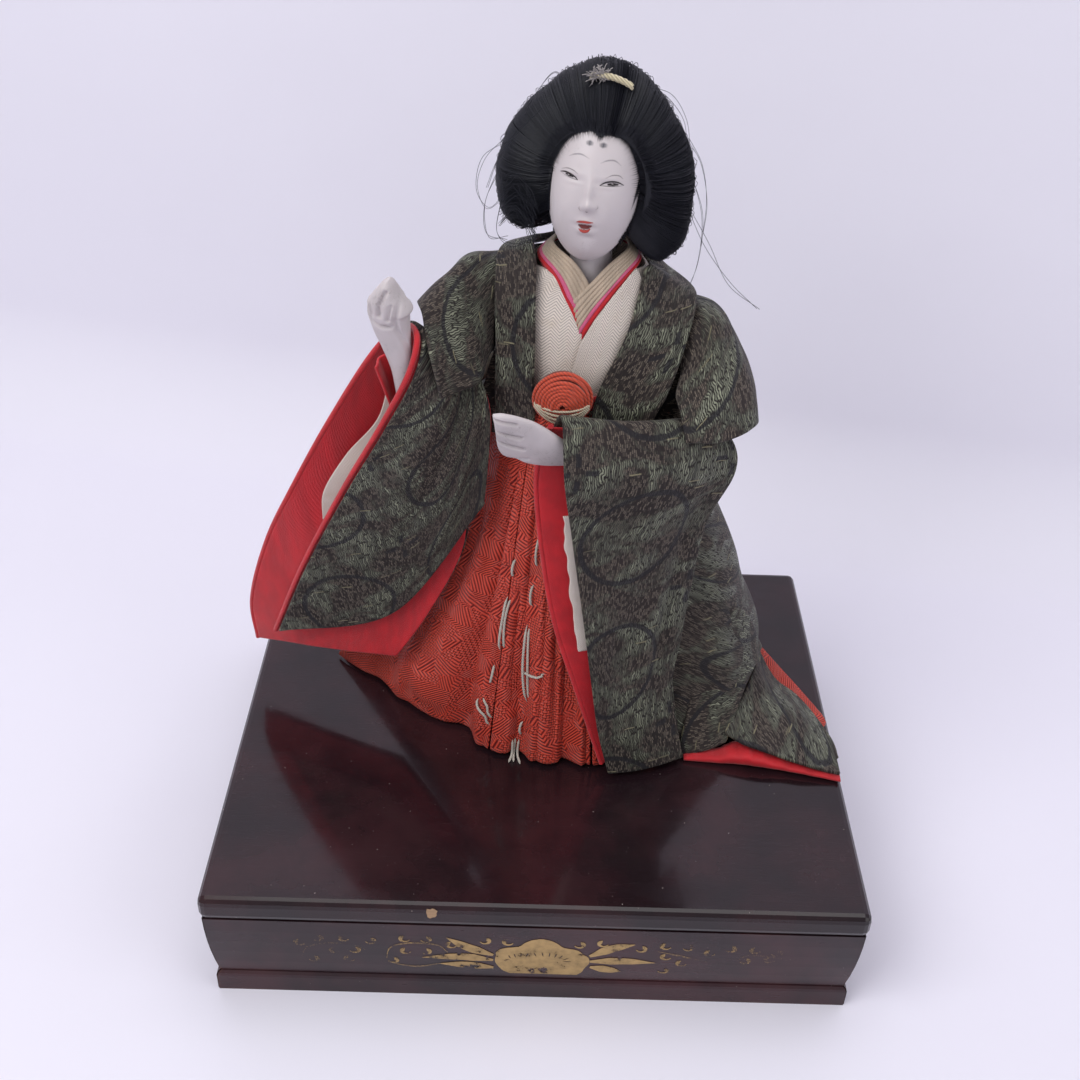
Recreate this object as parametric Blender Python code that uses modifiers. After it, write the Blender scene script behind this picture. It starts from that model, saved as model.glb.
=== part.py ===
"""A dressed festival doll on its lacquered stand, as separate pieces."""
from math import cos, exp, pi, radians, sin

import bmesh
import bpy
import numpy as np
from mathutils import Matrix, Vector

HUNDREDTH_SHARE = 0.01

# Gaps that keep neighbours apart
SEAT_GAP = 0.0003
CLOTH_GAP = 0.0004
CUT_OVERRUN = 0.004

# Stand
STAND_WIDTH = 0.180
STAND_DEPTH = 0.1529
BOARD_THICKNESS = 0.0077
BOARD_ROUND = 0.0022
BODY_HEIGHT = 0.0235
BODY_INSET = 0.0007
BODY_TUCK = 0.0019
RAIL_THICKNESS = 0.0080
PLINTH_HEIGHT = 0.0073
PLINTH_INSET = 0.0017
PLINTH_ROUND = 0.0016
STAND_HEIGHT = PLINTH_HEIGHT + BODY_HEIGHT + BOARD_THICKNESS + 2 * SEAT_GAP
PEG_BLOCK_SIDE = 0.0380
PEG_BLOCK_HEIGHT = 0.0120

# The figure is laid out from the stand's top on a grid of these three lengths.
# Tables of shares are hundredths of them: across, front to back, and up.
LAYOUT_WIDTH = 0.100
LAYOUT_DEPTH = 0.100
LAYOUT_HEIGHT = 0.100

# What carries the figure
PEG_RADIUS = 0.0030
PEG_CLEARANCE = 0.0004
BASE_HALF_WIDTH = 0.0240
BASE_HALF_DEPTH = 0.0180
BASE_THICKNESS = 0.0030
PEG_PLACE_SHARES = (8.0, 17.0)
STRAW_HALF_WIDTH = 0.0105
STRAW_HALF_DEPTH = 0.0075
STRAW_TOP_SHARE = 133.0
NECK_PLACE_SHARES = (9.3, 15.6)
NECK_STICK_RADIUS = 0.0022
NECK_STICK_LENGTH = 0.0360
NECK_STICK_DEPTH = 0.0220
NECK_RADIUS = 0.0060
NECK_BOTTOM_SHARE = 136.0
ARM_PAD_RADIUS = 0.0026
ARM_WIRE_RADIUS = 0.0009
WIRE_CLEARANCE = 0.0004

# Cloth thicknesses
ROBE_THICKNESS = 0.0012
LINING_THICKNESS = 0.0008
LAPEL_THICKNESS = 0.0016
KOSODE_THICKNESS = 0.0008
HAKAMA_THICKNESS = 0.0010
COLLAR_THICKNESS = 0.0004

# Head and hair
HEAD_WIDTH = 0.0232
HEAD_DEPTH = 0.0250
HEAD_HEIGHT = 0.0392
HEAD_CENTRE_SHARES = (9.3, 13.0, 165.8)
HEAD_TURN = radians(-11.0)
HEAD_TILT = radians(4.5)
HEAD_NOD = radians(-9.0)
HAIR_GAP = 0.0004

# Hands
RIGHT_WRIST_SHARES = (-37.3, -1.3, 108.0)
RIGHT_KNUCKLE_SHARES = (-40.6, -6.3, 139.5)
LEFT_WRIST_SHARES = (6.0, -14.6, 103.8)
LEFT_KNUCKLE_SHARES = (-7.5, -18.8, 111.4)
HAND_WIRE_LENGTH = 0.0090

# Knot and threads
KNOT_RADIUS = 0.0075
KNOT_DEPTH = 0.0048
KNOT_PLACE_SHARES = (3.0, -5.2, 115.6)
KNOT_CORD_RADIUS = 0.0005
BASTING_RADIUS = 0.0004

LACQUER = (0.018, 0.012, 0.014)
DARK_LACQUER = (0.030, 0.026, 0.026)
BARE_WOOD = (0.42, 0.28, 0.16)
STRAW = (0.60, 0.47, 0.26)
PAPER = (0.72, 0.68, 0.60)
STEEL = (0.45, 0.45, 0.46)
GOFUN = (0.80, 0.78, 0.78)
SILK_HAIR = (0.010, 0.010, 0.013)
CREAM_SILK = (0.66, 0.60, 0.50)
CREAM_COLLAR = (0.60, 0.53, 0.42)
PINK_SILK = (0.74, 0.28, 0.38)
RED_SILK = (0.58, 0.020, 0.035)
ORANGE_RED = (0.58, 0.085, 0.040)
KNOT_RED = (0.66, 0.10, 0.030)
BROCADE = (0.075, 0.082, 0.055)

PARTS = "hina_doll"
CUTTERS = "cutters"

# Chest, padding, arms and collars

# Half sizes of the dressed chest at each height: centre across, centre deep,
# half width, half depth, in hundredths of the layout lengths.
CHEST_SHARES = {
    92.0: (4.6, 16.0, 14.8, 12.2),
    100.0: (5.0, 16.0, 15.5, 12.5),
    110.0: (6.0, 16.0, 17.5, 13.0),
    120.0: (7.0, 16.0, 20.0, 13.0),
    130.0: (7.6, 16.5, 21.5, 12.0),
    138.0: (8.2, 17.0, 19.6, 10.5),
    143.0: (9.0, 16.8, 14.8, 9.4),
    147.0: (9.3, 16.3, 11.2, 8.4),
    149.5: (9.3, 16.0, 9.2, 7.9),
    153.0: (9.3, 15.6, 8.2, 7.6),
}
# The figure's left shoulder drops: its share of the half width
LOW_SHOULDER_SHARES = ((126.0, 1.0), (138.0, 0.88), (153.0, 0.92))
# Rings of the leg padding: centre across and deep, half width, half depth, height
PADDING_SHARES = (
    (6.0, 20.0, 43.0, 31.0, 0.6),
    (6.0, 20.0, 42.0, 30.0, 8.0),
    (6.0, 20.0, 36.0, 27.0, 25.0),
    (6.0, 19.0, 26.0, 21.0, 50.0),
    (6.0, 18.0, 17.0, 15.0, 76.0),
)
RIGHT_ARM_SHARES = ((-4.4, 16.5, 121.5), (-11.0, 14.5, 117.5), (-20.0, 11.5, 112.0),
                    (-27.5, 9.0, 100.5), (-32.0, 5.0, 90.5), (-35.0, 0.6, 89.5))
LEFT_ARM_SHARES = ((19.2, 16.5, 126.0), (30.5, 14.0, 124.5), (40.5, 11.0, 118.5),
                   (46.8, 4.8, 109.0), (45.0, -1.8, 102.6), (35.5, -8.6, 101.5))
ARM_POINTS = 12
COLLAR_STATIONS = (0.8, 3.0, 7.0, 13.0, 22.0, 36.0, 54.0, 75.0, 97.0, 120.0, 145.0, 180.0)
COLLAR_BOTTOM_SHARES = (127.0, 130.4, 132.3, 134.1, 135.9, 137.7, 139.5, 141.3)
COLLAR_SIDE_SHARES = (145.4, 146.0, 146.5, 147.0, 147.5, 148.0, 148.5, 149.0)
COLLAR_RISE_SHARE = 2.0
COLLAR_SPREAD = 20.0
COLLAR_TUCK = 0.6
COLLAR_LIFT = 0.0010
KOSODE_LIFT = 0.0014
KOSODE_BOTTOM_SHARE = 94.0
KOSODE_DROP_SHARE = 6.5
KOSODE_ANGLES = (0.8, 4, 10, 20, 34, 52, 70, 86, 104, 124, 150, 180)

# Waist and hakama
WAIST_SHARE = 107.0
WAISTBAND_BOTTOM_SHARE = 108.2
WAISTBAND_TOP_SHARE = 112.5
HEM_SHARE = 0.9
WAIST_LIFT = 0.0032
HAKAMA_FALL = 0.75
HAKAMA_SIDE_FALL = 0.50
# The hem's outline on the stand, from the figure's right corner round the front
HAKAMA_HEM_SHARES = (
    (-66.0, 25.5), (-55.0, 15.0), (-44.0, 5.5), (-32.0, -3.5), (-21.0, -11.5), (-14.0, -16.5),
    (-7.0, -19.7), (1.0, -21.5), (8.0, -22.5), (15.5, -22.0), (24.0, -18.5), (33.0, -13.0),
    (41.0, -5.5), (48.0, 4.0), (54.0, 17.0), (55.0, 32.0), (46.0, 46.0), (28.0, 54.0),
    (8.0, 56.5), (-12.0, 54.0), (-30.0, 47.0), (-43.0, 38.0), (-54.0, 31.0),
)
HAKAMA_CENTRE_SHARES = (5.0, 20.0)
# Each cloth's first and last place round the hem, counted in the points above
HAKAMA_RIGHT_LEG_SHARES = (0.12, 5.0)
HAKAMA_FRONT_PANEL_SHARES = (5.0, 9.0)
HAKAMA_LEFT_LEG_SHARES = (9.0, 14.5)
HAKAMA_BACK_SHARES = (14.5, 22.88)
HAKAMA_SEAM_SHARE = 0.06
FRONT_PANEL_PLEATS = 2.0
HAKAMA_PLEAT_DEPTH = 0.0016
LEG_PUFF = 0.0030
HAKAMA_TRAIL_SHARES = ((72.0, 35.5), (77.5, 24.5), (84.0, 11.0), (89.0, -1.5),
                       (84.0, -4.0), (79.0, 5.0), (74.0, 16.0), (71.0, 28.0))
TRAIL_THICKNESS = 0.0010

# Robe: each cloth is a smooth sheet through rows of points
ROBE_SHARES = (
    ((-6.8, 19.5, 144.6), (-6.4, 24.5, 143.0), (-2.8, 29.2, 142.0), (9.0, 31.8, 142.6),
     (20.4, 28.6, 141.0), (24.8, 24.4, 139.8), (26.8, 21.4, 138.8), (27.2, 20.0, 138.4)),
    ((-13.0, 20.5, 138.6), (-13.4, 24.0, 137.6), (-10.8, 30.8, 136.6), (9.0, 35.0, 138.0),
     (27.2, 30.8, 135.0), (30.4, 24.8, 133.2), (31.4, 21.6, 132.4), (31.6, 20.0, 132.2)),
    ((-16.8, 20.0, 127.0), (-17.2, 24.0, 127.0), (-13.5, 32.0, 127.0), (9.0, 37.0, 128.0),
     (29.0, 31.5, 126.0), (32.4, 25.5, 125.0), (33.0, 22.0, 124.5), (33.0, 20.0, 124.0)),
    ((-17.4, 20.5, 110.0), (-18.2, 25.0, 110.0), (-14.8, 34.5, 110.0), (8.0, 39.5, 110.0),
     (31.0, 34.5, 110.0), (36.4, 26.0, 110.0), (37.0, 21.0, 110.0), (36.8, 18.0, 110.0)),
    ((-22.6, 20.0, 90.0), (-24.0, 26.0, 90.0), (-18.5, 39.0, 90.0), (8.0, 45.0, 90.0),
     (34.0, 39.0, 90.0), (40.8, 26.5, 90.0), (41.2, 15.5, 90.0), (39.0, 8.0, 90.0)),
    ((-31.5, 26.5, 65.0), (-32.5, 33.0, 65.0), (-24.5, 46.5, 65.0), (8.0, 52.5, 65.0),
     (42.0, 46.0, 65.0), (49.4, 27.5, 65.0), (46.8, 11.5, 65.0), (37.4, 2.4, 65.0)),
    ((-43.5, 32.5, 40.0), (-44.0, 39.5, 40.0), (-31.5, 53.5, 40.0), (8.0, 60.0, 40.0),
     (49.5, 52.5, 40.0), (60.2, 29.0, 40.0), (54.2, 5.5, 40.0), (37.6, -3.6, 40.0)),
    ((-53.5, 37.5, 18.0), (-53.5, 45.0, 18.0), (-38.5, 61.0, 18.0), (8.0, 67.0, 18.0),
     (56.0, 58.5, 18.0), (68.0, 30.0, 18.0), (58.4, -2.4, 18.0), (39.0, -8.8, 18.0)),
    ((-60.0, 40.5, 1.1), (-60.0, 49.0, 1.1), (-43.5, 66.0, 1.1), (8.0, 72.0, 1.1),
     (60.0, 62.5, 1.1), (68.0, 33.0, 1.4), (59.6, -6.2, 4.2), (42.0, -14.4, 3.6)),
)
LAPEL_SHARES = (
    ((-4.0, -1.2, 105.0), (-14.5, 3.5, 104.0)),
    ((-4.4, -0.6, 116.0), (-14.5, 5.0, 115.0)),
    ((-4.6, 2.4, 130.0), (-14.8, 7.0, 126.0)),
    ((-4.6, 8.4, 145.0), (-15.2, 10.5, 139.5)),
    ((-5.4, 18.0, 147.8), (-14.2, 20.5, 143.8)),
    ((-1.8, 27.0, 145.8), (-6.5, 31.5, 141.8)),
    ((9.0, 30.8, 146.6), (9.0, 36.8, 143.0)),
    ((20.4, 27.0, 145.6), (26.0, 31.4, 138.6)),
    ((24.2, 17.6, 142.4), (36.0, 21.0, 135.6)),
    ((22.8, 9.6, 144.2), (37.0, 12.0, 133.6)),
    ((18.8, 2.4, 130.0), (34.0, 3.6, 124.0)),
    ((13.0, -0.8, 116.6), (30.5, -1.2, 114.5)),
    ((11.2, -2.2, 110.6), (28.0, -2.6, 109.6)),
    ((10.6, -3.4, 105.5), (26.5, -1.4, 104.5)),
)
RIGHT_SHOULDER_SHARES = (
    ((-15.8, 8.6, 121.0), (-15.2, 11.8, 132.5), (-14.4, 14.8, 139.0), (-14.4, 20.5, 142.0),
     (-14.8, 27.5, 139.5), (-15.5, 34.0, 129.0)),
    ((-18.5, -3.6, 118.0), (-21.0, 4.5, 131.5), (-22.0, 12.5, 140.3), (-22.3, 19.0, 142.2),
     (-22.0, 26.5, 138.0), (-21.5, 32.5, 126.0)),
    ((-22.5, -6.4, 117.0), (-26.5, -2.8, 129.5), (-28.2, 5.0, 138.0), (-28.5, 12.5, 139.5),
     (-27.8, 21.0, 134.5), (-26.5, 28.5, 122.0)),
    ((-28.0, -10.4, 116.5), (-30.4, -9.6, 127.5), (-33.0, -1.6, 135.2), (-34.2, 8.0, 133.4),
     (-34.4, 15.5, 127.5), (-34.5, 21.5, 116.0)),
)
LEFT_SHOULDER_SHARES = (
    ((33.0, 7.6, 121.0), (34.0, 10.6, 128.0), (34.2, 15.5, 130.8), (34.0, 21.0, 131.6),
     (33.8, 27.5, 130.0), (34.0, 33.0, 121.5)),
    ((33.8, 3.6, 119.0), (40.4, 5.5, 127.6), (42.4, 12.0, 132.0), (42.4, 19.5, 131.4),
     (41.2, 27.0, 126.0), (40.5, 32.0, 115.0)),
    ((32.4, -2.8, 115.2), (41.5, -2.2, 121.5), (47.2, 5.5, 126.0), (48.2, 13.0, 125.4),
     (47.2, 20.5, 120.5), (45.5, 27.0, 108.0)),
    ((33.2, -8.6, 113.6), (44.0, -8.8, 115.4), (51.0, -1.8, 117.4), (52.8, 7.0, 115.4),
     (51.5, 15.0, 109.5), (49.0, 23.0, 99.0)),
    ((35.0, -13.6, 107.4), (45.0, -12.4, 107.4), (53.2, -5.4, 108.4), (54.8, 5.5, 106.0),
     (54.0, 12.5, 100.0), (51.0, 19.5, 91.0)),
)
RIGHT_SLEEVE_SHARES = (
    ((-17.0, -5.0, 80.5), (-16.0, -5.0, 93.5), (-15.5, -4.0, 106.0), (-16.8, -1.4, 113.5),
     (-19.5, 4.0, 117.8), (-21.0, 12.5, 118.6), (-22.5, 19.5, 115.6), (-22.8, 22.0, 107.0),
     (-24.5, 17.5, 97.0), (-22.5, 7.0, 82.0), (-22.5, 1.0, 63.0), (-33.0, 0.0, 39.0),
     (-43.0, 0.6, 21.5)),
    ((-44.0, -1.8, 39.0), (-37.0, -4.5, 63.0), (-31.0, -6.5, 86.0), (-27.0, -7.0, 105.0),
     (-26.0, -5.0, 118.0), (-27.5, 1.0, 125.5), (-31.0, 9.5, 123.5), (-34.0, 14.0, 112.0),
     (-38.5, 13.5, 95.0), (-45.0, 10.5, 71.0), (-52.0, 8.0, 49.0), (-60.0, 7.0, 29.0),
     (-64.0, 7.5, 18.5)),
    ((-79.5, 5.5, 25.5), (-68.5, 0.8, 53.5), (-55.0, -3.4, 82.0), (-43.5, -6.8, 104.0),
     (-35.0, -8.2, 121.0), (-32.8, -5.8, 131.4), (-37.6, 3.6, 130.0), (-46.2, 6.6, 120.4),
     (-58.4, 9.8, 99.0), (-71.0, 12.2, 74.0), (-80.6, 14.0, 53.0), (-87.4, 15.8, 30.0),
     (-86.6, 15.2, 15.5)),
)
LEFT_SLEEVE_SHARES = (
    ((43.0, -20.0, 2.2), (38.5, -12.8, 22.0), (40.0, -9.0, 40.0), (41.5, -6.4, 58.0), (43.6, -6.2, 78.0),
     (49.6, -6.8, 94.5), (48.0, -6.6, 104.0), (41.0, -0.8, 106.0), (42.4, 1.0, 80.0), (41.4, -2.0, 66.0),
     (39.8, -5.2, 50.0), (38.0, -9.2, 30.0), (42.0, -16.9, 4.2)),
    ((36.5, -22.8, 1.9), (32.0, -17.4, 22.0), (31.0, -14.4, 40.0), (31.5, -12.4, 58.0), (33.0, -12.2, 78.0),
     (36.0, -13.2, 98.0), (37.0, -8.0, 110.0), (37.0, -1.2, 102.0), (34.0, -3.6, 84.0), (32.5, -7.0, 68.0),
     (31.5, -9.8, 50.0), (31.5, -13.4, 30.0), (35.5, -19.3, 4.2)),
    ((29.0, -25.3, 1.7), (24.0, -22.2, 22.0), (20.0, -19.8, 40.0), (19.0, -18.0, 58.0), (18.5, -17.6, 78.0),
     (19.0, -19.2, 99.0), (20.0, -13.6, 112.4), (20.5, -6.2, 104.0), (19.0, -8.4, 86.0), (18.5, -12.2, 68.0),
     (19.0, -15.0, 50.0), (21.5, -18.3, 30.0), (28.0, -22.0, 4.4)),
    ((20.6, -27.0, 1.7), (16.8, -26.0, 17.0), (14.4, -25.0, 32.0), (10.5, -22.7, 58.0), (7.0, -21.2, 80.0),
     (4.0, -21.4, 99.0), (2.6, -16.2, 114.8), (0.0, -9.6, 105.0), (-2.0, -9.6, 92.0), (0.5, -13.4, 70.0),
     (4.5, -17.2, 50.0), (11.0, -20.7, 30.0), (19.5, -24.0, 4.2)),
)
RIGHT_INNER_SHARES = (
    ((-50.0, 3.6, 64.0), (-46.0, 2.8, 76.0), (-40.5, 3.2, 89.0), (-36.0, 5.5, 98.0), (-35.0, 8.0, 110.0)),
    ((-56.5, 4.6, 65.0), (-54.0, 4.0, 76.0), (-48.0, 4.0, 89.0), (-41.5, 5.7, 99.5), (-39.5, 8.3, 111.5)),
    ((-63.5, 5.6, 67.0), (-62.5, 5.0, 77.0), (-55.5, 4.6, 89.5), (-46.5, 5.6, 100.5), (-43.0, 7.3, 113.0)),
)
LEFT_INNER_SHARES = (
    ((4.4, -19.9, 88.0), (5.6, -20.2, 74.0), (7.8, -21.3, 58.0), (10.2, -22.6, 44.5)),
    ((8.5, -19.0, 88.0), (9.8, -19.2, 74.0), (12.0, -20.2, 58.0), (14.0, -21.4, 44.5)),
)
TAIL_SHARES = (
    ((70.0, 25.0, 8.4), (74.2, 14.5, 4.8), (80.0, 8.5, 3.6),
     (85.0, 0.0, 2.9), (88.6, -10.0, 2.6), (89.2, -18.5, 2.4)),
    ((64.2, 3.0, 13.0), (69.5, -1.5, 10.5), (75.5, -5.0, 7.5),
     (81.0, -9.5, 5.2), (86.0, -15.0, 3.8), (89.2, -20.5, 2.8)),
    ((55.0, -15.5, 8.4), (60.5, -18.6, 7.0), (66.4, -20.6, 6.2),
     (73.0, -22.2, 4.8), (80.0, -24.0, 3.7), (89.2, -25.2, 2.7)),
)
# The left sleeve's lining shows on its back wall only: where that starts in its grid
LINING_FIRST_ROW = 13
LINING_FIRST_COLUMN = 6
LINING_RIM = 0.0012
# The padded hem: where across, front edge, back edge, top
TAIL_LINING_SHARES = (
    (46.5, -20.0, -14.5, 2.0),
    (53.0, -20.6, -15.5, 2.8),
    (60.0, -21.4, -13.0, 4.6),
    (66.5, -22.4, -12.0, 4.2),
    (73.0, -23.4, -11.0, 3.1),
    (81.0, -25.0, -13.0, 2.3),
    (89.2, -26.8, -20.0, 1.5),
)
UNDER_SLEEVE_START = 0.0010
UNDER_SLEEVE_LENGTH = 0.0140
UNDER_SLEEVE_FLARE = 0.0021
# Two running threads: points along each, across the front panel and down it
THREAD_SHARES = (
    ((62.0, 33.0), (62.0, 42.0), (60.0, 53.0), (56.0, 66.0), (54.0, 80.0), (51.0, 92.0)),
    ((42.0, 34.0), (40.0, 43.0), (36.0, 54.0), (31.0, 66.0), (24.0, 78.0)),
)
# Hair: rings from the figure's right wing to the left one:
# where across, centre deep, centre up, half depth, half height.
HAIR_SHARES = (
    (-15.4, 20.0, 165.0, 1.0, 3.0),
    (-14.4, 20.0, 164.0, 4.0, 7.0),
    (-12.0, 20.0, 165.2, 7.0, 12.3),
    (-8.0, 19.5, 166.9, 9.0, 15.9),
    (-2.0, 19.0, 170.5, 11.0, 17.9),
    (3.5, 18.6, 173.6, 12.6, 18.6),
    (9.3, 18.2, 175.2, 13.4, 19.1),
    (15.5, 17.6, 173.8, 13.2, 19.8),
    (21.0, 16.8, 169.1, 12.0, 21.3),
    (26.0, 15.5, 164.8, 9.6, 20.0),
    (30.0, 14.5, 162.9, 7.0, 15.7),
    (32.6, 14.0, 161.9, 4.0, 11.3),
    (33.8, 14.0, 162.2, 1.0, 5.0),
)
HAIR_RING_POINTS = 18
# Where each mass of hair begins and ends across
HAIR_PARTS_SHARES = (
    ("hair_right_wing", -30.0, -3.2),
    ("hair_crown", -2.9, 21.7),
    ("hair_left_wing", 22.0, 50.0),
)
WINDOW_HALF_WIDTH = 0.0120
WINDOW_SHIFT = 0.0009
WINDOW_TOP = 0.0130
WINDOW_BOTTOM = 0.0260
WINDOW_DEPTH = 0.0300
HAIR_TAIL_SHARES = ((9.2, 32.6, 172.0), (9.2, 36.4, 163.0), (9.2, 41.0, 154.0), (9.2, 42.6, 145.0),
                    (9.2, 42.6, 134.0), (9.2, 42.8, 122.0), (9.2, 43.6, 110.0), (9.2, 46.0, 98.0))
HAIR_TAIL_HALF_WIDTH = 0.0065
HAIR_TAIL_THICKNESS = 0.0032
# The tie's route: place across, and degrees up from the middle of the hair's front
HAIR_TIE_ROUTE_SHARES = ((3.0, 54.0), (5.2, 57.0), (7.4, 59.5), (9.8, 59.0),
                         (12.0, 57.5), (14.4, 56.5), (16.6, 55.5))
HAIR_TIE_RADIUS = 0.0009
# Rings along a hand from the wrist: place along, half width, half thickness,
# in hundredths of the hand's reach from wrist to knuckles.
RAISED_HAND_SHARES = ((0.0, 9.0, 9.0), (35.0, 11.5, 10.0), (62.0, 13.0, 10.5), (80.0, 13.8, 11.5),
                      (95.0, 15.0, 14.0), (108.0, 15.0, 15.0), (120.0, 12.0, 13.0), (126.0, 6.0, 7.0))
FLAT_HAND_SHARES = ((0.0, 19.0, 13.0), (30.0, 25.0, 13.0), (62.0, 36.0, 13.0), (100.0, 39.0, 11.5),
                    (130.0, 36.0, 9.5), (148.0, 30.0, 8.0), (155.0, 21.0, 5.0))
HAND_BORE_DEPTH = 0.0080


def clear_scene():
    for old in list(bpy.data.objects):
        bpy.data.objects.remove(old, do_unlink=True)


def collection(name):
    group = bpy.data.collections.get(name)
    if group is None:
        group = bpy.data.collections.new(name)
        bpy.context.scene.collection.children.link(group)
    return group


def material(name, colour, roughness=0.6, metallic=0.0):
    finish = bpy.data.materials.get(name)
    if finish is None:
        finish = bpy.data.materials.new(name)
        finish.use_nodes = True
        shader = finish.node_tree.nodes["Principled BSDF"]
        shader.inputs["Base Color"].default_value = (*colour, 1.0)
        shader.inputs["Roughness"].default_value = roughness
        shader.inputs["Metallic"].default_value = metallic
        finish.diffuse_color = (*colour, 1.0)
    return finish


def new_object(name, mesh, parent=None, finish=None, cutter=False):
    thing = bpy.data.objects.new(name, mesh)
    collection(CUTTERS if cutter else PARTS).objects.link(thing)
    thing.parent = parent
    if cutter:
        thing.hide_render = True
        thing.display_type = "WIRE"
    if finish is not None:
        mesh.materials.append(finish)
    return thing


def mesh_from(bm, name):
    mesh = bpy.data.meshes.new(name)
    bmesh.ops.recalc_face_normals(bm, faces=bm.faces)
    bm.to_mesh(mesh)
    bm.free()
    return mesh


def cut(thing, cutter, operation="DIFFERENCE"):
    boolean = thing.modifiers.new(cutter.name, "BOOLEAN")
    boolean.operation = operation
    boolean.object = cutter
    boolean.solver = "EXACT"


def smooth(mesh):
    mesh.shade_smooth()
    mesh.set_sharp_from_angle(angle=radians(40))


def layout(shares):
    """Points of the layout grid, in metres above the stand's top."""
    return np.array(shares, float) * HUNDREDTH_SHARE * (LAYOUT_WIDTH, LAYOUT_DEPTH, LAYOUT_HEIGHT)


def across(share):
    return share * HUNDREDTH_SHARE * LAYOUT_WIDTH


def deep(share):
    return share * HUNDREDTH_SHARE * LAYOUT_DEPTH


def up(share):
    return share * HUNDREDTH_SHARE * LAYOUT_HEIGHT


def smooth_line(points, count):
    """Points read evenly from a smooth curve through the given ones."""
    points = np.asarray(points, float)
    last = len(points) - 1
    start = 2 * points[0] - points[1]
    end = 2 * points[-1] - points[-2]
    padded = np.vstack([start[None], points, end[None]])
    line = []
    for place in np.linspace(0, last, count):
        i = min(int(place), last - 1)
        t = place - i
        a, b, c, d = padded[i:i + 4]
        line.append(0.5 * (2 * b + (c - a) * t + (2 * a - 5 * b + 4 * c - d) * t * t
                           + (3 * b - a - 3 * c + d) * t ** 3))
    return np.array(line)


def surface(sections, along_count, across_count):
    """A smooth sheet of points through sections, each a list of layout shares."""
    lines = [smooth_line(layout(section), along_count) for section in sections]
    columns = [smooth_line([line[i] for line in lines], across_count) for i in range(along_count)]
    return np.array(columns)


def sheet_normals(grid):
    first = np.gradient(grid, axis=0)
    second = np.gradient(grid, axis=1)
    normal = np.cross(first, second)
    return normal / np.maximum(np.linalg.norm(normal, axis=2, keepdims=True), 1e-12)


def shifted(grid, distance):
    """The sheet moved along its own normals."""
    distance = np.asarray(distance, float)
    if distance.ndim == 2:
        distance = distance[..., None]
    return grid + sheet_normals(grid) * distance


def cloth(name, grid, thickness, finish, parent):
    """A sheet of cloth: a grid of points given its thickness by Solidify."""
    rows, columns = grid.shape[:2]
    bm = bmesh.new()
    bmesh.ops.create_grid(bm, x_segments=columns - 1, y_segments=rows - 1, size=1.0)
    bm.verts.ensure_lookup_table()
    for i, vertex in enumerate(bm.verts):
        vertex.co = grid[i // columns, i % columns]
    mesh = bpy.data.meshes.new(name)
    bm.to_mesh(mesh)
    bm.free()
    mesh.shade_smooth()
    thing = new_object(name, mesh, parent, finish)
    solid = thing.modifiers.new("thickness", "SOLIDIFY")
    solid.thickness = thickness
    solid.offset = 0.0
    return thing


def loft_rings(name, rings, finish, parent, cutter=False):
    """A closed solid through rings of points, with flat ends."""
    bm = bmesh.new()
    loops = [[bm.verts.new(tuple(point)) for point in ring] for ring in rings]
    count = len(loops[0])
    for first, second in zip(loops, loops[1:]):
        for i in range(count):
            j = (i + 1) % count
            bm.faces.new((first[i], first[j], second[j], second[i]))
    bm.faces.new(loops[0])
    bm.faces.new(loops[-1])
    mesh = mesh_from(bm, name)
    smooth(mesh)
    return new_object(name, mesh, parent, finish, cutter)


def box(name, size, centre, finish, parent=None, bevel=0.0, cutter=False):
    bm = bmesh.new()
    bmesh.ops.create_cube(bm, size=1.0)
    bmesh.ops.scale(bm, vec=size, verts=bm.verts)
    thing = new_object(name, mesh_from(bm, name), parent, finish, cutter)
    thing.location = centre
    if bevel:
        rounding = thing.modifiers.new("rounded edges", "BEVEL")
        rounding.width = bevel
        rounding.segments = 3
    return thing


def cylinder(name, radius, bottom, top, place, finish, parent=None, sides=24, cutter=False):
    """An upright round or oval bar; radius is one length or two."""
    half_width, half_depth = radius if isinstance(radius, tuple) else (radius, radius)
    bm = bmesh.new()
    bmesh.ops.create_cone(bm, cap_ends=True, segments=sides, radius1=1.0, radius2=1.0, depth=1.0)
    bmesh.ops.scale(bm, vec=(half_width, half_depth, top - bottom), verts=bm.verts)
    mesh = mesh_from(bm, name)
    smooth(mesh)
    thing = new_object(name, mesh, parent, finish, cutter)
    thing.location = (place[0], place[1], (bottom + top) / 2)
    return thing


def tube(name, points, radius, finish, parent, cutter=False):
    """A round bar along points, as a mesh with welded caps."""
    curve = bpy.data.curves.new(name + "_route", "CURVE")
    curve.dimensions = "3D"
    curve.bevel_depth = radius
    curve.bevel_resolution = 2
    curve.use_fill_caps = True
    spline = curve.splines.new("POLY")
    spline.points.add(len(points) - 1)
    for slot, point in zip(spline.points, points):
        slot.co = (*point, 1.0)
    route = bpy.data.objects.new(name + "_route", curve)
    bpy.context.scene.collection.objects.link(route)
    route.parent = parent
    bpy.context.view_layer.update()
    evaluated = route.evaluated_get(bpy.context.evaluated_depsgraph_get())
    mesh = bpy.data.meshes.new_from_object(evaluated)
    mesh.name = name
    bpy.data.objects.remove(route, do_unlink=True)
    bpy.data.curves.remove(curve)
    bm = bmesh.new()
    bm.from_mesh(mesh)
    bmesh.ops.remove_doubles(bm, verts=bm.verts, dist=radius * HUNDREDTH_SHARE)
    bmesh.ops.recalc_face_normals(bm, faces=bm.faces)
    bm.to_mesh(mesh)
    bm.free()
    smooth(mesh)
    mesh.materials.clear()
    return new_object(name, mesh, parent, finish, cutter)


# Stand


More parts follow.
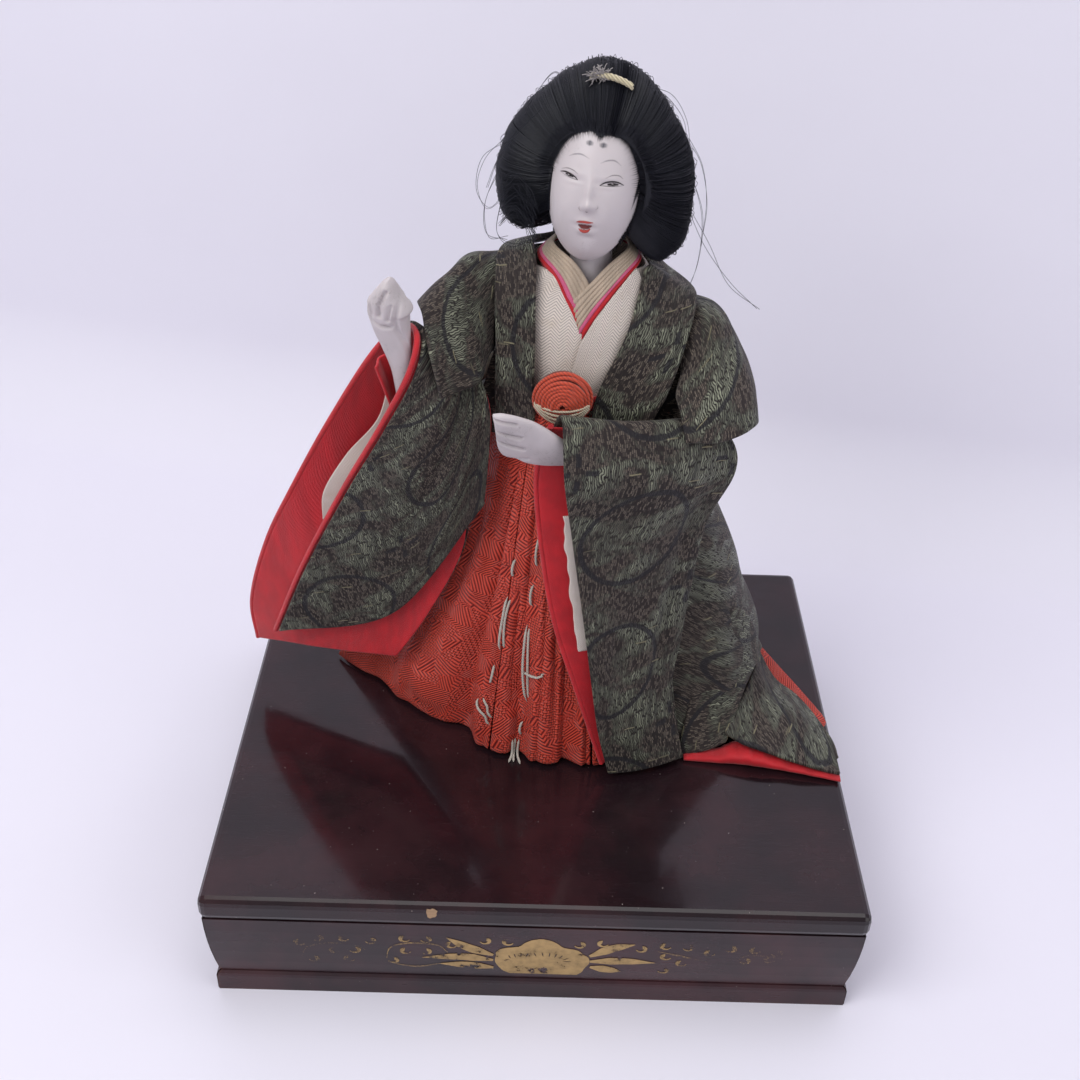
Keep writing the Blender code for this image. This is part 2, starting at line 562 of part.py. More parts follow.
def mitred_rail(name, outline, span, distance, turn, finish):
    """A rail of the stand: an outline of (inset, height) with mitred ends."""
    bm = bmesh.new()
    ends = []
    for side in (-1, 1):
        ring = []
        for inset, height in outline:
            reach = span / 2 - inset - SEAT_GAP
            ring.append(bm.verts.new((side * reach, inset - distance, height)))
        ends.append(ring)
    count = len(outline)
    for i in range(count):
        j = (i + 1) % count
        bm.faces.new((ends[0][i], ends[0][j], ends[1][j], ends[1][i]))
    bm.faces.new(ends[0])
    bm.faces.new(ends[1])
    rail = new_object(name, mesh_from(bm, name), None, finish)
    rail.rotation_euler = (0, 0, turn)
    return rail


def rail_frame(prefix, outline, finish):
    sides = (("front", 0, STAND_WIDTH, STAND_DEPTH), ("right", 1, STAND_DEPTH, STAND_WIDTH),
             ("back", 2, STAND_WIDTH, STAND_DEPTH), ("left", 3, STAND_DEPTH, STAND_WIDTH))
    for side, quarter, span, between in sides:
        mitred_rail(f"{prefix}_{side}", outline, span, between / 2, quarter * pi / 2, finish)


def body_outline():
    """The rail bows out under the board and tucks in towards the plinth."""
    bottom = PLINTH_HEIGHT + SEAT_GAP
    outline = []
    steps = 5
    for i in range(steps + 1):
        share = i / steps
        inset = BODY_INSET + BODY_TUCK * (1 - share) ** 2
        outline.append((inset, bottom + BODY_HEIGHT * share))
    inner = BODY_INSET + RAIL_THICKNESS
    outline.append((inner, bottom + BODY_HEIGHT))
    outline.append((inner, bottom))
    return outline


def plinth_outline():
    outline = [(PLINTH_INSET, 0.0), (PLINTH_INSET, PLINTH_HEIGHT - PLINTH_ROUND)]
    for i in (1, 2, 3):
        angle = i * pi / 6
        inset = PLINTH_INSET + PLINTH_ROUND * (1 - cos(angle))
        outline.append((inset, PLINTH_HEIGHT - PLINTH_ROUND * (1 - sin(angle))))
    inner = PLINTH_INSET + RAIL_THICKNESS
    outline.append((inner, PLINTH_HEIGHT))
    outline.append((inner, 0.0))
    return outline


def make_stand():
    lacquer = material("lacquer", LACQUER, 0.15)
    satin = material("satin_lacquer", DARK_LACQUER, 0.35)
    wood = material("bare_wood", BARE_WOOD, 0.7)
    rail_frame("body", body_outline(), satin)
    rail_frame("plinth", plinth_outline(), satin)
    board_bottom = STAND_HEIGHT - BOARD_THICKNESS
    board = box("top_board", (STAND_WIDTH, STAND_DEPTH, BOARD_THICKNESS),
                (0, 0, board_bottom + BOARD_THICKNESS / 2), lacquer, bevel=BOARD_ROUND)
    peg_place = (across(PEG_PLACE_SHARES[0]), deep(PEG_PLACE_SHARES[1]))
    block_top = board_bottom - SEAT_GAP
    block = box("peg_block", (PEG_BLOCK_SIDE, PEG_BLOCK_SIDE, PEG_BLOCK_HEIGHT),
                (*peg_place, block_top - PEG_BLOCK_HEIGHT / 2), wood)
    hole = cylinder("peg_hole_cutter", PEG_RADIUS + PEG_CLEARANCE,
                    block_top - PEG_BLOCK_HEIGHT - CUT_OVERRUN, STAND_HEIGHT + CUT_OVERRUN,
                    peg_place, None, cutter=True)
    cut(board, hole)
    cut(block, hole)


# Figure: what the clothes hang on


def chest_point(height, angle, offset=0.0):
    """A point on the chest: angle 0 is the front, a quarter turn the figure's left."""
    heights = sorted(CHEST_SHARES)
    values = [np.interp(height, heights, [CHEST_SHARES[h][i] for h in heights]) for i in range(4)]
    centre_x, centre_y, half_width, half_depth = values
    if sin(angle) > 0:
        low = np.interp(height, *zip(*LOW_SHOULDER_SHARES))
        half_width *= 1 - (1 - low) * sin(angle)
    reach_x = across(half_width) + offset
    reach_y = deep(half_depth) + offset
    return (across(centre_x) + reach_x * sin(angle), deep(centre_y) - reach_y * cos(angle), up(height))


def make_axis(name, place, parent=None, turn=(0, 0, 0)):
    axis = bpy.data.objects.new(name, None)
    collection(PARTS).objects.link(axis)
    axis.parent = parent
    axis.location = place
    axis.rotation_euler = turn
    return axis


def make_core(figure):
    wood = material("bare_wood", BARE_WOOD, 0.7)
    straw = material("straw", STRAW, 0.9)
    peg_place = (across(PEG_PLACE_SHARES[0]), deep(PEG_PLACE_SHARES[1]))
    neck_place = (across(NECK_PLACE_SHARES[0]), deep(NECK_PLACE_SHARES[1]))
    base_top = SEAT_GAP + BASE_THICKNESS
    peg_bottom = SEAT_GAP - BOARD_THICKNESS - PEG_BLOCK_HEIGHT
    board = cylinder("base_board", (BASE_HALF_WIDTH, BASE_HALF_DEPTH), SEAT_GAP, base_top,
                     peg_place, wood, figure, 36)
    hole = cylinder("base_hole_cutter", PEG_RADIUS + SEAT_GAP, SEAT_GAP - CUT_OVERRUN,
                    base_top + CUT_OVERRUN, peg_place, None, figure, cutter=True)
    cut(board, hole)
    cylinder("stand_peg", PEG_RADIUS, peg_bottom, base_top, peg_place, wood, figure)
    straw_top = up(STRAW_TOP_SHARE)
    body = cylinder("straw_body", (STRAW_HALF_WIDTH, STRAW_HALF_DEPTH), base_top + SEAT_GAP,
                    straw_top, peg_place, straw, figure, 28)
    socket = cylinder("neck_socket_cutter", NECK_STICK_RADIUS + SEAT_GAP,
                      straw_top - NECK_STICK_DEPTH - SEAT_GAP, straw_top + CUT_OVERRUN,
                      neck_place, None, figure, cutter=True)
    cut(body, socket)
    make_leg_padding(figure, peg_place, base_top)


def oval(centre, half_width, half_depth, height, count=24):
    ring = []
    for i in range(count):
        angle = 2 * pi * i / count
        ring.append((centre[0] + half_width * cos(angle), centre[1] + half_depth * sin(angle), height))
    return ring


def make_leg_padding(figure, place, base_top):
    """Wood-wool padding that gives the kneeling skirt its bulk."""
    rings = []
    for centre_x, centre_y, half_width, half_depth, height in PADDING_SHARES:
        centre = (across(centre_x), deep(centre_y))
        rings.append(oval(centre, across(half_width), deep(half_depth), up(height)))
    padding = loft_rings("leg_padding", rings, material("paper", PAPER, 0.9), figure)
    body_room = cylinder("body_room_cutter", (STRAW_HALF_WIDTH + SEAT_GAP, STRAW_HALF_DEPTH + SEAT_GAP),
                         -CUT_OVERRUN, up(STRAW_TOP_SHARE), place, None, figure, 28, True)
    board_room = cylinder("board_room_cutter", (BASE_HALF_WIDTH + SEAT_GAP, BASE_HALF_DEPTH + SEAT_GAP),
                          -CUT_OVERRUN, base_top + SEAT_GAP, place, None, figure, 36, True)
    cut(padding, body_room)
    cut(padding, board_room)


# Arms: a wire through paper padding, from the straw body to the wrist


def arm_route(shares, wrist, knuckle):
    """The arm's smooth route, its last stretch in line with the hand."""
    route = smooth_line(layout(shares), ARM_POINTS - 2)
    direction = (knuckle - wrist).normalized()
    start = wrist - direction * (HAND_WIRE_LENGTH + 2 * SEAT_GAP)
    return [Vector(point) for point in route] + [start, wrist - direction * SEAT_GAP]


def make_arm(side, shares, wrist, knuckle, figure):
    paper = material("paper", PAPER, 0.9)
    steel = material("steel_wire", STEEL, 0.4, 0.9)
    route = arm_route(shares, wrist, knuckle)
    padding = tube(f"{side}_arm_padding", route, ARM_PAD_RADIUS, paper, figure)
    inwards = (route[0] - route[1]).normalized() * CUT_OVERRUN
    outwards = (route[-1] - route[-2]).normalized() * CUT_OVERRUN
    bore = [route[0] + inwards] + route + [route[-1] + outwards]
    cut(padding, tube(f"{side}_bore_cutter", bore, ARM_WIRE_RADIUS + WIRE_CLEARANCE, None, figure, True))
    tube(f"{side}_arm_wire", route[:-1], ARM_WIRE_RADIUS, steel, figure)
    armhole = [route[0] + inwards] + route[:6]
    return tube(f"{side}_armhole_cutter", armhole, ARM_PAD_RADIUS + CLOTH_GAP, None, figure, True)


# Clothes on the chest


def neckline(edge, angle):
    """Height share of a collar edge at an angle in degrees from the front."""
    bottom = COLLAR_BOTTOM_SHARES[edge]
    side = COLLAR_SIDE_SHARES[edge]
    turn = min(abs(angle), 360 - abs(angle))
    if turn <= 90:
        return bottom + (side - bottom) * (1 - exp(-turn / COLLAR_SPREAD)) / (1 - exp(-90 / COLLAR_SPREAD))
    return side + COLLAR_RISE_SHARE * sin(radians(turn - 90))


def make_collars(figure):
    """Seven collars laid like tiles, the innermost nearest the neck."""
    names = ("collar_red", "collar_pink", "collar_cream_1", "collar_cream_2",
             "collar_cream_3", "collar_cream_4", "collar_cream_5")
    finishes = {"collar_red": material("red_silk", RED_SILK, 0.5),
                "collar_pink": material("pink_silk", PINK_SILK, 0.5)}
    cream = material("cream_collar", CREAM_COLLAR, 0.6)
    stations = list(COLLAR_STATIONS) + [360 - angle for angle in reversed(COLLAR_STATIONS[:-1])]
    for edge, name in enumerate(names):
        rows = []
        for angle in stations:
            low = neckline(edge, angle)
            high = neckline(edge + 1, angle)
            low -= (high - low) * COLLAR_TUCK
            row = []
            for share in (0.0, 0.5, 1.0):
                height = low + (high - low) * share
                row.append(chest_point(height, radians(angle), COLLAR_LIFT * share))
            rows.append(row)
        cloth(name, np.array(rows), COLLAR_THICKNESS, finishes.get(name, cream), figure)


def make_kosode(figure, armholes):
    """The inner kimono: one cloth wrapped round the chest, meeting in front."""
    angles = KOSODE_ANGLES + tuple(360 - angle for angle in reversed(KOSODE_ANGLES[:-1]))
    grid = []
    for angle in angles:
        drop = KOSODE_DROP_SHARE * exp(-((angle - 92) / 42) ** 2)
        top = neckline(0, angle) - drop
        column = []
        for i in range(7):
            height = KOSODE_BOTTOM_SHARE + (top - KOSODE_BOTTOM_SHARE) * i / 6
            column.append(chest_point(height, radians(angle), KOSODE_LIFT))
        grid.append(column)
    cream = material("cream_silk", CREAM_SILK, 0.55)
    kosode = cloth("kosode", np.array(grid), KOSODE_THICKNESS, cream, figure)
    for armhole in armholes:
        cut(kosode, armhole)


# Hakama: pleated trousers from the waist to the stand


def hakama_hem(turn):
    """The hem's outline at a share of the way round, from the figure's right corner."""
    ring = np.array(HAKAMA_HEM_SHARES + HAKAMA_HEM_SHARES[:1])
    place = (turn % 1.0) * (len(ring) - 1)
    i = int(place)
    t = place - i
    near = ring[i] * (1 - t) + ring[min(i + 1, len(ring) - 1)] * t
    return np.array((across(near[0]), deep(near[1])))


def hakama_waist(turn):
    """The waist ring meets the hem ring corner by corner."""
    hem = hakama_hem(turn)
    centre = np.array((across(HAKAMA_CENTRE_SHARES[0]), deep(HAKAMA_CENTRE_SHARES[1])))
    angle = np.arctan2(hem[0] - centre[0], centre[1] - hem[1])
    point = chest_point(WAIST_SHARE, angle, WAIST_LIFT)
    return np.array(point[:2])


def hakama_point(turn, fall, pleats=0.0):
    """fall runs from 0 at the waist to 1 at the hem."""
    waist = hakama_waist(turn)
    hem = hakama_hem(turn)
    sideways = (hem[0] - waist[0]) / np.linalg.norm(hem - waist)
    spread = fall ** (HAKAMA_FALL + HAKAMA_SIDE_FALL * sideways * sideways)
    flat = waist * (1 - spread) + hem * spread
    height = WAIST_SHARE + (HEM_SHARE - WAIST_SHARE) * fall
    outward = hem - waist
    outward = outward / np.linalg.norm(outward)
    flat = flat + outward * pleats
    return (flat[0], flat[1], up(height))


def hakama_grid(reach, columns, rows, pleat_count=0.0, puff=0.0):
    slots = len(HAKAMA_HEM_SHARES)
    first = (reach[0] + HAKAMA_SEAM_SHARE) / slots
    last = (reach[1] - HAKAMA_SEAM_SHARE) / slots
    grid = []
    for i in range(columns):
        share = i / (columns - 1)
        turn = first + (last - first) * share
        column = []
        for j in range(rows):
            fall = j / (rows - 1)
            fold = HAKAMA_PLEAT_DEPTH * cos(2 * pi * pleat_count * share) * fall if pleat_count else 0.0
            bulge = puff * sin(pi * share) * sin(pi * fall ** 3)
            column.append(hakama_point(turn, fall, fold + bulge))
        grid.append(column)
    return np.array(grid)


def make_hakama(figure):
    cloth_red = material("orange_red_silk", ORANGE_RED, 0.6)
    pieces = (("hakama_right_leg", HAKAMA_RIGHT_LEG_SHARES, 13, 2.0, LEG_PUFF),
              ("hakama_front_panel", HAKAMA_FRONT_PANEL_SHARES, 17, FRONT_PANEL_PLEATS, 0.0),
              ("hakama_left_leg", HAKAMA_LEFT_LEG_SHARES, 13, 2.0, 0.0),
              ("hakama_back", HAKAMA_BACK_SHARES, 16, 3.0, 0.0))
    for name, reach, columns, pleats, puff in pieces:
        cloth(name, hakama_grid(reach, columns, 8, pleats, puff), HAKAMA_THICKNESS, cloth_red, figure)
    make_hakama_trail(figure, cloth_red)


def make_hakama_trail(figure, finish):
    """The hakama's long hem, lying flat on the stand beside the robe."""
    curve = bpy.data.curves.new("hakama_trail_outline", "CURVE")
    curve.dimensions = "2D"
    curve.fill_mode = "BOTH"
    curve.extrude = TRAIL_THICKNESS / 2
    spline = curve.splines.new("POLY")
    spline.points.add(len(HAKAMA_TRAIL_SHARES) - 1)
    spline.use_cyclic_u = True
    for slot, (x, y) in zip(spline.points, HAKAMA_TRAIL_SHARES):
        slot.co = (across(x), deep(y), 0.0, 1.0)
    curve.materials.append(finish)
    trail = bpy.data.objects.new("hakama_trail", curve)
    collection(PARTS).objects.link(trail)
    trail.parent = figure
    trail.location = (0, 0, SEAT_GAP + TRAIL_THICKNESS / 2)


# Robe


def with_rim(grid):
    """The lining reaches a little past the cuff, as a coloured rim."""
    outward = grid[:, -1] - grid[:, -2]
    outward = outward / np.linalg.norm(outward, axis=1, keepdims=True)
    grid = grid.copy()
    grid[:, -1] += outward * LINING_RIM
    return grid


def make_robe(figure):
    brocade = material("brocade", BROCADE, 0.7)
    red = material("red_silk", RED_SILK, 0.5)
    robe = surface(ROBE_SHARES, 19, 17)
    cloth("robe_back", robe, ROBE_THICKNESS, brocade, figure)
    cloth("robe_collar", surface(LAPEL_SHARES, 4, 29), LAPEL_THICKNESS, brocade, figure)
    cloth("robe_right_shoulder", surface(RIGHT_SHOULDER_SHARES, 10, 7), ROBE_THICKNESS, brocade, figure)
    cloth("robe_left_shoulder", surface(LEFT_SHOULDER_SHARES, 10, 9), ROBE_THICKNESS, brocade, figure)
    cloth("robe_tail", surface(TAIL_SHARES, 12, 8), ROBE_THICKNESS, brocade, figure)
    lining_shift = (ROBE_THICKNESS + LINING_THICKNESS) / 2 + CLOTH_GAP
    right = surface(RIGHT_SLEEVE_SHARES, 25, 9)
    cloth("right_sleeve", right, ROBE_THICKNESS, brocade, figure)
    cloth("right_sleeve_lining", with_rim(shifted(right, -lining_shift)), LINING_THICKNESS, red, figure)
    left = surface(LEFT_SLEEVE_SHARES, 25, 10)
    cloth("left_sleeve", left, ROBE_THICKNESS, brocade, figure)
    back_wall = shifted(left, -lining_shift)[LINING_FIRST_ROW:, LINING_FIRST_COLUMN:]
    cloth("left_sleeve_lining", with_rim(back_wall), LINING_THICKNESS, red, figure)
    cream = material("cream_silk", CREAM_SILK, 0.55)
    cloth("right_inner_sleeve", surface(RIGHT_INNER_SHARES, 10, 5), LINING_THICKNESS, cream, figure)
    cloth("left_inner_sleeve", surface(LEFT_INNER_SHARES, 9, 3), LINING_THICKNESS, cream, figure)
    make_tail_lining(figure, red)


def make_tail_lining(figure, finish):
    """The padded red hem that lifts the robe's trailing edge."""
    rings = []
    for x, front, back, top in TAIL_LINING_SHARES:
        low = SEAT_GAP
        corners = ((front, low), (front, up(top)), (back, up(top)), (back, low))
        rings.append([(across(x), deep(y), z) for y, z in corners])
    loft_rings("robe_tail_lining", rings, finish, figure)


def make_under_sleeve(figure, wrist, knuckle):
    """The innermost red sleeve, a half tube round the raised forearm."""
    direction = (knuckle - wrist).normalized()
    side = direction.cross(Vector((0, 1, 0))).normalized()
    deepward = side.cross(direction)
    wrist_share = RAISED_HAND_SHARES[0][1]
    snug = (knuckle - wrist).length * HUNDREDTH_SHARE * wrist_share + CLOTH_GAP + LINING_THICKNESS
    grid = []
    for i in range(9):
        angle = radians(i * 17 - 35)
        column = []
        for j in range(6):
            along = wrist + direction * (UNDER_SLEEVE_START + UNDER_SLEEVE_LENGTH * j / 5)
            radius = snug + UNDER_SLEEVE_FLARE * j / 5
            column.append(along + (side * sin(angle) + deepward * cos(angle)) * radius)
        grid.append([tuple(point) for point in column])
    cloth("right_under_sleeve", np.array(grid), LINING_THICKNESS, material("red_silk", RED_SILK, 0.5), figure)


# Knot and threads


def make_knot(figure):
    red = material("knot_red", KNOT_RED, 0.45)
    cream = material("cream_cord", CREAM_SILK, 0.6)
    centre = Vector(layout(KNOT_PLACE_SHARES))
    bm = bmesh.new()
    bmesh.ops.create_uvsphere(bm, u_segments=18, v_segments=10, radius=1.0)
    bmesh.ops.scale(bm, vec=(KNOT_RADIUS, KNOT_DEPTH, KNOT_RADIUS), verts=bm.verts)
    mesh = mesh_from(bm, "waist_knot")
    smooth(mesh)
    knot = new_object("waist_knot", mesh, figure, red)
    knot.location = centre
    cord = None
    for i in range(3):
        points = []
        for step in range(9):
            angle = radians(212 + 116 * step / 8)
            radius = KNOT_RADIUS * (0.84 - 0.17 * i * sin(pi * step / 8))
            x = radius * cos(angle)
            z = radius * sin(angle)
            level = 1 - (x * x + z * z) / KNOT_RADIUS ** 2
            y = -KNOT_DEPTH * level ** 0.5 - KNOT_CORD_RADIUS - 2 * SEAT_GAP
            points.append(centre + Vector((x, y, z)))
        if cord is None:
            cord = tube("knot_cord", points, KNOT_CORD_RADIUS, cream, figure)
        else:
            cut(cord, tube(f"knot_strand_{i}_cutter", points, KNOT_CORD_RADIUS, None, figure, True), "UNION")


def make_waistband(figure):
    """The band under the knot, laid over the gathered top of the hakama."""
    grid = []
    for angle in (-48, -36, -24, -12, 0, 12, 24, 36, 48):
        column = []
        for height in np.linspace(WAISTBAND_BOTTOM_SHARE, WAISTBAND_TOP_SHARE, 4):
            column.append(chest_point(height, radians(angle), WAIST_LIFT))
        grid.append(column)
    cloth("hakama_waistband", np.array(grid), HAKAMA_THICKNESS, material("red_silk", RED_SILK, 0.5), figure)


def make_basting(figure):
    """Basting threads that hold the pleats, lying on the front panel."""
    cream = material("cream_cord", CREAM_SILK, 0.6)
    grid = hakama_grid(HAKAMA_FRONT_PANEL_SHARES, 17, 8, FRONT_PANEL_PLEATS)
    lifted = shifted(grid, -(HAKAMA_THICKNESS / 2 + BASTING_RADIUS + SEAT_GAP))
    for number, route in enumerate(THREAD_SHARES, 1):
        points = [sample(lifted, turn, fall) for turn, fall in smooth_line(route, 13) * HUNDREDTH_SHARE]
        tube(f"basting_thread_{number}", points, BASTING_RADIUS, cream, figure)


def sample(grid, first, second):
    """A point between the points of a grid."""
    rows, columns = grid.shape[:2]
    x = first * (rows - 1)
    y = second * (columns - 1)
    i = min(int(x), rows - 2)
    j = min(int(y), columns - 2)
    s = x - i
    t = y - j
    near = grid[i, j] * (1 - t) + grid[i, j + 1] * t
    far = grid[i + 1, j] * (1 - t) + grid[i + 1, j + 1] * t
    return Vector(near * (1 - s) + far * s)


# Head


def bump(x, z, at_x, at_z, wide, high):
    return exp(-((x - at_x) / wide) ** 2 - ((z - at_z) / high) ** 2)


def head_shape(direction, swell=0.0):
    """A point of the head from a unit direction; the face looks along -Y."""
    x, y, z = direction
    lower = max(0.0, -z)
    narrow = 1 - 0.05 * lower ** 2
    reach_x = (HEAD_WIDTH / 2 + swell) * x * narrow
    reach_y = (HEAD_DEPTH / 2 + swell) * y * (1 - 0.16 * lower ** 2)
    reach_z = (HEAD_HEIGHT / 2 + swell) * z
    if y < 0:
        front = -y
        relief = 0.0
        relief += 0.060 * bump(x, z, 0.0, -0.17, 0.13, 0.10)
        relief += 0.035 * bump(x, z, 0.0, 0.02, 0.10, 0.20)
        relief += 0.025 * bump(x, z, 0.0, -0.42, 0.20, 0.07)
        relief += 0.030 * bump(x, z, 0.0, -0.80, 0.28, 0.14)
        relief += 0.020 * bump(abs(x), z, 0.46, -0.26, 0.22, 0.24)
        relief -= 0.030 * bump(abs(x), z, 0.40, 0.17, 0.20, 0.10)
        reach_y -= HEAD_DEPTH * relief * front
    return Vector((reach_x, reach_y, reach_z))


def head_mesh(name, swell=0.0, columns=26, rows=20):
    bm = bmesh.new()
    bmesh.ops.create_uvsphere(bm, u_segments=columns, v_segments=rows, radius=1.0)
    for vertex in bm.verts:
        vertex.co = head_shape(vertex.co, swell)
    return mesh_from(bm, name)


def make_head(axis, head_place, neck_place):
    """The head and its neck are one piece, bored for the neck stick."""
    white = material("gofun", GOFUN, 0.35)
    mesh = head_mesh("head")
    smooth(mesh)
    head = new_object("head", mesh, axis, white)
    head.matrix_local = Matrix.Translation(head_place) @ head_rotation()
    neck = cylinder("neck_joiner_cutter", NECK_RADIUS, up(NECK_BOTTOM_SHARE) - neck_place.z,
                    head_place.z - HEAD_HEIGHT / 4, (0, 0), None, axis, 24, True)
    cut(head, neck, "UNION")
    top = up(NECK_BOTTOM_SHARE) + NECK_STICK_LENGTH - NECK_STICK_DEPTH - neck_place.z
    bore = cylinder("neck_bore_cutter", NECK_STICK_RADIUS + SEAT_GAP,
                    up(NECK_BOTTOM_SHARE) - CUT_OVERRUN - neck_place.z, top, (0, 0), None, axis, 24, True)
    cut(head, bore)
    return head


def head_rotation():
    turn = Matrix.Rotation(HEAD_TURN, 4, "Z")
    tilt = Matrix.Rotation(HEAD_TILT, 4, "Y")
    nod = Matrix.Rotation(HEAD_NOD, 4, "X")
    return turn @ tilt @ nod


def hair_rings(neck_place):
    lines = smooth_line(HAIR_SHARES, 17)
    rings = []
    for x, y, z, half_depth, half_height in lines:
        ring = []
        for i in range(HAIR_RING_POINTS):
            angle = 2 * pi * i / HAIR_RING_POINTS
            point = Vector((across(x), deep(y + half_depth * cos(angle)), up(z + half_height * sin(angle))))
            ring.append(point - neck_place)
        rings.append(ring)
    return rings


def make_hair(axis, head_place, neck_place):
    black = material("silk_hair", SILK_HAIR, 0.5)
    room = new_object("hair_room_cutter", head_mesh("hair_room", HAIR_GAP, 24, 16), axis, cutter=True)
    room.matrix_local = Matrix.Translation(head_place) @ head_rotation()
    window = face_window(axis, head_place)
    neck_room = cylinder("hair_neck_cutter", NECK_RADIUS + HAIR_GAP, up(NECK_BOTTOM_SHARE) - neck_place.z,
                         head_place.z, (0, 0), None, axis, 24, True)
    slab_reach = 3 * HEAD_HEIGHT
    for name, low, high in HAIR_PARTS_SHARES:
        mass = loft_rings(name, hair_rings(neck_place), black, axis)
        slab = box(name + "_slab_cutter", (across(high - low), slab_reach, slab_reach),
                   (across((low + high) / 2) - neck_place.x, 0, head_place.z), None, axis, cutter=True)
        cut(mass, slab, "INTERSECT")
        cut(mass, room)
        cut(mass, window)
        if name == "hair_crown":
            cut(mass, neck_room)
    make_hair_tail(axis, neck_place, black)
    make_hair_tie(axis, neck_place)


def face_window(axis, head_place):
    """The opening in the hair that the face looks out of."""
    rings = []
    for y in (-WINDOW_DEPTH, 0.0):
        ring = []
        for i in range(24):
            angle = 2 * pi * i / 24
            z = sin(angle)
            half_height = WINDOW_TOP if z > 0 else WINDOW_BOTTOM
            ring.append((WINDOW_HALF_WIDTH * cos(angle) - WINDOW_SHIFT, y, half_height * z))
        rings.append(ring)
    window = loft_rings("face_window_cutter", rings, None, axis, True)
    window.matrix_local = Matrix.Translation(head_place) @ head_rotation()
    return window


def make_hair_tail(axis, neck_place, finish):
    """The long tail of hair down the back, tied at the nape."""
    centre = smooth_line(layout(HAIR_TAIL_SHARES), 15)
    grid = []
    for i, point in enumerate(centre):
        share = i / (len(centre) - 1)
        half = HAIR_TAIL_HALF_WIDTH * (1 - 0.25 * share)
        row = []
        for side in (-1.0, -0.5, 0.0, 0.5, 1.0):
            round_off = HAIR_TAIL_THICKNESS * 0.5 * (1 - side * side)
            row.append((point[0] + half * side, point[1] + round_off, point[2]))
        grid.append(row)
    moved = np.array(grid) - np.array(neck_place)
    cloth("hair_tail", moved, HAIR_TAIL_THICKNESS, finish, axis)


def make_hair_tie(axis, neck_place):
    """A twist of paper cord tied round the front lock."""
    stations = np.array(HAIR_SHARES)
    lift = HAIR_TIE_RADIUS + SEAT_GAP
    points = []
    for x, degrees in smooth_line(HAIR_TIE_ROUTE_SHARES, 12):
        y, z, half_depth, half_height = [np.interp(x, stations[:, 0], stations[:, i]) for i in (1, 2, 3, 4)]
        reach_y = deep(half_depth) + lift
        reach_z = up(half_height) + lift
        angle = radians(degrees)
        point = Vector((across(x), deep(y) - reach_y * cos(angle), up(z) + reach_z * sin(angle)))
        points.append(point - neck_place)
    tube("hair_tie", points, HAIR_TIE_RADIUS, material("cream_cord", CREAM_SILK, 0.6), axis)


# Hands


def make_hand(name, shares, reach, axis, bore_depth):
    white = material("gofun", GOFUN, 0.35)
    rings = []
    for place, half_width, half_thickness in shares:
        ring = []
        for i in range(16):
            angle = 2 * pi * i / 16
            point = (half_width * cos(angle), half_thickness * sin(angle), place)
            ring.append(Vector(point) * reach * HUNDREDTH_SHARE)
        rings.append(ring)
    hand = loft_rings(name, rings, white, axis)
    hole = cylinder(name + "_hole_cutter", ARM_WIRE_RADIUS + WIRE_CLEARANCE, -CUT_OVERRUN,
                    bore_depth, (0, 0), None, axis, 16, True)
    cut(hand, hole)
    return hand


def hand_turn(wrist, knuckle, flat_towards):
    """Rotation with +Z along the hand and +X along its broad side."""
    along = (knuckle - wrist).normalized()
    thin = (flat_towards - along * flat_towards.dot(along)).normalized()
    broad = thin.cross(along)
    return Matrix((broad, thin, along)).transposed().to_euler()


def make_hands(figure):
    steel = material("steel_wire", STEEL, 0.4, 0.9)
    sides = (("right", RIGHT_WRIST_SHARES, RIGHT_KNUCKLE_SHARES, RAISED_HAND_SHARES, Vector((0.35, 1, 0))),
             ("left", LEFT_WRIST_SHARES, LEFT_KNUCKLE_SHARES, FLAT_HAND_SHARES, Vector((0.15, 1, 0.2))))
    for side, wrist, knuckle, shares, towards in sides:
        start = Vector(layout(wrist))
        end = Vector(layout(knuckle))
        axis = make_axis(f"{side}_hand_axis", start, figure, hand_turn(start, end, towards))
        make_hand(f"{side}_hand", shares, (end - start).length, axis, HAND_BORE_DEPTH)
        cylinder(f"{side}_hand_wire", ARM_WIRE_RADIUS, -HAND_WIRE_LENGTH, HAND_BORE_DEPTH - SEAT_GAP,
                 (0, 0), steel, axis, 12)


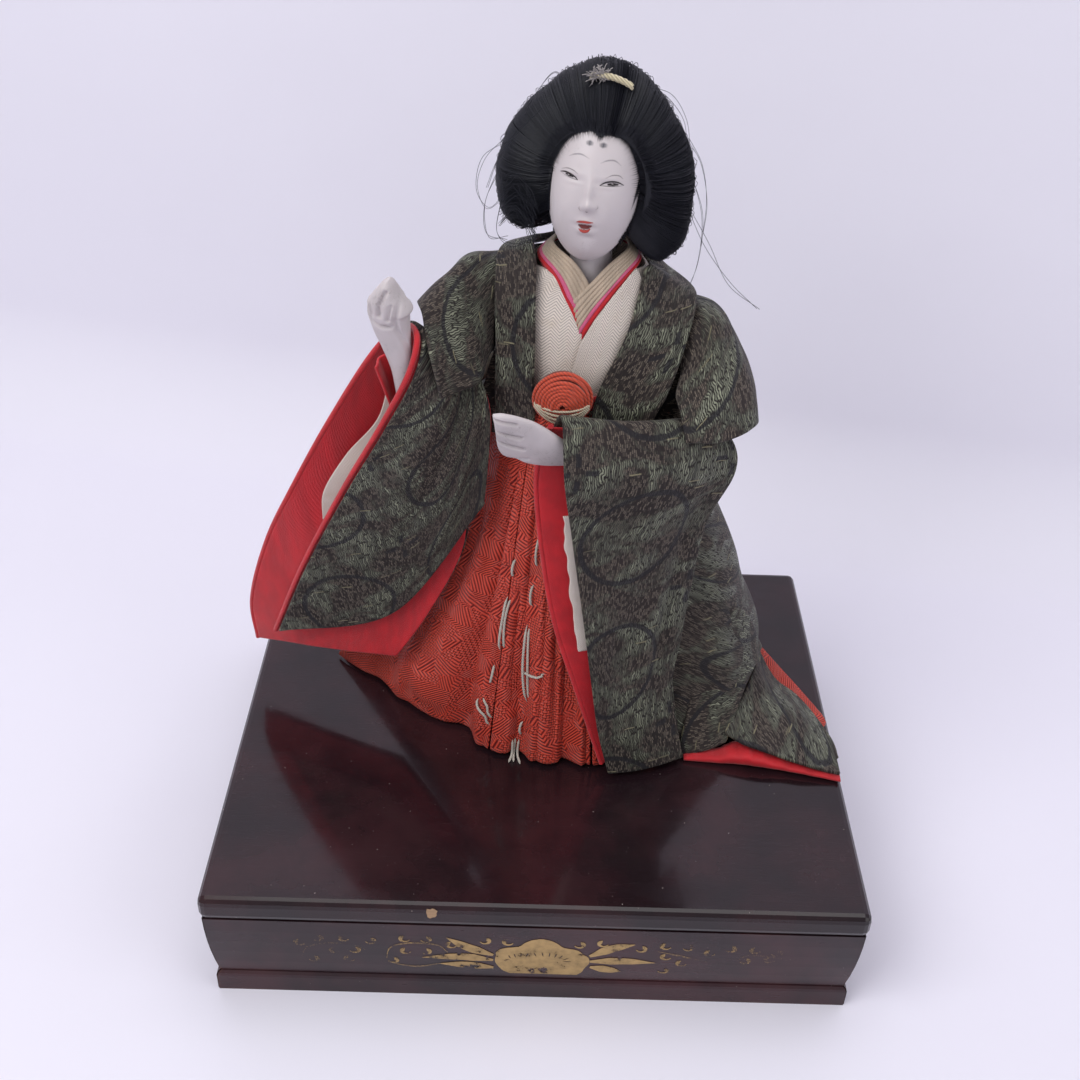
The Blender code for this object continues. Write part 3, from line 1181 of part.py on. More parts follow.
def make_figure():
    peg_place = (across(PEG_PLACE_SHARES[0]), deep(PEG_PLACE_SHARES[1]), STAND_HEIGHT)
    doll_axis = make_axis("doll_axis", peg_place)
    figure = make_axis("figure_origin", (-peg_place[0], -peg_place[1], 0), doll_axis)
    make_core(figure)
    right_wrist = Vector(layout(RIGHT_WRIST_SHARES))
    right_knuckle = Vector(layout(RIGHT_KNUCKLE_SHARES))
    right_hole = make_arm("right", RIGHT_ARM_SHARES, right_wrist, right_knuckle, figure)
    left_wrist = Vector(layout(LEFT_WRIST_SHARES))
    left_knuckle = Vector(layout(LEFT_KNUCKLE_SHARES))
    left_hole = make_arm("left", LEFT_ARM_SHARES, left_wrist, left_knuckle, figure)
    make_kosode(figure, (right_hole, left_hole))
    make_collars(figure)
    make_hakama(figure)
    make_waistband(figure)
    make_knot(figure)
    make_basting(figure)
    make_robe(figure)
    make_under_sleeve(figure, right_wrist, right_knuckle)
    make_hands(figure)
    neck_place = Vector((across(NECK_PLACE_SHARES[0]), deep(NECK_PLACE_SHARES[1]), up(NECK_BOTTOM_SHARE)))
    neck_axis = make_axis("neck_axis", neck_place, figure)
    stick_bottom = up(STRAW_TOP_SHARE) - up(NECK_BOTTOM_SHARE) - NECK_STICK_DEPTH
    stick_top = NECK_STICK_LENGTH - NECK_STICK_DEPTH - SEAT_GAP
    wood = material("bare_wood", BARE_WOOD, 0.7)
    cylinder("neck_stick", NECK_STICK_RADIUS, stick_bottom, stick_top, (0, 0), wood, neck_axis, 20)
    head_place = Vector(layout(HEAD_CENTRE_SHARES)) - neck_place
    make_head(neck_axis, head_place, neck_place)
    make_hair(neck_axis, head_place, neck_place)


clear_scene()
make_stand()
make_figure()
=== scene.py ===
"""Dresses a seated court-lady doll and its lacquered stand, laid out as an add-on."""
import random
from functools import partialmethod
from math import atan2, cos, exp, hypot, pi, radians, sin, sqrt

import bmesh
import bpy
import numpy as np
from bpy.props import FloatProperty, FloatVectorProperty, IntProperty, PointerProperty
from mathutils import Matrix, Vector, noise
from mathutils.bvhtree import BVHTree


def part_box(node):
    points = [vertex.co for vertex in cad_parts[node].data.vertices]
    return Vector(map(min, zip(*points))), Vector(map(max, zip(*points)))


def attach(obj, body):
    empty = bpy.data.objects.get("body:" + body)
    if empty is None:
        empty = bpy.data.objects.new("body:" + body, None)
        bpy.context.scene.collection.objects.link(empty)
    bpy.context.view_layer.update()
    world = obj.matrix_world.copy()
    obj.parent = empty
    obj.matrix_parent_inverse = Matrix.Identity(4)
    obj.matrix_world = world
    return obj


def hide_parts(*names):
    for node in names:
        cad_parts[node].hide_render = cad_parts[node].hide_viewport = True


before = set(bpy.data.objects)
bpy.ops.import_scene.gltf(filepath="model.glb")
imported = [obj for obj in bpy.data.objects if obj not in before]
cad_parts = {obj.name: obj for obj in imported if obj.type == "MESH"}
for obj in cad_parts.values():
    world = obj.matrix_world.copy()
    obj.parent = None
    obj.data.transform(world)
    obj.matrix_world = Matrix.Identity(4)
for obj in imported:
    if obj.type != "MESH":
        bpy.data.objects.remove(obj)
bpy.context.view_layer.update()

bl_info = {
    "name": "Dressed festival doll",
    "version": (1, 0, 0),
    "blender": (4, 5, 0),
    "location": "View3D > Sidebar > Doll",
    "description": "Clothes, hair, face, stand and studio of a dressed festival doll",
    "category": "Object",
}

MM = 0.001
STAND_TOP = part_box("top_board")[1].z
STAND_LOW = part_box("top_board")[0]


# Settings that a user may change


def colour(name, value, description):
    return FloatVectorProperty(name=name, description=description, subtype="COLOR",
                               size=3, min=0.0, max=1.0, default=value)


class DollColours(bpy.types.PropertyGroup):
    """Colours of the doll's cloths, hair and stand"""
    robe_ground: colour("Robe ground", (0.020, 0.013, 0.012), "Warp of the figured robe")
    robe_float: colour("Robe floats", (0.185, 0.192, 0.138), "Grey-green threads that float over the robe")
    robe_speck: colour("Robe specks", (0.155, 0.124, 0.098), "Short pale threads between the floats")
    robe_figure: colour("Robe figures", (0.011, 0.009, 0.012), "Dark rings and crosses woven into the robe")
    lining: colour("Lining", (0.620, 0.013, 0.022), "Red silk lining of the robe")
    hakama: colour("Hakama", (0.550, 0.042, 0.022), "Orange red of the pleated trousers")
    kosode: colour("Inner kimono", (0.640, 0.560, 0.500), "Cream silk under the robe")
    collar: colour("Collars", (0.560, 0.440, 0.330), "The five cream collars")
    pink: colour("Pink collar", (0.740, 0.130, 0.270), "The thin pink collar")
    knot: colour("Knot", (0.560, 0.058, 0.018), "Wound cord of the waist knot")
    # Set darker than the white itself: the shade that lies on the face is painted into it
    white: colour("Shell white", (0.620, 0.560, 0.568), "Face and hands")
    hair: colour("Hair", (0.0042, 0.0045, 0.0075), "Silk hair")
    lacquer: colour("Lacquer", (0.012, 0.006, 0.008), "Black lacquer of the stand")
    gold: colour("Gold", (0.520, 0.350, 0.150), "Worn gold powder on the stand")


class DollSizes(bpy.types.PropertyGroup):
    """Sizes of the doll's threads and hair"""
    float_pitch: FloatProperty(name="Float pitch", description="Spacing of the robe's floating threads",
                               default=0.00058, min=0.0002, max=0.002, unit="LENGTH")
    hair_radius: FloatProperty(name="Hair radius", description="Radius of one drawn strand of hair",
                               default=0.00008, min=0.00003, max=0.0004, unit="LENGTH")
    hair_strands: IntProperty(name="Hair strands", description="Strands drawn over the hair's masses",
                              default=2900, min=100, max=8000)


def colours():
    return bpy.context.scene.doll_colours


def sizes():
    return bpy.context.scene.doll_sizes


# Shader graphs


def toned(tone, share, more=0.0):
    """A colour made darker or lighter by a share."""
    return [min(1.0, c * share + more) for c in tone]


class Graph:
    """Short calls that add and wire the nodes of one shader tree."""

    def __init__(self, tree):
        self.tree = tree

    def node(self, kind, **settings):
        made = self.tree.nodes.new(kind)
        for name, value in settings.items():
            setattr(made, name, value)
        return made

    def put(self, socket, value):
        if isinstance(value, bpy.types.NodeSocket):
            self.tree.links.new(value, socket)
        elif value is not None:
            size = len(socket.default_value) if hasattr(socket.default_value, "__len__") else 0
            if size and not hasattr(value, "__len__"):
                value = (value,) * size
            if size == 4 and len(value) == 3:
                value = (*value, 1.0)
            socket.default_value = value

    def math(self, operation, *values, clamp=False):
        made = self.node("ShaderNodeMath", operation=operation, use_clamp=clamp)
        for socket, value in zip(made.inputs, values):
            self.put(socket, value)
        return made.outputs[0]

    times = partialmethod(math, "MULTIPLY")
    plus = partialmethod(math, "ADD")
    minus = partialmethod(math, "SUBTRACT")
    over = partialmethod(math, "DIVIDE")
    floor = partialmethod(math, "FLOOR")
    size = partialmethod(math, "ABSOLUTE")
    largest = partialmethod(math, "MAXIMUM")
    folded = partialmethod(math, "PINGPONG")

    def ribs(self, place, steepness):
        """Rounded ribs with sharp valleys, from 0 to 1."""
        return self.size(self.math("SINE", self.times(place, steepness)))

    def off_middle(self, value, middle=0.5):
        return self.size(self.minus(value, middle))

    def off_cell(self, value):
        """How far a value is from the middle of its whole step."""
        return self.minus(self.math("FRACT", value), 0.5)

    def vector(self, operation, *values):
        made = self.node("ShaderNodeVectorMath", operation=operation)
        sockets = (made.inputs[0], made.inputs["Scale"]) if operation == "SCALE" else made.inputs
        for socket, value in zip(sockets, values):
            self.put(socket, value)
        return made.outputs["Value" if operation in ("LENGTH", "DOT_PRODUCT") else "Vector"]

    def split(self, vector):
        made = self.node("ShaderNodeSeparateXYZ")
        self.put(made.inputs[0], vector)
        return made.outputs

    def join(self, x, y, z=0.0):
        made = self.node("ShaderNodeCombineXYZ")
        for socket, value in zip(made.inputs, (x, y, z)):
            self.put(socket, value)
        return made.outputs[0]

    def mix(self, share, first, second, blend="MIX"):
        made = self.node("ShaderNodeMix", data_type="RGBA", blend_type=blend)
        self.put(made.inputs[0], share)
        self.put(made.inputs[6], first)
        self.put(made.inputs[7], second)
        return made.outputs[2]

    def blend(self, share, first, second):
        made = self.node("ShaderNodeMix", data_type="FLOAT")
        self.put(made.inputs[0], share)
        self.put(made.inputs[2], first)
        self.put(made.inputs[3], second)
        return made.outputs[0]

    def spread(self, value, low, high, start=0.0, end=1.0):
        """value's stretch from low to high, eased and spread from start to end."""
        made = self.node("ShaderNodeMapRange", interpolation_type="SMOOTHSTEP", clamp=True)
        for socket, given in zip(made.inputs, (value, low, high, start, end)):
            self.put(socket, given)
        return made.outputs[0]

    def noise(self, vector, scale, detail=2.0, rough=0.5, warp=0.0):
        made = self.node("ShaderNodeTexNoise")
        self.put(made.inputs["Vector"], vector)
        values = {"Scale": scale, "Detail": detail, "Roughness": rough, "Distortion": warp}
        for name, value in values.items():
            self.put(made.inputs[name], value)
        return made.outputs["Fac"]

    def random(self, vector):
        made = self.node("ShaderNodeTexWhiteNoise", noise_dimensions="3D")
        self.put(made.inputs["Vector"], vector)
        return made.outputs["Value"]

    def stretched(self, vector, stretch, scale, detail=2.0, rough=0.5):
        """Noise drawn out along some directions."""
        return self.noise(self.vector("MULTIPLY", vector, stretch), scale, detail, rough)


def group(name, inputs, outputs, build):
    """A shader node group: inputs and outputs as (name, kind, default), wired by build."""
    tree = bpy.data.node_groups.get(name)
    if tree is None:
        tree = bpy.data.node_groups.new(name, "ShaderNodeTree")
        for label, kind, default in inputs:
            socket = tree.interface.new_socket(name=label, in_out="INPUT", socket_type=kind)
            if default is not None:
                socket.default_value = default
        for label, kind in outputs:
            tree.interface.new_socket(name=label, in_out="OUTPUT", socket_type=kind)
        graph = Graph(tree)
        given = graph.node("NodeGroupInput").outputs
        result = graph.node("NodeGroupOutput").inputs
        for label, value in build(graph, given).items():
            graph.put(result[label], value)
    return tree


def use_group(graph, tree, **values):
    made = graph.node("ShaderNodeGroup", node_tree=tree)
    for label, value in values.items():
        graph.put(made.inputs[label.replace("_", " ")], value)
    return made.outputs


VECTOR, NUMBER = "NodeSocketVector", "NodeSocketFloat"


def floats_group():
    """Short bent threads that float along V, each column shifted on its own."""
    def build(graph, given):
        u, v, _ = graph.split(given["Cloth"])
        wander = graph.minus(graph.noise(given["Cloth"], 380.0, 2.0), 0.5)
        u = graph.plus(u, graph.times(wander, given["Bend"]))
        across = graph.over(u, given["Pitch"])
        column = graph.floor(across)
        shift = graph.random(graph.join(column, 3.7))
        along = graph.plus(graph.over(v, given["Length"]), shift)
        step = graph.floor(along)
        tone = graph.random(graph.join(column, step, 1.3))
        side = graph.size(graph.off_cell(across))
        end = graph.size(graph.off_cell(along))
        body = graph.times(graph.spread(side, 0.47, 0.15), graph.spread(end, 0.5, 0.38))
        return {"Mask": body, "Tone": tone}
    return group("floating threads", (("Cloth", VECTOR, None), ("Pitch", NUMBER, 0.0005),
                                      ("Length", NUMBER, 0.0025), ("Bend", NUMBER, 0.0)),
                 (("Mask", NUMBER), ("Tone", NUMBER)), build)


def weave_group():
    """Plain weave: warp and weft that pass over and under each other."""
    def build(graph, given):
        u, v, _ = graph.split(given["Cloth"])
        x = graph.over(u, given["Pitch"])
        y = graph.over(v, given["Pitch"])
        warp = graph.ribs(x, pi)
        weft = graph.ribs(y, pi)
        turn = graph.math("FLOORED_MODULO", graph.plus(graph.floor(x), graph.floor(y)), 2.0)
        height = graph.blend(turn, warp, weft)
        tone = graph.random(graph.join(graph.floor(x), graph.floor(y), 0.5))
        return {"Height": height, "Tone": tone}
    return group("plain weave", (("Cloth", VECTOR, None), ("Pitch", NUMBER, 0.0003)),
                 (("Height", NUMBER), ("Tone", NUMBER)), build)


def figures_group():
    """Rings with crosses between them, stepped like woven figures."""
    def build(graph, given):
        wander = graph.noise(given["Cloth"], 420.0, 1.0)
        bent = graph.vector("SCALE", graph.join(wander, wander), 0.0007)
        moved = graph.vector("ADD", given["Cloth"], bent)
        u, v, _ = graph.split(moved)
        period = given["Period"]

        def local(shift):
            x = graph.plus(graph.over(u, period), shift)
            y = graph.plus(graph.over(v, period), shift)
            return graph.join(graph.off_cell(x), graph.off_cell(y))

        away = graph.off_middle(graph.vector("LENGTH", local(0.0)), 0.33)
        ring = graph.spread(away, 0.022, 0.012)
        x, y, _ = graph.split(local(0.5))
        x, y = graph.size(x), graph.size(y)
        arms = []
        for near, far in ((x, y), (y, x)):
            narrow = graph.spread(near, 0.021, 0.012)
            begins = graph.spread(far, 0.038, 0.048)
            ends = graph.spread(far, 0.132, 0.120)
            arms.append(graph.times(narrow, graph.times(begins, ends)))
        cross = graph.largest(arms[0], arms[1])
        return {"Mask": graph.largest(ring, cross)}
    return group("woven figures", (("Cloth", VECTOR, None), ("Period", NUMBER, 0.044)),
                 (("Mask", NUMBER),), build)


def cloth_place(graph, shift=(0.0, 0.0, 0.0)):
    """The cloth's own coordinates, in metres along and across its threads."""
    made = graph.node("ShaderNodeUVMap", uv_map="cloth")
    return graph.vector("ADD", made.outputs[0], shift)


def object_place(graph):
    return graph.node("ShaderNodeTexCoord").outputs["Object"]


def new_material(name):
    """A material and its graph."""
    made = bpy.data.materials.new(name)
    made.use_nodes = True
    return made, Graph(made.node_tree)


def finish_shader(graph, tone, roughness, height, depth, strength, **plain):
    """Wires a material's own shader; depth and strength are its bump's, plain its other sockets."""
    shader = graph.tree.nodes["Principled BSDF"]
    bump = graph.node("ShaderNodeBump")
    for name, value in (("Strength", strength), ("Distance", depth), ("Height", height)):
        graph.put(bump.inputs[name], value)
    plain.update(Base_Color=tone, Roughness=roughness, Normal=bump.outputs[0])
    for name, value in plain.items():
        graph.put(shader.inputs[name.replace("_", " ")], value)


def brocade(name, shift):
    """Figured brocade: a dark warp, grey-green floats in patches, dark rings and crosses."""
    made, graph = new_material(name)
    tones = colours()
    pitch = sizes().float_pitch
    place = cloth_place(graph, (*shift, 0.0))
    u, v, _ = graph.split(place)
    ridges = use_group(graph, floats_group(), Cloth=place, Pitch=pitch, Length=0.0058, Bend=0.0022)
    specks = use_group(graph, floats_group(), Cloth=place, Pitch=pitch * 0.8, Length=0.0011, Bend=0.0012)
    strays = use_group(graph, floats_group(), Cloth=graph.join(v, u), Pitch=pitch, Length=0.0036,
                       Bend=0.0008)
    figures = use_group(graph, figures_group(), Cloth=place, Period=0.0440)["Mask"]
    stretched = graph.join(u, graph.times(v, 1.5))
    patch = graph.spread(graph.noise(stretched, 64.0, 2.0, 0.55, 0.8), 0.43, 0.60)
    broad = graph.noise(place, 38.0, 2.0)
    ridge = graph.times(ridges["Mask"], patch)
    speck = graph.times(specks["Mask"], graph.spread(specks["Tone"], 0.25, 0.85))
    speck = graph.times(speck, graph.minus(1.0, graph.times(patch, 0.65)))
    deep = toned(tones.robe_ground, 0.45)
    cloth_colour = graph.mix(graph.spread(broad, 0.3, 0.7), tones.robe_ground,
                             toned(tones.robe_ground, 0.65))
    cloth_colour = graph.mix(speck, cloth_colour, tones.robe_speck)
    cloth_colour = graph.mix(graph.times(patch, 0.90), cloth_colour, deep)
    green = graph.mix(ridges["Tone"], toned(tones.robe_float, 0.32), toned(tones.robe_float, 1.50))
    cloth_colour = graph.mix(ridge, cloth_colour, green)
    cloth_colour = graph.mix(graph.times(figures, 0.93), cloth_colour, tones.robe_figure)
    stray = graph.times(strays["Mask"], graph.spread(strays["Tone"], 0.988, 0.994))
    cloth_colour = graph.mix(stray, cloth_colour, (0.26, 0.23, 0.14))
    height = graph.plus(graph.times(ridge, graph.plus(0.7, ridges["Tone"])), graph.times(speck, 0.6))
    height = graph.plus(height, graph.minus(stray, graph.times(figures, 0.35)))
    finish_shader(graph, cloth_colour, graph.blend(ridge, 0.78, 0.40), height, 0.00028, 1.0,
                  Specular_IOR_Level=0.40, Sheen_Weight=0.08, Sheen_Roughness=0.4)
    return made


def plain_silk(name, tone, pitch=0.00026, sheen=0.25, roughness=0.48, depth=0.00006, worn=0.25):
    """Plain silk with a fine weave, faint slubs and uneven dye."""
    made, graph = new_material(name)
    place = cloth_place(graph)
    weave = use_group(graph, weave_group(), Cloth=place, Pitch=pitch)
    uneven = graph.noise(place, 160.0, 3.0)
    u, v, _ = graph.split(place)
    slub = graph.noise(graph.join(graph.times(u, 9.0), v), 420.0, 2.0)
    darker = toned(tone, 0.66)
    lighter = toned(tone, 1.18, 0.01)
    base = graph.mix(graph.spread(uneven, 0.3, 0.75), darker, tone)
    base = graph.mix(graph.times(graph.spread(slub, 0.5, 0.72), worn), base, lighter)
    # Painted highlights: the weave's thread crowns are made lighter
    base = graph.mix(graph.times(weave["Height"], 0.35), base, lighter)
    height = graph.plus(weave["Height"], graph.times(slub, 0.8))
    rough = graph.blend(uneven, roughness - 0.06, roughness + 0.10)
    finish_shader(graph, base, rough, height, depth, 0.8, Sheen_Weight=sheen, Sheen_Roughness=0.35,
                  Specular_IOR_Level=0.4)
    return made


def zigzag(graph, place, pitch, tall):
    """A height that runs in zigzag ribs."""
    u, v, _ = graph.split(place)
    fold = graph.folded(v, tall)
    along = graph.over(graph.plus(u, graph.times(fold, 0.9)), pitch)
    return graph.ribs(along, pi)


def herringbone_silk(name, tone, pitch=0.00085):
    """The inner kimono's silk: small zigzag ribs with worn lights."""
    made, graph = new_material(name)
    place = cloth_place(graph)
    ribs = zigzag(graph, place, pitch, 0.0023)
    picks = graph.ribs(graph.split(place)[1], pi / 0.00034)
    uneven = graph.noise(place, 150.0, 3.0)
    height = graph.times(ribs, graph.plus(0.55, graph.times(picks, 0.45)))
    # Painted shade in the ribs' valleys and painted highlights on their crowns
    darker = toned(tone, 0.60)
    lighter = toned(tone, 1.22, 0.02)
    base = graph.mix(graph.spread(height, 0.12, 0.75), darker, lighter)
    stain = graph.times(graph.spread(uneven, 0.52, 0.78), 0.45)
    base = graph.mix(stain, base, [c * k for c, k in zip(tone, (0.82, 0.76, 0.66))])
    finish_shader(graph, base, 0.5, height, 0.00010, 0.9, Sheen_Weight=0.2, Sheen_Roughness=0.35,
                  Specular_IOR_Level=0.45)
    return made


def figured_silk(name, tone):
    """The hakama's silk: basket dots between patches of slanting ribs."""
    made, graph = new_material(name)
    place = cloth_place(graph)
    dots = use_group(graph, weave_group(), Cloth=place, Pitch=0.00085)
    u, v, _ = graph.split(place)
    ribs = zigzag(graph, place, 0.00105, 0.0060)
    # Rectangles within rectangles, as key patterns are woven
    x = graph.folded(graph.plus(u, graph.times(v, 0.35)), 0.0043)
    y = graph.folded(graph.minus(v, graph.times(u, 0.35)), 0.0057)
    nested = graph.largest(x, y)
    key = graph.ribs(nested, pi / 0.00105)
    region = graph.spread(graph.noise(place, 118.0, 1.0, 0.5, 0.8), 0.46, 0.54)
    aside = graph.vector("ADD", place, (0.31, 0.17, 0.0))
    region_two = graph.spread(graph.noise(aside, 90.0, 1.0), 0.50, 0.57)
    height = graph.blend(region, dots["Height"], key)
    height = graph.blend(region_two, height, ribs)
    uneven = graph.noise(place, 120.0, 3.0)
    # A dark tone for painted shade in the valleys and for uneven dye, and a light tone for painted
    # highlights
    shade_and_dye_tone = [tone[0] * 0.26, tone[1] * 0.14, tone[2] * 0.30]
    highlight_tone = [min(1.0, tone[0] * 1.30), tone[1] * 2.15, tone[2] * 2.2]
    # Painted shade in the weave's valleys and painted highlights on its raised threads
    base = graph.mix(graph.spread(height, 0.08, 0.80), shade_and_dye_tone, tone)
    base = graph.mix(graph.times(graph.spread(height, 0.62, 1.0), 0.7), base, highlight_tone)
    base = graph.mix(graph.times(graph.spread(uneven, 0.45, 0.8), 0.35), base, shade_and_dye_tone)
    finish_shader(graph, base, 0.50, height, 0.00030, 1.0, Sheen_Weight=0.06, Sheen_Roughness=0.35,
                  Specular_IOR_Level=0.45)
    return made


def cord_silk(name, tone, pitch=0.0009):
    """Twisted cord: plies that run slantwise round it."""
    made, graph = new_material(name)
    place = object_place(graph)
    slant = graph.vector("DOT_PRODUCT", place, (0.72, 0.25, 0.65))
    plies = graph.ribs(slant, pi / pitch)
    uneven = graph.noise(place, 900.0, 2.0)
    # Painted shade in the grooves between the plies and painted highlights on their crowns
    base = graph.mix(plies, toned(tone, 0.55), toned(tone, 1.12))
    base = graph.mix(graph.times(uneven, 0.4), base, toned(tone, 0.75))
    height = graph.plus(plies, graph.times(uneven, 0.5))
    finish_shader(graph, base, 0.55, height, 0.00012, 0.8, Sheen_Weight=0.3)
    return made


def shell_white(name, tone, worn):
    """Burnished shell white with hairline cracks and grey rubbed places."""
    made, graph = new_material(name)
    place = object_place(graph)
    soft = graph.noise(place, 90.0, 3.0)
    fine = graph.noise(place, 1900.0, 3.0, 0.6)
    crack_field = graph.noise(place, 330.0, 2.0, 0.6, 1.2)
    crack = graph.spread(graph.off_middle(crack_field), 0.010, 0.0)
    crack = graph.times(crack, graph.times(graph.spread(soft, 0.5, 0.62), worn))
    base = graph.mix(graph.times(graph.spread(soft, 0.35, 0.75), worn), tone,
                     toned(tone, 0.80))
    base = graph.mix(crack, base, (0.30, 0.27, 0.26))
    rough = graph.blend(fine, 0.30 + 0.16 * worn, 0.44 + 0.16 * worn)
    height = graph.minus(graph.times(fine, 0.5), crack)
    finish_shader(graph, base, rough, height, 0.00005, 0.45, Specular_IOR_Level=0.45,
                  Subsurface_Weight=0.12, Subsurface_Radius=(0.6, 0.45, 0.4), Subsurface_Scale=0.0012)
    return made


def hair_silk(name, tone):
    """Combed black silk: fine grooves and a dull shine."""
    made, graph = new_material(name)
    place = object_place(graph)
    streak = graph.stretched(place, (1.0, 1.0, 7.0), 700.0, 3.0)
    base = graph.mix(streak, tone, toned(tone, 2.2, 0.001))
    finish_shader(graph, base, graph.blend(streak, 0.40, 0.60), streak, 0.00015, 0.6,
                  Specular_IOR_Level=0.32)
    return made


def old_lacquer(name, tone, gloss, dust, edge=0.0):
    """Black lacquer with drag marks, dust, and edges rubbed to brown."""
    made, graph = new_material(name)
    place = object_place(graph)
    smear = graph.stretched(place, (1.0, 5.0, 5.0), 22.0, 4.0, 0.6)
    cloud = graph.noise(place, 34.0, 4.0, 0.6)
    fine = graph.noise(place, 1500.0, 2.0)
    specks = graph.spread(graph.noise(place, 1150.0, 1.0), 0.79, 0.81)
    scratch = graph.stretched(place, (3.0, 60.0, 60.0), 28.0, 2.0)
    scratch = graph.spread(graph.off_middle(scratch), 0.006, 0.0)
    warm = [tone[0] * 2.6, tone[1] * 1.8, tone[2] * 1.7]
    base = graph.mix(graph.spread(cloud, 0.35, 0.7), tone, warm)
    base = graph.mix(graph.times(specks, dust), base, (0.42, 0.36, 0.33))
    base = graph.mix(graph.times(scratch, 0.12 * dust), base, (0.16, 0.14, 0.14))
    if edge:
        bend = graph.node("ShaderNodeBevel", samples=4)
        bend.inputs["Radius"].default_value = 0.0012
        normal = graph.node("ShaderNodeNewGeometry").outputs["Normal"]
        turned = graph.minus(1.0, graph.vector("DOT_PRODUCT", bend.outputs[0], normal))
        rubbed = graph.times(graph.spread(turned, 0.02, 0.25), graph.spread(cloud, 0.45, 0.7))
        base = graph.mix(graph.times(rubbed, edge), base, (0.13, 0.055, 0.030))
    rough = graph.plus(graph.blend(graph.spread(smear, 0.35, 0.75), gloss, gloss + 0.10),
                       graph.times(specks, 0.3))
    height = graph.plus(cloud, graph.times(fine, 0.04))
    finish_shader(graph, base, rough, height, 0.0004, 0.12, Specular_IOR_Level=0.38, Coat_Weight=0.12,
                  Coat_Roughness=0.05)
    return made


def sawn_wood(name, tone):
    """Bare wood with long rings and fibres."""
    made, graph = new_material(name)
    place = object_place(graph)
    rings = graph.stretched(place, (1.0, 9.0, 9.0), 160.0, 4.0, 0.6)
    fibre = graph.stretched(place, (1.0, 30.0, 30.0), 300.0, 2.0)
    base = graph.mix(rings, toned(tone, 0.55), toned(tone, 1.2))
    finish_shader(graph, base, graph.blend(fibre, 0.6, 0.85), fibre, 0.0002, 0.6)
    return made


def dull_fibre(name, tone, stretch=(1.0, 1.0, 8.0)):
    """Straw, wood wool and wrapped paper."""
    made, graph = new_material(name)
    place = object_place(graph)
    fibre = graph.stretched(place, stretch, 420.0, 4.0, 0.65)
    base = graph.mix(graph.spread(fibre, 0.25, 0.8), toned(tone, 0.45), tone)
    finish_shader(graph, base, 0.85, fibre, 0.0004, 0.8)
    return made


def drawn_wire(name):
    """Steel wire with some rust."""
    made, graph = new_material(name)
    place = object_place(graph)
    rust = graph.spread(graph.noise(place, 700.0, 3.0), 0.55, 0.75)
    base = graph.mix(rust, (0.42, 0.42, 0.43), (0.16, 0.07, 0.03))
    finish_shader(graph, base, graph.blend(rust, 0.35, 0.8), rust, 0.00005, 0.5,
                  Metallic=graph.blend(rust, 1.0, 0.1))
    return made


def gold_powder(name, tone):
    """Sprinkled gold powder, rubbed thin so that the lacquer shows through."""
    made, graph = new_material(name)
    place = object_place(graph)
    grain = graph.noise(place, 5200.0, 1.0)
    wear = graph.noise(place, 260.0, 4.0, 0.6)
    u, _, _ = graph.split(cloth_place(graph))
    amount = graph.times(u, graph.spread(wear, 0.24, 0.52))
    keep = graph.math("GREATER_THAN", graph.plus(graph.times(amount, 0.75), 0.14), grain)
    base = graph.mix(graph.spread(wear, 0.3, 0.7), toned(tone, 0.62), tone)
    finish_shader(graph, base, 0.52, grain, 0.00002, 0.4, Metallic=0.45, Alpha=keep)
    return made


def painted_line(name, tone, roughness=0.5):
    """Thin paint brushed over the white; its strength fades at its ends."""
    made, graph = new_material(name)
    place = object_place(graph)
    streak = graph.noise(place, 3000.0, 2.0)
    u, _, _ = graph.split(cloth_place(graph))
    fade = graph.times(u, graph.spread(streak, 0.10, 0.45, 0.6, 1.0))
    finish_shader(graph, tone, roughness, streak, 0.00002, 0.3, Alpha=fade)
    return made


# The clothes' cut, in millimetres from the middle of the stand's top: across, front to back, and up

# Rings of the chest by height: centre across and deep, half width and half depth
CHEST_RINGS = {
    92: (4.6, 16, 14.8, 12.2),
    100: (5, 16, 15.5, 12.5),
    110: (6, 16, 17.5, 13),
    120: (7, 16, 20, 13),
    130: (7.6, 16.5, 21.5, 12),
    138: (8.2, 17, 19.6, 10.5),
    143: (9, 16.8, 14.8, 9.4),
    147: (9.3, 16.3, 11.2, 8.4),
    149.5: (9.3, 16, 9.2, 7.9),
    153: (9.3, 15.6, 8.2, 7.6),
}
# How far the left shoulder falls in, by height
LOW_SHOULDER_SHARES = ((126, 1), (138, 0.88), (153, 0.92))
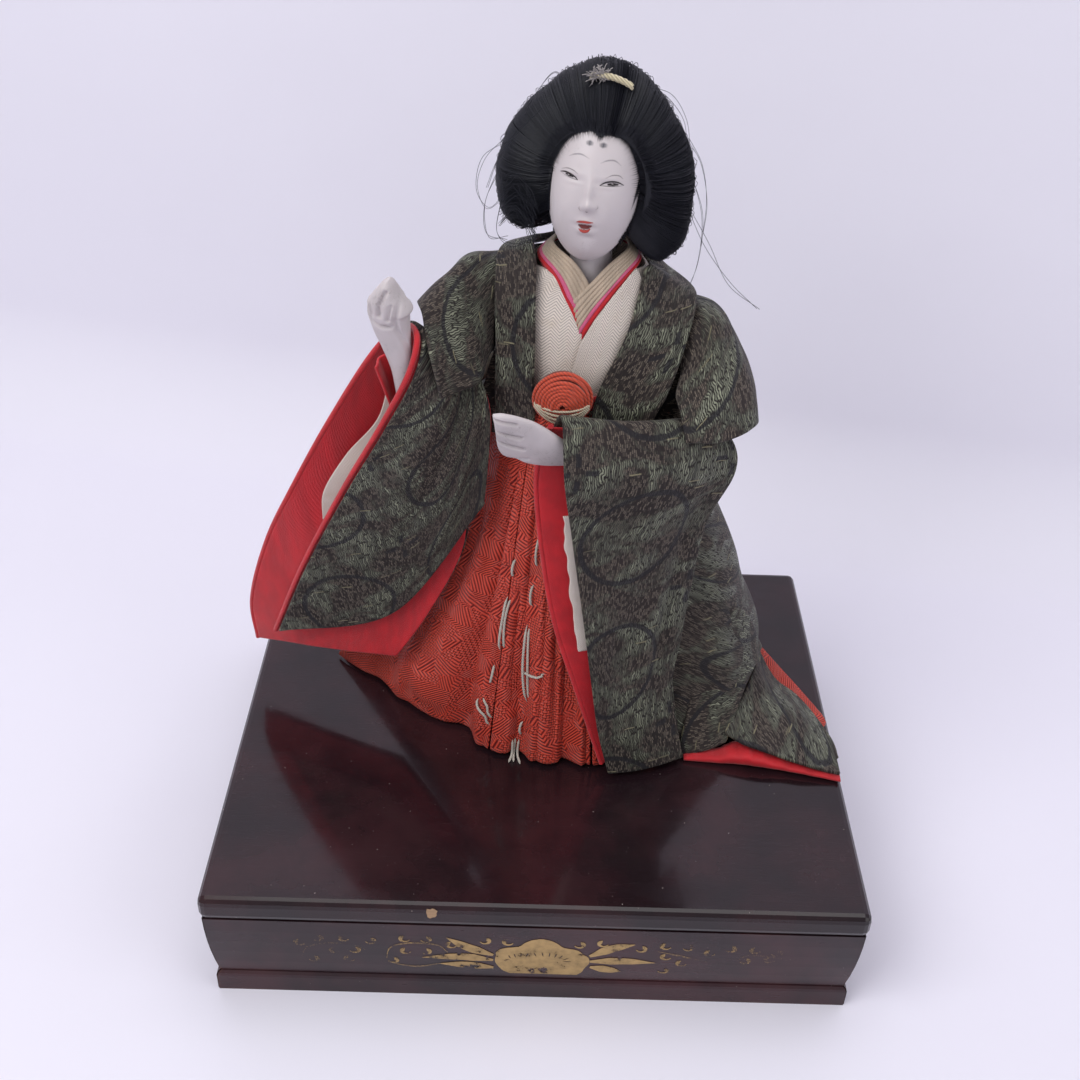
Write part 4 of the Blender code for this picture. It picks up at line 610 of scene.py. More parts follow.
# Heights of the collars' edges, at the front and at the sides
COLLAR_BOTTOMS = (127, 130.4, 132.3, 134.1, 135.9, 137.7, 139.5, 141.3)
COLLAR_SIDES = (145.4, 146, 146.5, 147, 147.5, 148, 148.5, 149)
HAKAMA_HEM = (
    (-66, 25.5), (-55, 15), (-44, 5.5), (-32, -3.5), (-21, -11.5), (-14, -16.5),
    (-7, -19.7), (1, -21.5), (8, -22.5), (15.5, -22), (24, -18.5), (33, -13),
    (41, -5.5), (48, 4), (54, 17), (55, 32), (46, 46), (28, 54),
    (8, 56.5), (-12, 54), (-30, 47), (-43, 38), (-54, 31),
)
HAKAMA_TRAIL = ((72, 35.5), (77.5, 24.5), (84, 11), (89, -1.5),
                       (84, -4), (79, 5), (74, 16), (71, 28))
ROBE_ROWS = (
    ((-6.8, 19.5, 144.6), (-6.4, 24.5, 143), (-2.8, 29.2, 142), (9, 31.8, 142.6),
     (20.4, 28.6, 141), (24.8, 24.4, 139.8), (26.8, 21.4, 138.8), (27.2, 20, 138.4)),
    ((-13, 20.5, 138.6), (-13.4, 24, 137.6), (-10.8, 30.8, 136.6), (9, 35, 138),
     (27.2, 30.8, 135), (30.4, 24.8, 133.2), (31.4, 21.6, 132.4), (31.6, 20, 132.2)),
    ((-16.8, 20, 127), (-17.2, 24, 127), (-13.5, 32, 127), (9, 37, 128),
     (29, 31.5, 126), (32.4, 25.5, 125), (33, 22, 124.5), (33, 20, 124)),
    ((-17.4, 20.5, 110), (-18.2, 25, 110), (-14.8, 34.5, 110), (8, 39.5, 110),
     (31, 34.5, 110), (36.4, 26, 110), (37, 21, 110), (36.8, 18, 110)),
    ((-22.6, 20, 90), (-24, 26, 90), (-18.5, 39, 90), (8, 45, 90),
     (34, 39, 90), (40.8, 26.5, 90), (41.2, 15.5, 90), (39, 8, 90)),
    ((-31.5, 26.5, 65), (-32.5, 33, 65), (-24.5, 46.5, 65), (8, 52.5, 65),
     (42, 46, 65), (49.4, 27.5, 65), (46.8, 11.5, 65), (37.4, 2.4, 65)),
    ((-43.5, 32.5, 40), (-44, 39.5, 40), (-31.5, 53.5, 40), (8, 60, 40),
     (49.5, 52.5, 40), (60.2, 29, 40), (54.2, 5.5, 40), (37.6, -3.6, 40)),
    ((-53.5, 37.5, 18), (-53.5, 45, 18), (-38.5, 61, 18), (8, 67, 18),
     (56, 58.5, 18), (68, 30, 18), (58.4, -2.4, 18), (39, -8.8, 18)),
    ((-60, 40.5, 1.1), (-60, 49, 1.1), (-43.5, 66, 1.1), (8, 72, 1.1),
     (60, 62.5, 1.1), (68, 33, 1.4), (59.6, -6.2, 4.2), (42, -14.4, 3.6)),
)
LAPEL_ROWS = (
    ((-4, -1.2, 105), (-14.5, 3.5, 104)),
    ((-4.4, -0.6, 116), (-14.5, 5, 115)),
    ((-4.6, 2.4, 130), (-14.8, 7, 126)),
    ((-4.6, 8.4, 145), (-15.2, 10.5, 139.5)),
    ((-5.4, 18, 147.8), (-14.2, 20.5, 143.8)),
    ((-1.8, 27, 145.8), (-6.5, 31.5, 141.8)),
    ((9, 30.8, 146.6), (9, 36.8, 143)),
    ((20.4, 27, 145.6), (26, 31.4, 138.6)),
    ((24.2, 17.6, 142.4), (36, 21, 135.6)),
    ((22.8, 9.6, 144.2), (37, 12, 133.6)),
    ((18.8, 2.4, 130), (34, 3.6, 124)),
    ((13, -0.8, 116.6), (30.5, -1.2, 114.5)),
    ((11.2, -2.2, 110.6), (28, -2.6, 109.6)),
    ((10.6, -3.4, 105.5), (26.5, -1.4, 104.5)),
)
RIGHT_SHOULDER_ROWS = (
    ((-15.8, 8.6, 121), (-15.2, 11.8, 132.5), (-14.4, 14.8, 139), (-14.4, 20.5, 142),
     (-14.8, 27.5, 139.5), (-15.5, 34, 129)),
    ((-18.5, -3.6, 118), (-21, 4.5, 131.5), (-22, 12.5, 140.3), (-22.3, 19, 142.2),
     (-22, 26.5, 138), (-21.5, 32.5, 126)),
    ((-22.5, -6.4, 117), (-26.5, -2.8, 129.5), (-28.2, 5, 138), (-28.5, 12.5, 139.5),
     (-27.8, 21, 134.5), (-26.5, 28.5, 122)),
    ((-28, -10.4, 116.5), (-30.4, -9.6, 127.5), (-33, -1.6, 135.2), (-34.2, 8, 133.4),
     (-34.4, 15.5, 127.5), (-34.5, 21.5, 116)),
)
LEFT_SHOULDER_ROWS = (
    ((33, 7.6, 121), (34, 10.6, 128), (34.2, 15.5, 130.8), (34, 21, 131.6),
     (33.8, 27.5, 130), (34, 33, 121.5)),
    ((33.8, 3.6, 119), (40.4, 5.5, 127.6), (42.4, 12, 132), (42.4, 19.5, 131.4),
     (41.2, 27, 126), (40.5, 32, 115)),
    ((32.4, -2.8, 115.2), (41.5, -2.2, 121.5), (47.2, 5.5, 126), (48.2, 13, 125.4),
     (47.2, 20.5, 120.5), (45.5, 27, 108)),
    ((33.2, -8.6, 113.6), (44, -8.8, 115.4), (51, -1.8, 117.4), (52.8, 7, 115.4),
     (51.5, 15, 109.5), (49, 23, 99)),
    ((35, -13.6, 107.4), (45, -12.4, 107.4), (53.2, -5.4, 108.4), (54.8, 5.5, 106),
     (54, 12.5, 100), (51, 19.5, 91)),
)
RIGHT_SLEEVE_ROWS = (
    ((-17, -5, 80.5), (-16, -5, 93.5), (-15.5, -4, 106), (-16.8, -1.4, 113.5),
     (-19.5, 4, 117.8), (-21, 12.5, 118.6), (-22.5, 19.5, 115.6), (-22.8, 22, 107),
     (-24.5, 17.5, 97), (-22.5, 7, 82), (-22.5, 1, 63), (-33, 0, 39),
     (-43, 0.6, 21.5)),
    ((-44, -1.8, 39), (-37, -4.5, 63), (-31, -6.5, 86), (-27, -7, 105),
     (-26, -5, 118), (-27.5, 1, 125.5), (-31, 9.5, 123.5), (-34, 14, 112),
     (-38.5, 13.5, 95), (-45, 10.5, 71), (-52, 8, 49), (-60, 7, 29),
     (-64, 7.5, 18.5)),
    ((-79.5, 5.5, 25.5), (-68.5, 0.8, 53.5), (-55, -3.4, 82), (-43.5, -6.8, 104),
     (-35, -8.2, 121), (-32.8, -5.8, 131.4), (-37.6, 3.6, 130), (-46.2, 6.6, 120.4),
     (-58.4, 9.8, 99), (-71, 12.2, 74), (-80.6, 14, 53), (-87.4, 15.8, 30),
     (-86.6, 15.2, 15.5)),
)
LEFT_SLEEVE_ROWS = (
    ((43, -20, 2.2), (38.5, -12.8, 22), (40, -9, 40), (41.5, -6.4, 58), (43.6, -6.2, 78),
     (49.6, -6.8, 94.5), (48, -6.6, 104), (41, -0.8, 106), (42.4, 1, 80), (41.4, -2, 66),
     (39.8, -5.2, 50), (38, -9.2, 30), (42, -16.9, 4.2)),
    ((36.5, -22.8, 1.9), (32, -17.4, 22), (31, -14.4, 40), (31.5, -12.4, 58), (33, -12.2, 78),
     (36, -13.2, 98), (37, -8, 110), (37, -1.2, 102), (34, -3.6, 84), (32.5, -7, 68),
     (31.5, -9.8, 50), (31.5, -13.4, 30), (35.5, -19.3, 4.2)),
    ((29, -25.3, 1.7), (24, -22.2, 22), (20, -19.8, 40), (19, -18, 58), (18.5, -17.6, 78),
     (19, -19.2, 99), (20, -13.6, 112.4), (20.5, -6.2, 104), (19, -8.4, 86), (18.5, -12.2, 68),
     (19, -15, 50), (21.5, -18.3, 30), (28, -22, 4.4)),
    ((20.6, -27, 1.7), (16.8, -26, 17), (14.4, -25, 32), (10.5, -22.7, 58), (7, -21.2, 80),
     (4, -21.4, 99), (2.6, -16.2, 114.8), (0, -9.6, 105), (-2, -9.6, 92), (0.5, -13.4, 70),
     (4.5, -17.2, 50), (11, -20.7, 30), (19.5, -24, 4.2)),
)
RIGHT_INNER_ROWS = (
    ((-50, 3.6, 64), (-46, 2.8, 76), (-40.5, 3.2, 89), (-36, 5.5, 98), (-35, 8, 110)),
    ((-56.5, 4.6, 65), (-54, 4, 76), (-48, 4, 89), (-41.5, 5.7, 99.5), (-39.5, 8.3, 111.5)),
    ((-63.5, 5.6, 67), (-62.5, 5, 77), (-55.5, 4.6, 89.5), (-46.5, 5.6, 100.5), (-43, 7.3, 113)),
)
LEFT_INNER_ROWS = (
    ((4.4, -19.9, 88), (5.6, -20.2, 74), (7.8, -21.3, 58), (10.2, -22.6, 44.5)),
    ((8.5, -19, 88), (9.8, -19.2, 74), (12, -20.2, 58), (14, -21.4, 44.5)),
)
TAIL_ROWS = (
    ((70, 25, 8.4), (74.2, 14.5, 4.8), (80, 8.5, 3.6),
     (85, 0, 2.9), (88.6, -10, 2.6), (89.2, -18.5, 2.4)),
    ((64.2, 3, 13), (69.5, -1.5, 10.5), (75.5, -5, 7.5),
     (81, -9.5, 5.2), (86, -15, 3.8), (89.2, -20.5, 2.8)),
    ((55, -15.5, 8.4), (60.5, -18.6, 7), (66.4, -20.6, 6.2),
     (73, -22.2, 4.8), (80, -24, 3.7), (89.2, -25.2, 2.7)),
)
# The padded hem: place across, front and back edges, and height
TAIL_HEM_ROWS = (
    (46.5, -20, -14.5, 2),
    (53, -20.6, -15.5, 2.8),
    (60, -21.4, -13, 4.6),
    (66.5, -22.4, -12, 4.2),
    (73, -23.4, -11, 3.1),
    (81, -25, -13, 2.3),
    (89.2, -26.8, -20, 1.5),
)


# Points, lines and sheets


def shares(count):
    """Even shares from 0 to 1."""
    return np.linspace(0, 1, count)


def placed(points):
    """Points given in millimetres over the stand's top, in the scene's metres."""
    made = np.asarray(points, float) * MM
    made[..., 2] += STAND_TOP
    return made


def measured(point):
    """A point in the scene's metres as millimetres over the stand's top."""
    return Vector((point.x / MM, point.y / MM, (point.z - STAND_TOP) / MM))


def smooth_line(points, count):
    """Points read evenly from a smooth curve through the given ones."""
    points = np.asarray(points, float)
    last = len(points) - 1
    padded = np.vstack([(2 * points[0] - points[1])[None], points, (2 * points[-1] - points[-2])[None]])
    line = []
    for place in np.linspace(0, last, count):
        i = min(int(place), last - 1)
        t = place - i
        a, b, c, d = padded[i:i + 4]
        line.append(0.5 * (2 * b + (c - a) * t + (2 * a - 5 * b + 4 * c - d) * t * t
                           + (3 * b - a - 3 * c + d) * t ** 3))
    return np.array(line)


def sheet(sections, along, across):
    """A smooth sheet through sections in millimetres: along points by across points."""
    lines = [smooth_line(placed(section), along) for section in sections]
    return np.array([smooth_line([line[i] for line in lines], across) for i in range(along)])


def spread_out(point_of, rows, columns):
    """A grid from a rule that gives the point at two shares."""
    return np.array([[point_of(a, b) for b in shares(columns)] for a in shares(rows)])


def lengths(grid):
    """Each point's distance along and across the sheet, from its first row and column."""
    along = np.zeros(grid.shape[:2])
    across = np.zeros(grid.shape[:2])
    along[1:] = np.cumsum(np.linalg.norm(np.diff(grid, axis=0), axis=2), axis=0)
    across[:, 1:] = np.cumsum(np.linalg.norm(np.diff(grid, axis=1), axis=2), axis=1)
    return along, across


def flat_size(grid):
    along, across = lengths(grid)
    return float(across[:, -1].mean()), float(along[-1].mean())


def normals(grid):
    normal = np.cross(np.gradient(grid, axis=0), np.gradient(grid, axis=1))
    return normal / np.maximum(np.linalg.norm(normal, axis=2, keepdims=True), 1e-12)


def shifted(grid, distance):
    """A sheet moved along its normals."""
    distance = np.asarray(distance, float)
    if distance.ndim == 2:
        distance = distance[..., None]
    return grid + normals(grid) * distance


def waves(grid, size, height, seed, stretch=1.0):
    """Soft uneven swells, size metres apart."""
    out = np.zeros(grid.shape[:2])
    along, across = lengths(grid)
    for i in range(grid.shape[0]):
        for j in range(grid.shape[1]):
            place = Vector((along[i, j] / size / stretch, across[i, j] / size, seed * 7.31))
            out[i, j] = noise.noise(place) * height
    return out


def swelled(grid, *swells):
    """A sheet with soft uneven swells, given as for waves()."""
    return shifted(grid, waves(grid, *swells))


def creases(grid, lines):
    """Folds pressed into a sheet. Each is two places as shares along and across,
    a depth, which is a valley below zero, and a half width, in millimetres."""
    along, across = lengths(grid)
    tall, wide = along[-1].mean(), across[:, -1].mean()
    rows, columns = np.meshgrid(shares(len(grid)), shares(len(grid[0])), indexing="ij")
    place = np.stack([rows * tall, columns * wide], axis=2)
    out = np.zeros(grid.shape[:2])
    for s0, t0, s1, t1, depth, width in lines:
        start = np.array((s0 * tall, t0 * wide))
        run = np.array((s1 * tall, t1 * wide)) - start
        share = ((place - start) @ run) / (run @ run)
        nearest = start + np.clip(share, 0, 1)[..., None] * run
        away = np.linalg.norm(place - nearest, axis=2) / (width * MM)
        fade = np.sin(pi * np.clip(0.04 + 0.92 * share, 0.0, 1.0)) ** 0.5
        out += depth * MM * np.exp(-away * away) * fade
    return out


def linked(name, data):
    """A new object in the scene."""
    thing = bpy.data.objects.new(name, data)
    bpy.context.scene.collection.objects.link(thing)
    return thing


def put_mesh(name, mesh, finish, body="doll", stands_for=()):
    """A piece on its body, with the CAD nodes that it stands for and its slot."""
    thing = linked(name, mesh)
    mesh.materials.append(finish)
    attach(thing, body)
    if stands_for:
        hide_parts(stands_for)
    return thing


def mesh_of(name, vertices, faces, places=None):
    """A smooth mesh; places are its points' own coordinates on the cloth."""
    mesh = bpy.data.meshes.new(name)
    mesh.from_pydata([tuple(point) for point in vertices], [], faces)
    if places is not None:
        layer = mesh.uv_layers.new(name="cloth")
        for loop in mesh.loops:
            layer.data[loop.index].uv = places[loop.vertex_index]
    mesh.shade_smooth()
    return mesh


def ball_mesh(name, columns, rows, place_of):
    """A fine ball whose points place_of moves into a form."""
    bm = bmesh.new()
    bmesh.ops.create_uvsphere(bm, u_segments=columns, v_segments=rows, radius=1.0)
    for vertex in bm.verts:
        vertex.co = place_of(*vertex.co)
    mesh = bpy.data.meshes.new(name)
    bm.to_mesh(mesh)
    bm.free()
    mesh.shade_smooth()
    return mesh


def ring_faces(count, rings, first=0):
    """Faces over rings of count points each, closed at both ends."""
    faces = []
    for i in range(rings - 1):
        for k in range(count):
            a, n = first + i * count, (k + 1) % count
            faces.append((a + k, a + n, a + count + n, a + count + k))
    faces.append(tuple(range(first + count - 1, first - 1, -1)))
    faces.append(tuple(range(first + (rings - 1) * count, first + rings * count)))
    return faces


def directions(line):
    """Unit steps along a line of points."""
    step = np.gradient(line, axis=0)
    return step / np.maximum(np.linalg.norm(step, axis=1, keepdims=True), 1e-12)


def around(count):
    """Angles of points set evenly round a ring."""
    return np.linspace(0, 2 * pi, count, endpoint=False)


def cloth_mesh(name, grid, turned=False, even=False):
    """A grid of points as a mesh, with the cloth's own coordinates in metres, evened out if asked."""
    rows, columns = grid.shape[:2]
    bm = bmesh.new()
    bmesh.ops.create_grid(bm, x_segments=columns - 1, y_segments=rows - 1, size=1.0)
    bm.verts.ensure_lookup_table()
    along, across = lengths(grid)
    if even:
        along = np.repeat(along.mean(axis=1, keepdims=True), columns, axis=1)
    place = bm.loops.layers.uv.new("cloth")
    for i, vertex in enumerate(bm.verts):
        vertex.co = grid[i // columns, i % columns]
    for face in bm.faces:
        face.smooth = True
        for loop in face.loops:
            i, j = divmod(loop.vert.index, columns)
            pair = (across[i, j], along[i, j])
            loop[place].uv = pair[::-1] if turned else pair
    mesh = bpy.data.meshes.new(name)
    bm.to_mesh(mesh)
    bm.free()
    return mesh


def cloth(name, grid, thickness, finish, stands_for, turned=False, even=False):
    """A sheet of cloth with its thickness, soft edges and record entries."""
    grid = np.asarray(grid)
    thing = put_mesh(name, cloth_mesh(name, grid, turned, even), finish, "doll", stands_for)
    solid = thing.modifiers.new("thickness", "SOLIDIFY")
    solid.thickness = thickness
    solid.offset = 0.0
    solid.use_even_offset = False
    soft = thing.modifiers.new("soft edges", "SUBSURF")
    soft.levels = 1
    soft.render_levels = 1
    width, length = flat_size(grid)


def tube_mesh(name, lines, radius, sides=8, taper=None):
    """Round threads along lines of points, each closed at its ends, in one mesh."""
    vertices, faces, places = [], [], []
    for line in lines:
        line = np.asarray(line, float)
        count = len(line)
        step = directions(line)
        first = np.cross(step[0], (0.31, 0.52, 0.80))
        first /= np.linalg.norm(first)
        base = len(vertices)
        along = 0.0
        for i in range(count):
            first = first - step[i] * (first @ step[i])
            first /= np.linalg.norm(first)
            second = np.cross(step[i], first)
            share = i / (count - 1)
            thick = radius * (taper(share) if taper else 1.0)
            if i:
                along += float(np.linalg.norm(line[i] - line[i - 1]))
            for k in range(sides):
                angle = 2 * pi * k / sides
                vertices.append(line[i] + (first * cos(angle) + second * sin(angle)) * thick)
                places.append((along, k / sides * 2 * pi * radius))
        faces += ring_faces(sides, count, base)
    mesh = mesh_of(name, vertices, faces, places)
    mesh.set_sharp_from_angle(angle=radians(50))
    return mesh


def threads(name, lines, radius, finish, stands_for=(), body="doll", sides=8, taper=None):
    """Threads or hairs along lines, as one piece."""
    put_mesh(name, tube_mesh(name, lines, radius, sides, taper), finish, body, stands_for)


def rounded_end(share, reach=0.12):
    """Thickness of a thread that rounds off at both ends."""
    near = min(share, 1 - share) / reach
    return sqrt(max(0.04, 1 - (1 - near) ** 2)) if near < 1 else 1.0


# Chest, neck and waist rings


def chest_point(height, angle, offset=0.0):
    """A point on the chest in metres: angle 0 is the front, a quarter turn the doll's left."""
    heights = sorted(CHEST_RINGS)
    centre_x, centre_y, half_width, half_depth = [
        np.interp(height, heights, [CHEST_RINGS[h][i] for h in heights]) for i in range(4)]
    if sin(angle) > 0:
        low = np.interp(height, *zip(*LOW_SHOULDER_SHARES))
        half_width *= 1 - (1 - low) * sin(angle)
    across = centre_x + (half_width + offset) * sin(angle)
    return placed((across, centre_y - (half_depth + offset) * cos(angle), height))


COLLAR_SPREAD = 20.0
COLLAR_RISE = 2.0
KOSODE_LOW = 94.0
FLAP_LOW = 97.0


def collar_slope(edge):
    """How steeply a collar edge leaves the front, in millimetres a degree."""
    rise = COLLAR_SIDES[edge] - COLLAR_BOTTOMS[edge]
    return rise / COLLAR_SPREAD / (1 - exp(-90 / COLLAR_SPREAD))


def neckline(edge, angle):
    """Height of a collar edge at an angle in degrees from the front."""
    turn = min(abs(angle), 360 - abs(angle))
    if turn <= 90:
        rise = collar_slope(edge) * COLLAR_SPREAD * (1 - exp(-turn / COLLAR_SPREAD))
        return COLLAR_BOTTOMS[edge] + rise
    return COLLAR_SIDES[edge] + COLLAR_RISE * sin(radians(turn - 90))


def make_kosode():
    """The inner kimono and the flap that closes it left over right."""
    cream = herringbone_silk("kosode silk", colours().kosode)
    rows = []
    for angle in np.linspace(-180, 180, 109):
        top = neckline(0, angle) - 3.2 * exp(-((abs(angle) - 92) / 42) ** 2) + 1.2
        heights = np.linspace(KOSODE_LOW, top, 30)
        rows.append([chest_point(height, radians(angle), 1.4) for height in heights])
    grid = swelled(np.array(rows), 0.012, 0.0002, 1, 0.4)
    cloth("kosode_cloth", grid, 0.0008, cream, "kosode",
          even=True)

    def flap_point(share, rise):
        start = -16.0 + 15.0 * rise ** 1.4
        angle = start + (52.0 - start) * share
        high = neckline(0, max(angle, 0.0)) + 0.9 - max(0.0, -angle) * collar_slope(0)
        return chest_point(FLAP_LOW + (high - FLAP_LOW) * rise, radians(angle), 2.6)

    grid = swelled(spread_out(flap_point, 36, 32), 0.010, 0.0002, 2, 0.4)
    cloth("kosode_front_flap", grid, 0.0007, cream, (),
          even=True)


def make_collars():
    """Seven collars like tiles; each left one crosses over the right ones."""
    cream = plain_silk("collar silk", colours().collar, 0.00030, 0.25, 0.5, 0.00006, 0.5)
    red = plain_silk("red collar silk", colours().lining, 0.00026)
    pink = plain_silk("pink collar silk", colours().pink, 0.00026)
    collars = [("collar_red", red, "red_silk"), ("collar_pink", pink, "pink_silk")]
    collars += [(f"collar_cream_{k}", cream, "cream_collar") for k in range(1, 6)]
    for edge, (name, finish, slot) in enumerate(collars):
        over = COLLAR_BOTTOMS[edge] - COLLAR_BOTTOMS[0] + 0.5
        cross = over / (collar_slope(edge) + collar_slope(0))
        for side in (-1, 1):
            last = cross if side > 0 else 0.8
            turns = np.concatenate([np.linspace(-last, 30, 34), np.linspace(33, 180, 40)])
            rows = []
            for turn in turns:
                below = max(0.0, -turn)
                low = neckline(edge, max(turn, 0.0)) - below * collar_slope(edge)
                high = neckline(edge + 1, max(turn, 0.0)) - below * collar_slope(edge + 1)
                low -= (high - low) * 0.95
                row = []
                for share in shares(12):
                    bulge = 0.60 * sin(pi * min(1.0, max(0.0, (share - 0.47) / 0.53)) ** 0.8)
                    tuck = 0.9 * share + bulge - 0.5 * max(0.0, share - 0.85) / 0.15
                    lift = 0.35 + tuck * 0.8 - 0.10 * edge + (0.50 if side > 0 else 0.0)
                    row.append(chest_point(low + (high - low) * share, radians(turn * side), lift))
                rows.append(row)
            label = f"{name}_{'left' if side > 0 else 'right'}"
            grid = swelled(np.array(rows), 0.006, 0.00015, edge + 3 * side)
            cloth(label, grid, 0.0004, finish, name if side > 0 else (),
                  turned=True)


# Hakama

WAIST = 107.0
HEM = 0.9
# Each panel: its name, first and last place round the hem, columns, pleats, puff and crease depth
HAKAMA_TABLE = (
    ("hakama_right_leg", 0.12, 5, 80, 2, 3, 1.4), ("hakama_front_panel", 5, 9, 90, 2, 0, 1.9),
    ("hakama_left_leg", 9, 14.5, 60, 2, 0, 1.4), ("hakama_back", 14.5, 22.88, 80, 3, 0, 1.4),
)


def hakama_point(turn, fall, pleats):
    """A point in millimetres; fall runs from 0 at the waist to 1 at the hem."""
    ring = np.array(HAKAMA_HEM + HAKAMA_HEM[:1], float)
    place = (turn % 1) * (len(ring) - 1)
    i = int(place)
    t = place - i
    hem = ring[i] * (1 - t) + ring[min(i + 1, len(ring) - 1)] * t
    angle = atan2(hem[0] - 5, 20 - hem[1])
    waist = (chest_point(WAIST, angle, 3.2)[:2]) / MM
    out = hem - waist
    reach = np.linalg.norm(out)
    spread = fall ** (0.75 + 0.50 * (out[0] / reach) ** 2)
    flat = waist * (1 - spread) + hem * spread + out / reach * pleats
    return (flat[0], flat[1], WAIST + (HEM - WAIST) * fall)


def knife(place):
    """A pleat's outline: a slow rise and a sharp return, from 0 to 1."""
    share = place % 1
    return share / 0.82 if share < 0.82 else (1 - share) / 0.18


def hakama_grid(first, last, columns, pleats, puff, depth, seed):
    """One panel of the hakama, pleated from its waist to its hem."""
    def pleated(share, fall):
        fold = 1.6 * cos(2 * pi * pleats * share) * fall
        crease = depth * (knife(pleats * 2 * share + 0.18) - 0.5) * (0.35 + 0.65 * fall)
        bulge = puff * sin(pi * share) * sin(pi * fall ** 3)
        wave = noise.noise(Vector((share * 5, fall * 2.2, seed))) * 1.1 * fall
        turn = (first + 0.03 + (last - first - 0.06) * share) / len(HAKAMA_HEM)
        return hakama_point(turn, fall, fold + crease + bulge + wave)
    return placed(spread_out(pleated, columns, 44))


# Folds pressed into the panels, as creases() reads them
HAKAMA_CREASES = {
    "hakama_right_leg": ((0.880, 0.12, 0.808, 0.46, -2.3, 1.5), (0.822, 0.40, 0.754, 0.72, -2.6, 1.6),
                         (0.757, 0.66, 0.756, 0.99, -2.4, 1.7), (0.438, 0.85, 0.562, 0.95, 1.6, 3.2),
                         (0.60, 0.30, 0.52, 0.80, -1.4, 1.8), (0.36, 0.50, 0.30, 0.95, -1.3, 2)),
    "hakama_front_panel": ((0.118, 0.48, 0.165, 0.86, -2, 1.3), (0.56, 0.30, 0.62, 0.92, -1.6, 1.4),
                           (0.80, 0.35, 0.84, 0.90, -1.4, 1.3)),
}
HAKAMA_GRIDS = {}


def make_hakama():
    """Pleated trousers, the hem that trails on the stand, and the band at the waist."""
    silk = figured_silk("hakama silk", colours().hakama)
    for seed, (name, *cut) in enumerate(HAKAMA_TABLE):
        grid = hakama_grid(*cut, seed * 3.1)
        if name in HAKAMA_CREASES:
            grid = shifted(grid, -creases(grid, HAKAMA_CREASES[name]))
        HAKAMA_GRIDS[name] = grid
        cloth(name + "_cloth", grid, 0.0010, silk, name,
              turned=True)
    outline = smooth_line(HAKAMA_TRAIL + HAKAMA_TRAIL[:1], 57)
    half = len(outline) // 2
    rows = [[(*(a * (1 - t) + b * t), HEM + 0.5 * sin(pi * t)) for t in shares(12)]
            for a, b in zip(outline[:half], outline[half:2 * half][::-1])]
    cloth("hakama_trail_cloth", placed(rows), 0.0010, silk, "hakama_trail")
    red = plain_silk("sash silk", colours().lining, 0.00028)
    rows = [[chest_point(height, radians(angle), 3.2 + 0.35 * sin(height * 2.6))
             for height in np.linspace(108.2, 112.5, 12)] for angle in np.linspace(-48, 48, 45)]
    cloth("hakama_waistband_cloth", rows, 0.0010, red, "hakama_waistband",
          turned=True)


# Stitches on each panel: where each begins and ends, round and down, and its threads side by side
STITCHES = {
    "hakama_front_panel": (
        (0.325, 0.319, 0.319, 0.406, 1), (0.288, 0.463, 0.294, 0.525, 1), (0.263, 0.588, 0.338, 0.819, 2),
        (0.238, 0.738, 0.488, 0.713, 1), (0.294, 0.894, 0.288, 0.938, 1), (0.031, 0.400, 0.031, 0.450, 1),
        (0.010, 0.513, 0.004, 0.675, 2)),
    "hakama_right_leg": (
        (0.950, 0.731, 0.938, 0.788, 1), (0.869, 0.850, 0.988, 0.919, 1), (0.913, 0.838, 0.998, 0.894, 1)),
}
TASSEL_SHARES = (0.18, 0.22, 0.27)
STITCH_RADIUS, STITCH_GAP = 0.00036, 0.0011


def sample(grid, first, second):
    """A sheet's point at a share along and a share across it."""
    x, y = first * (len(grid) - 1), second * (len(grid[0]) - 1)
    i, j = min(int(x), len(grid) - 2), min(int(y), len(grid[0]) - 2)
    s, t = x - i, y - j
    return ((grid[i, j] * (1 - t) + grid[i, j + 1] * t) * (1 - s)
            + (grid[i + 1, j] * (1 - t) + grid[i + 1, j + 1] * t) * s)


def make_stitches():
    """Running stitches that hold the pleats, each dipping into the cloth at its ends."""
    cream = cord_silk("basting thread", (0.56, 0.52, 0.45), 0.0004)
    lines = {1: [], 2: []}
    stitches = [(panel, *row) for panel, rows in STITCHES.items() for row in rows]
    for panel, turn, fall, end_turn, end_fall, count in stitches:
        for strand in range(count):
            side = (strand - (count - 1) / 2) * STITCH_GAP
            line = []
            for share in shares(11):
                lift = -0.0003 - 0.0013 * sin(pi * share) ** 0.5
                point = sample(shifted(HAKAMA_GRIDS[panel], lift), turn + (end_turn - turn) * share,
                               fall + (end_fall - fall) * share)
                line.append(point + np.array((side * (1 + 0.3 * sin(5 * share + fall * 30)), 0, 0)))
            lines[1 if "front" in panel and turn > 0.1 else 2].append(line)
    grid = HAKAMA_GRIDS["hakama_front_panel"]
    for k, turn in enumerate(TASSEL_SHARES):
        start, hem = sample(shifted(grid, -0.0009), turn, 0.955), sample(shifted(grid, -0.0012), turn, 1.0)
        floor = STAND_TOP + 0.0004
        end = hem + np.array(((k - 1) * 0.0009, -0.0030 - 0.0004 * k, 0.0))
        lines[1].append(smooth_line([start, (*hem[:2], floor + 0.0006), (*end[:2], floor)], 10))
    for number in lines:
        threads(f"basting_stitches_{number}", lines[number], STITCH_RADIUS, cream,
                f"basting_thread_{number}", taper=rounded_end)


KNOT_CENTRE = (3.0, -5.2, 115.6)
KNOT_RADIUS, KNOT_CURVE = 0.0074, 0.0078
KNOT_CORD_RADIUS, CREAM_CORD_RADIUS = 0.00052, 0.00032


def knot_front(x, z):
    """How far the knot's front stands out at a place, as a share of its depth."""
    return max(0.0, 1 - (x * x + z * z) / KNOT_CURVE ** 2) ** 0.5


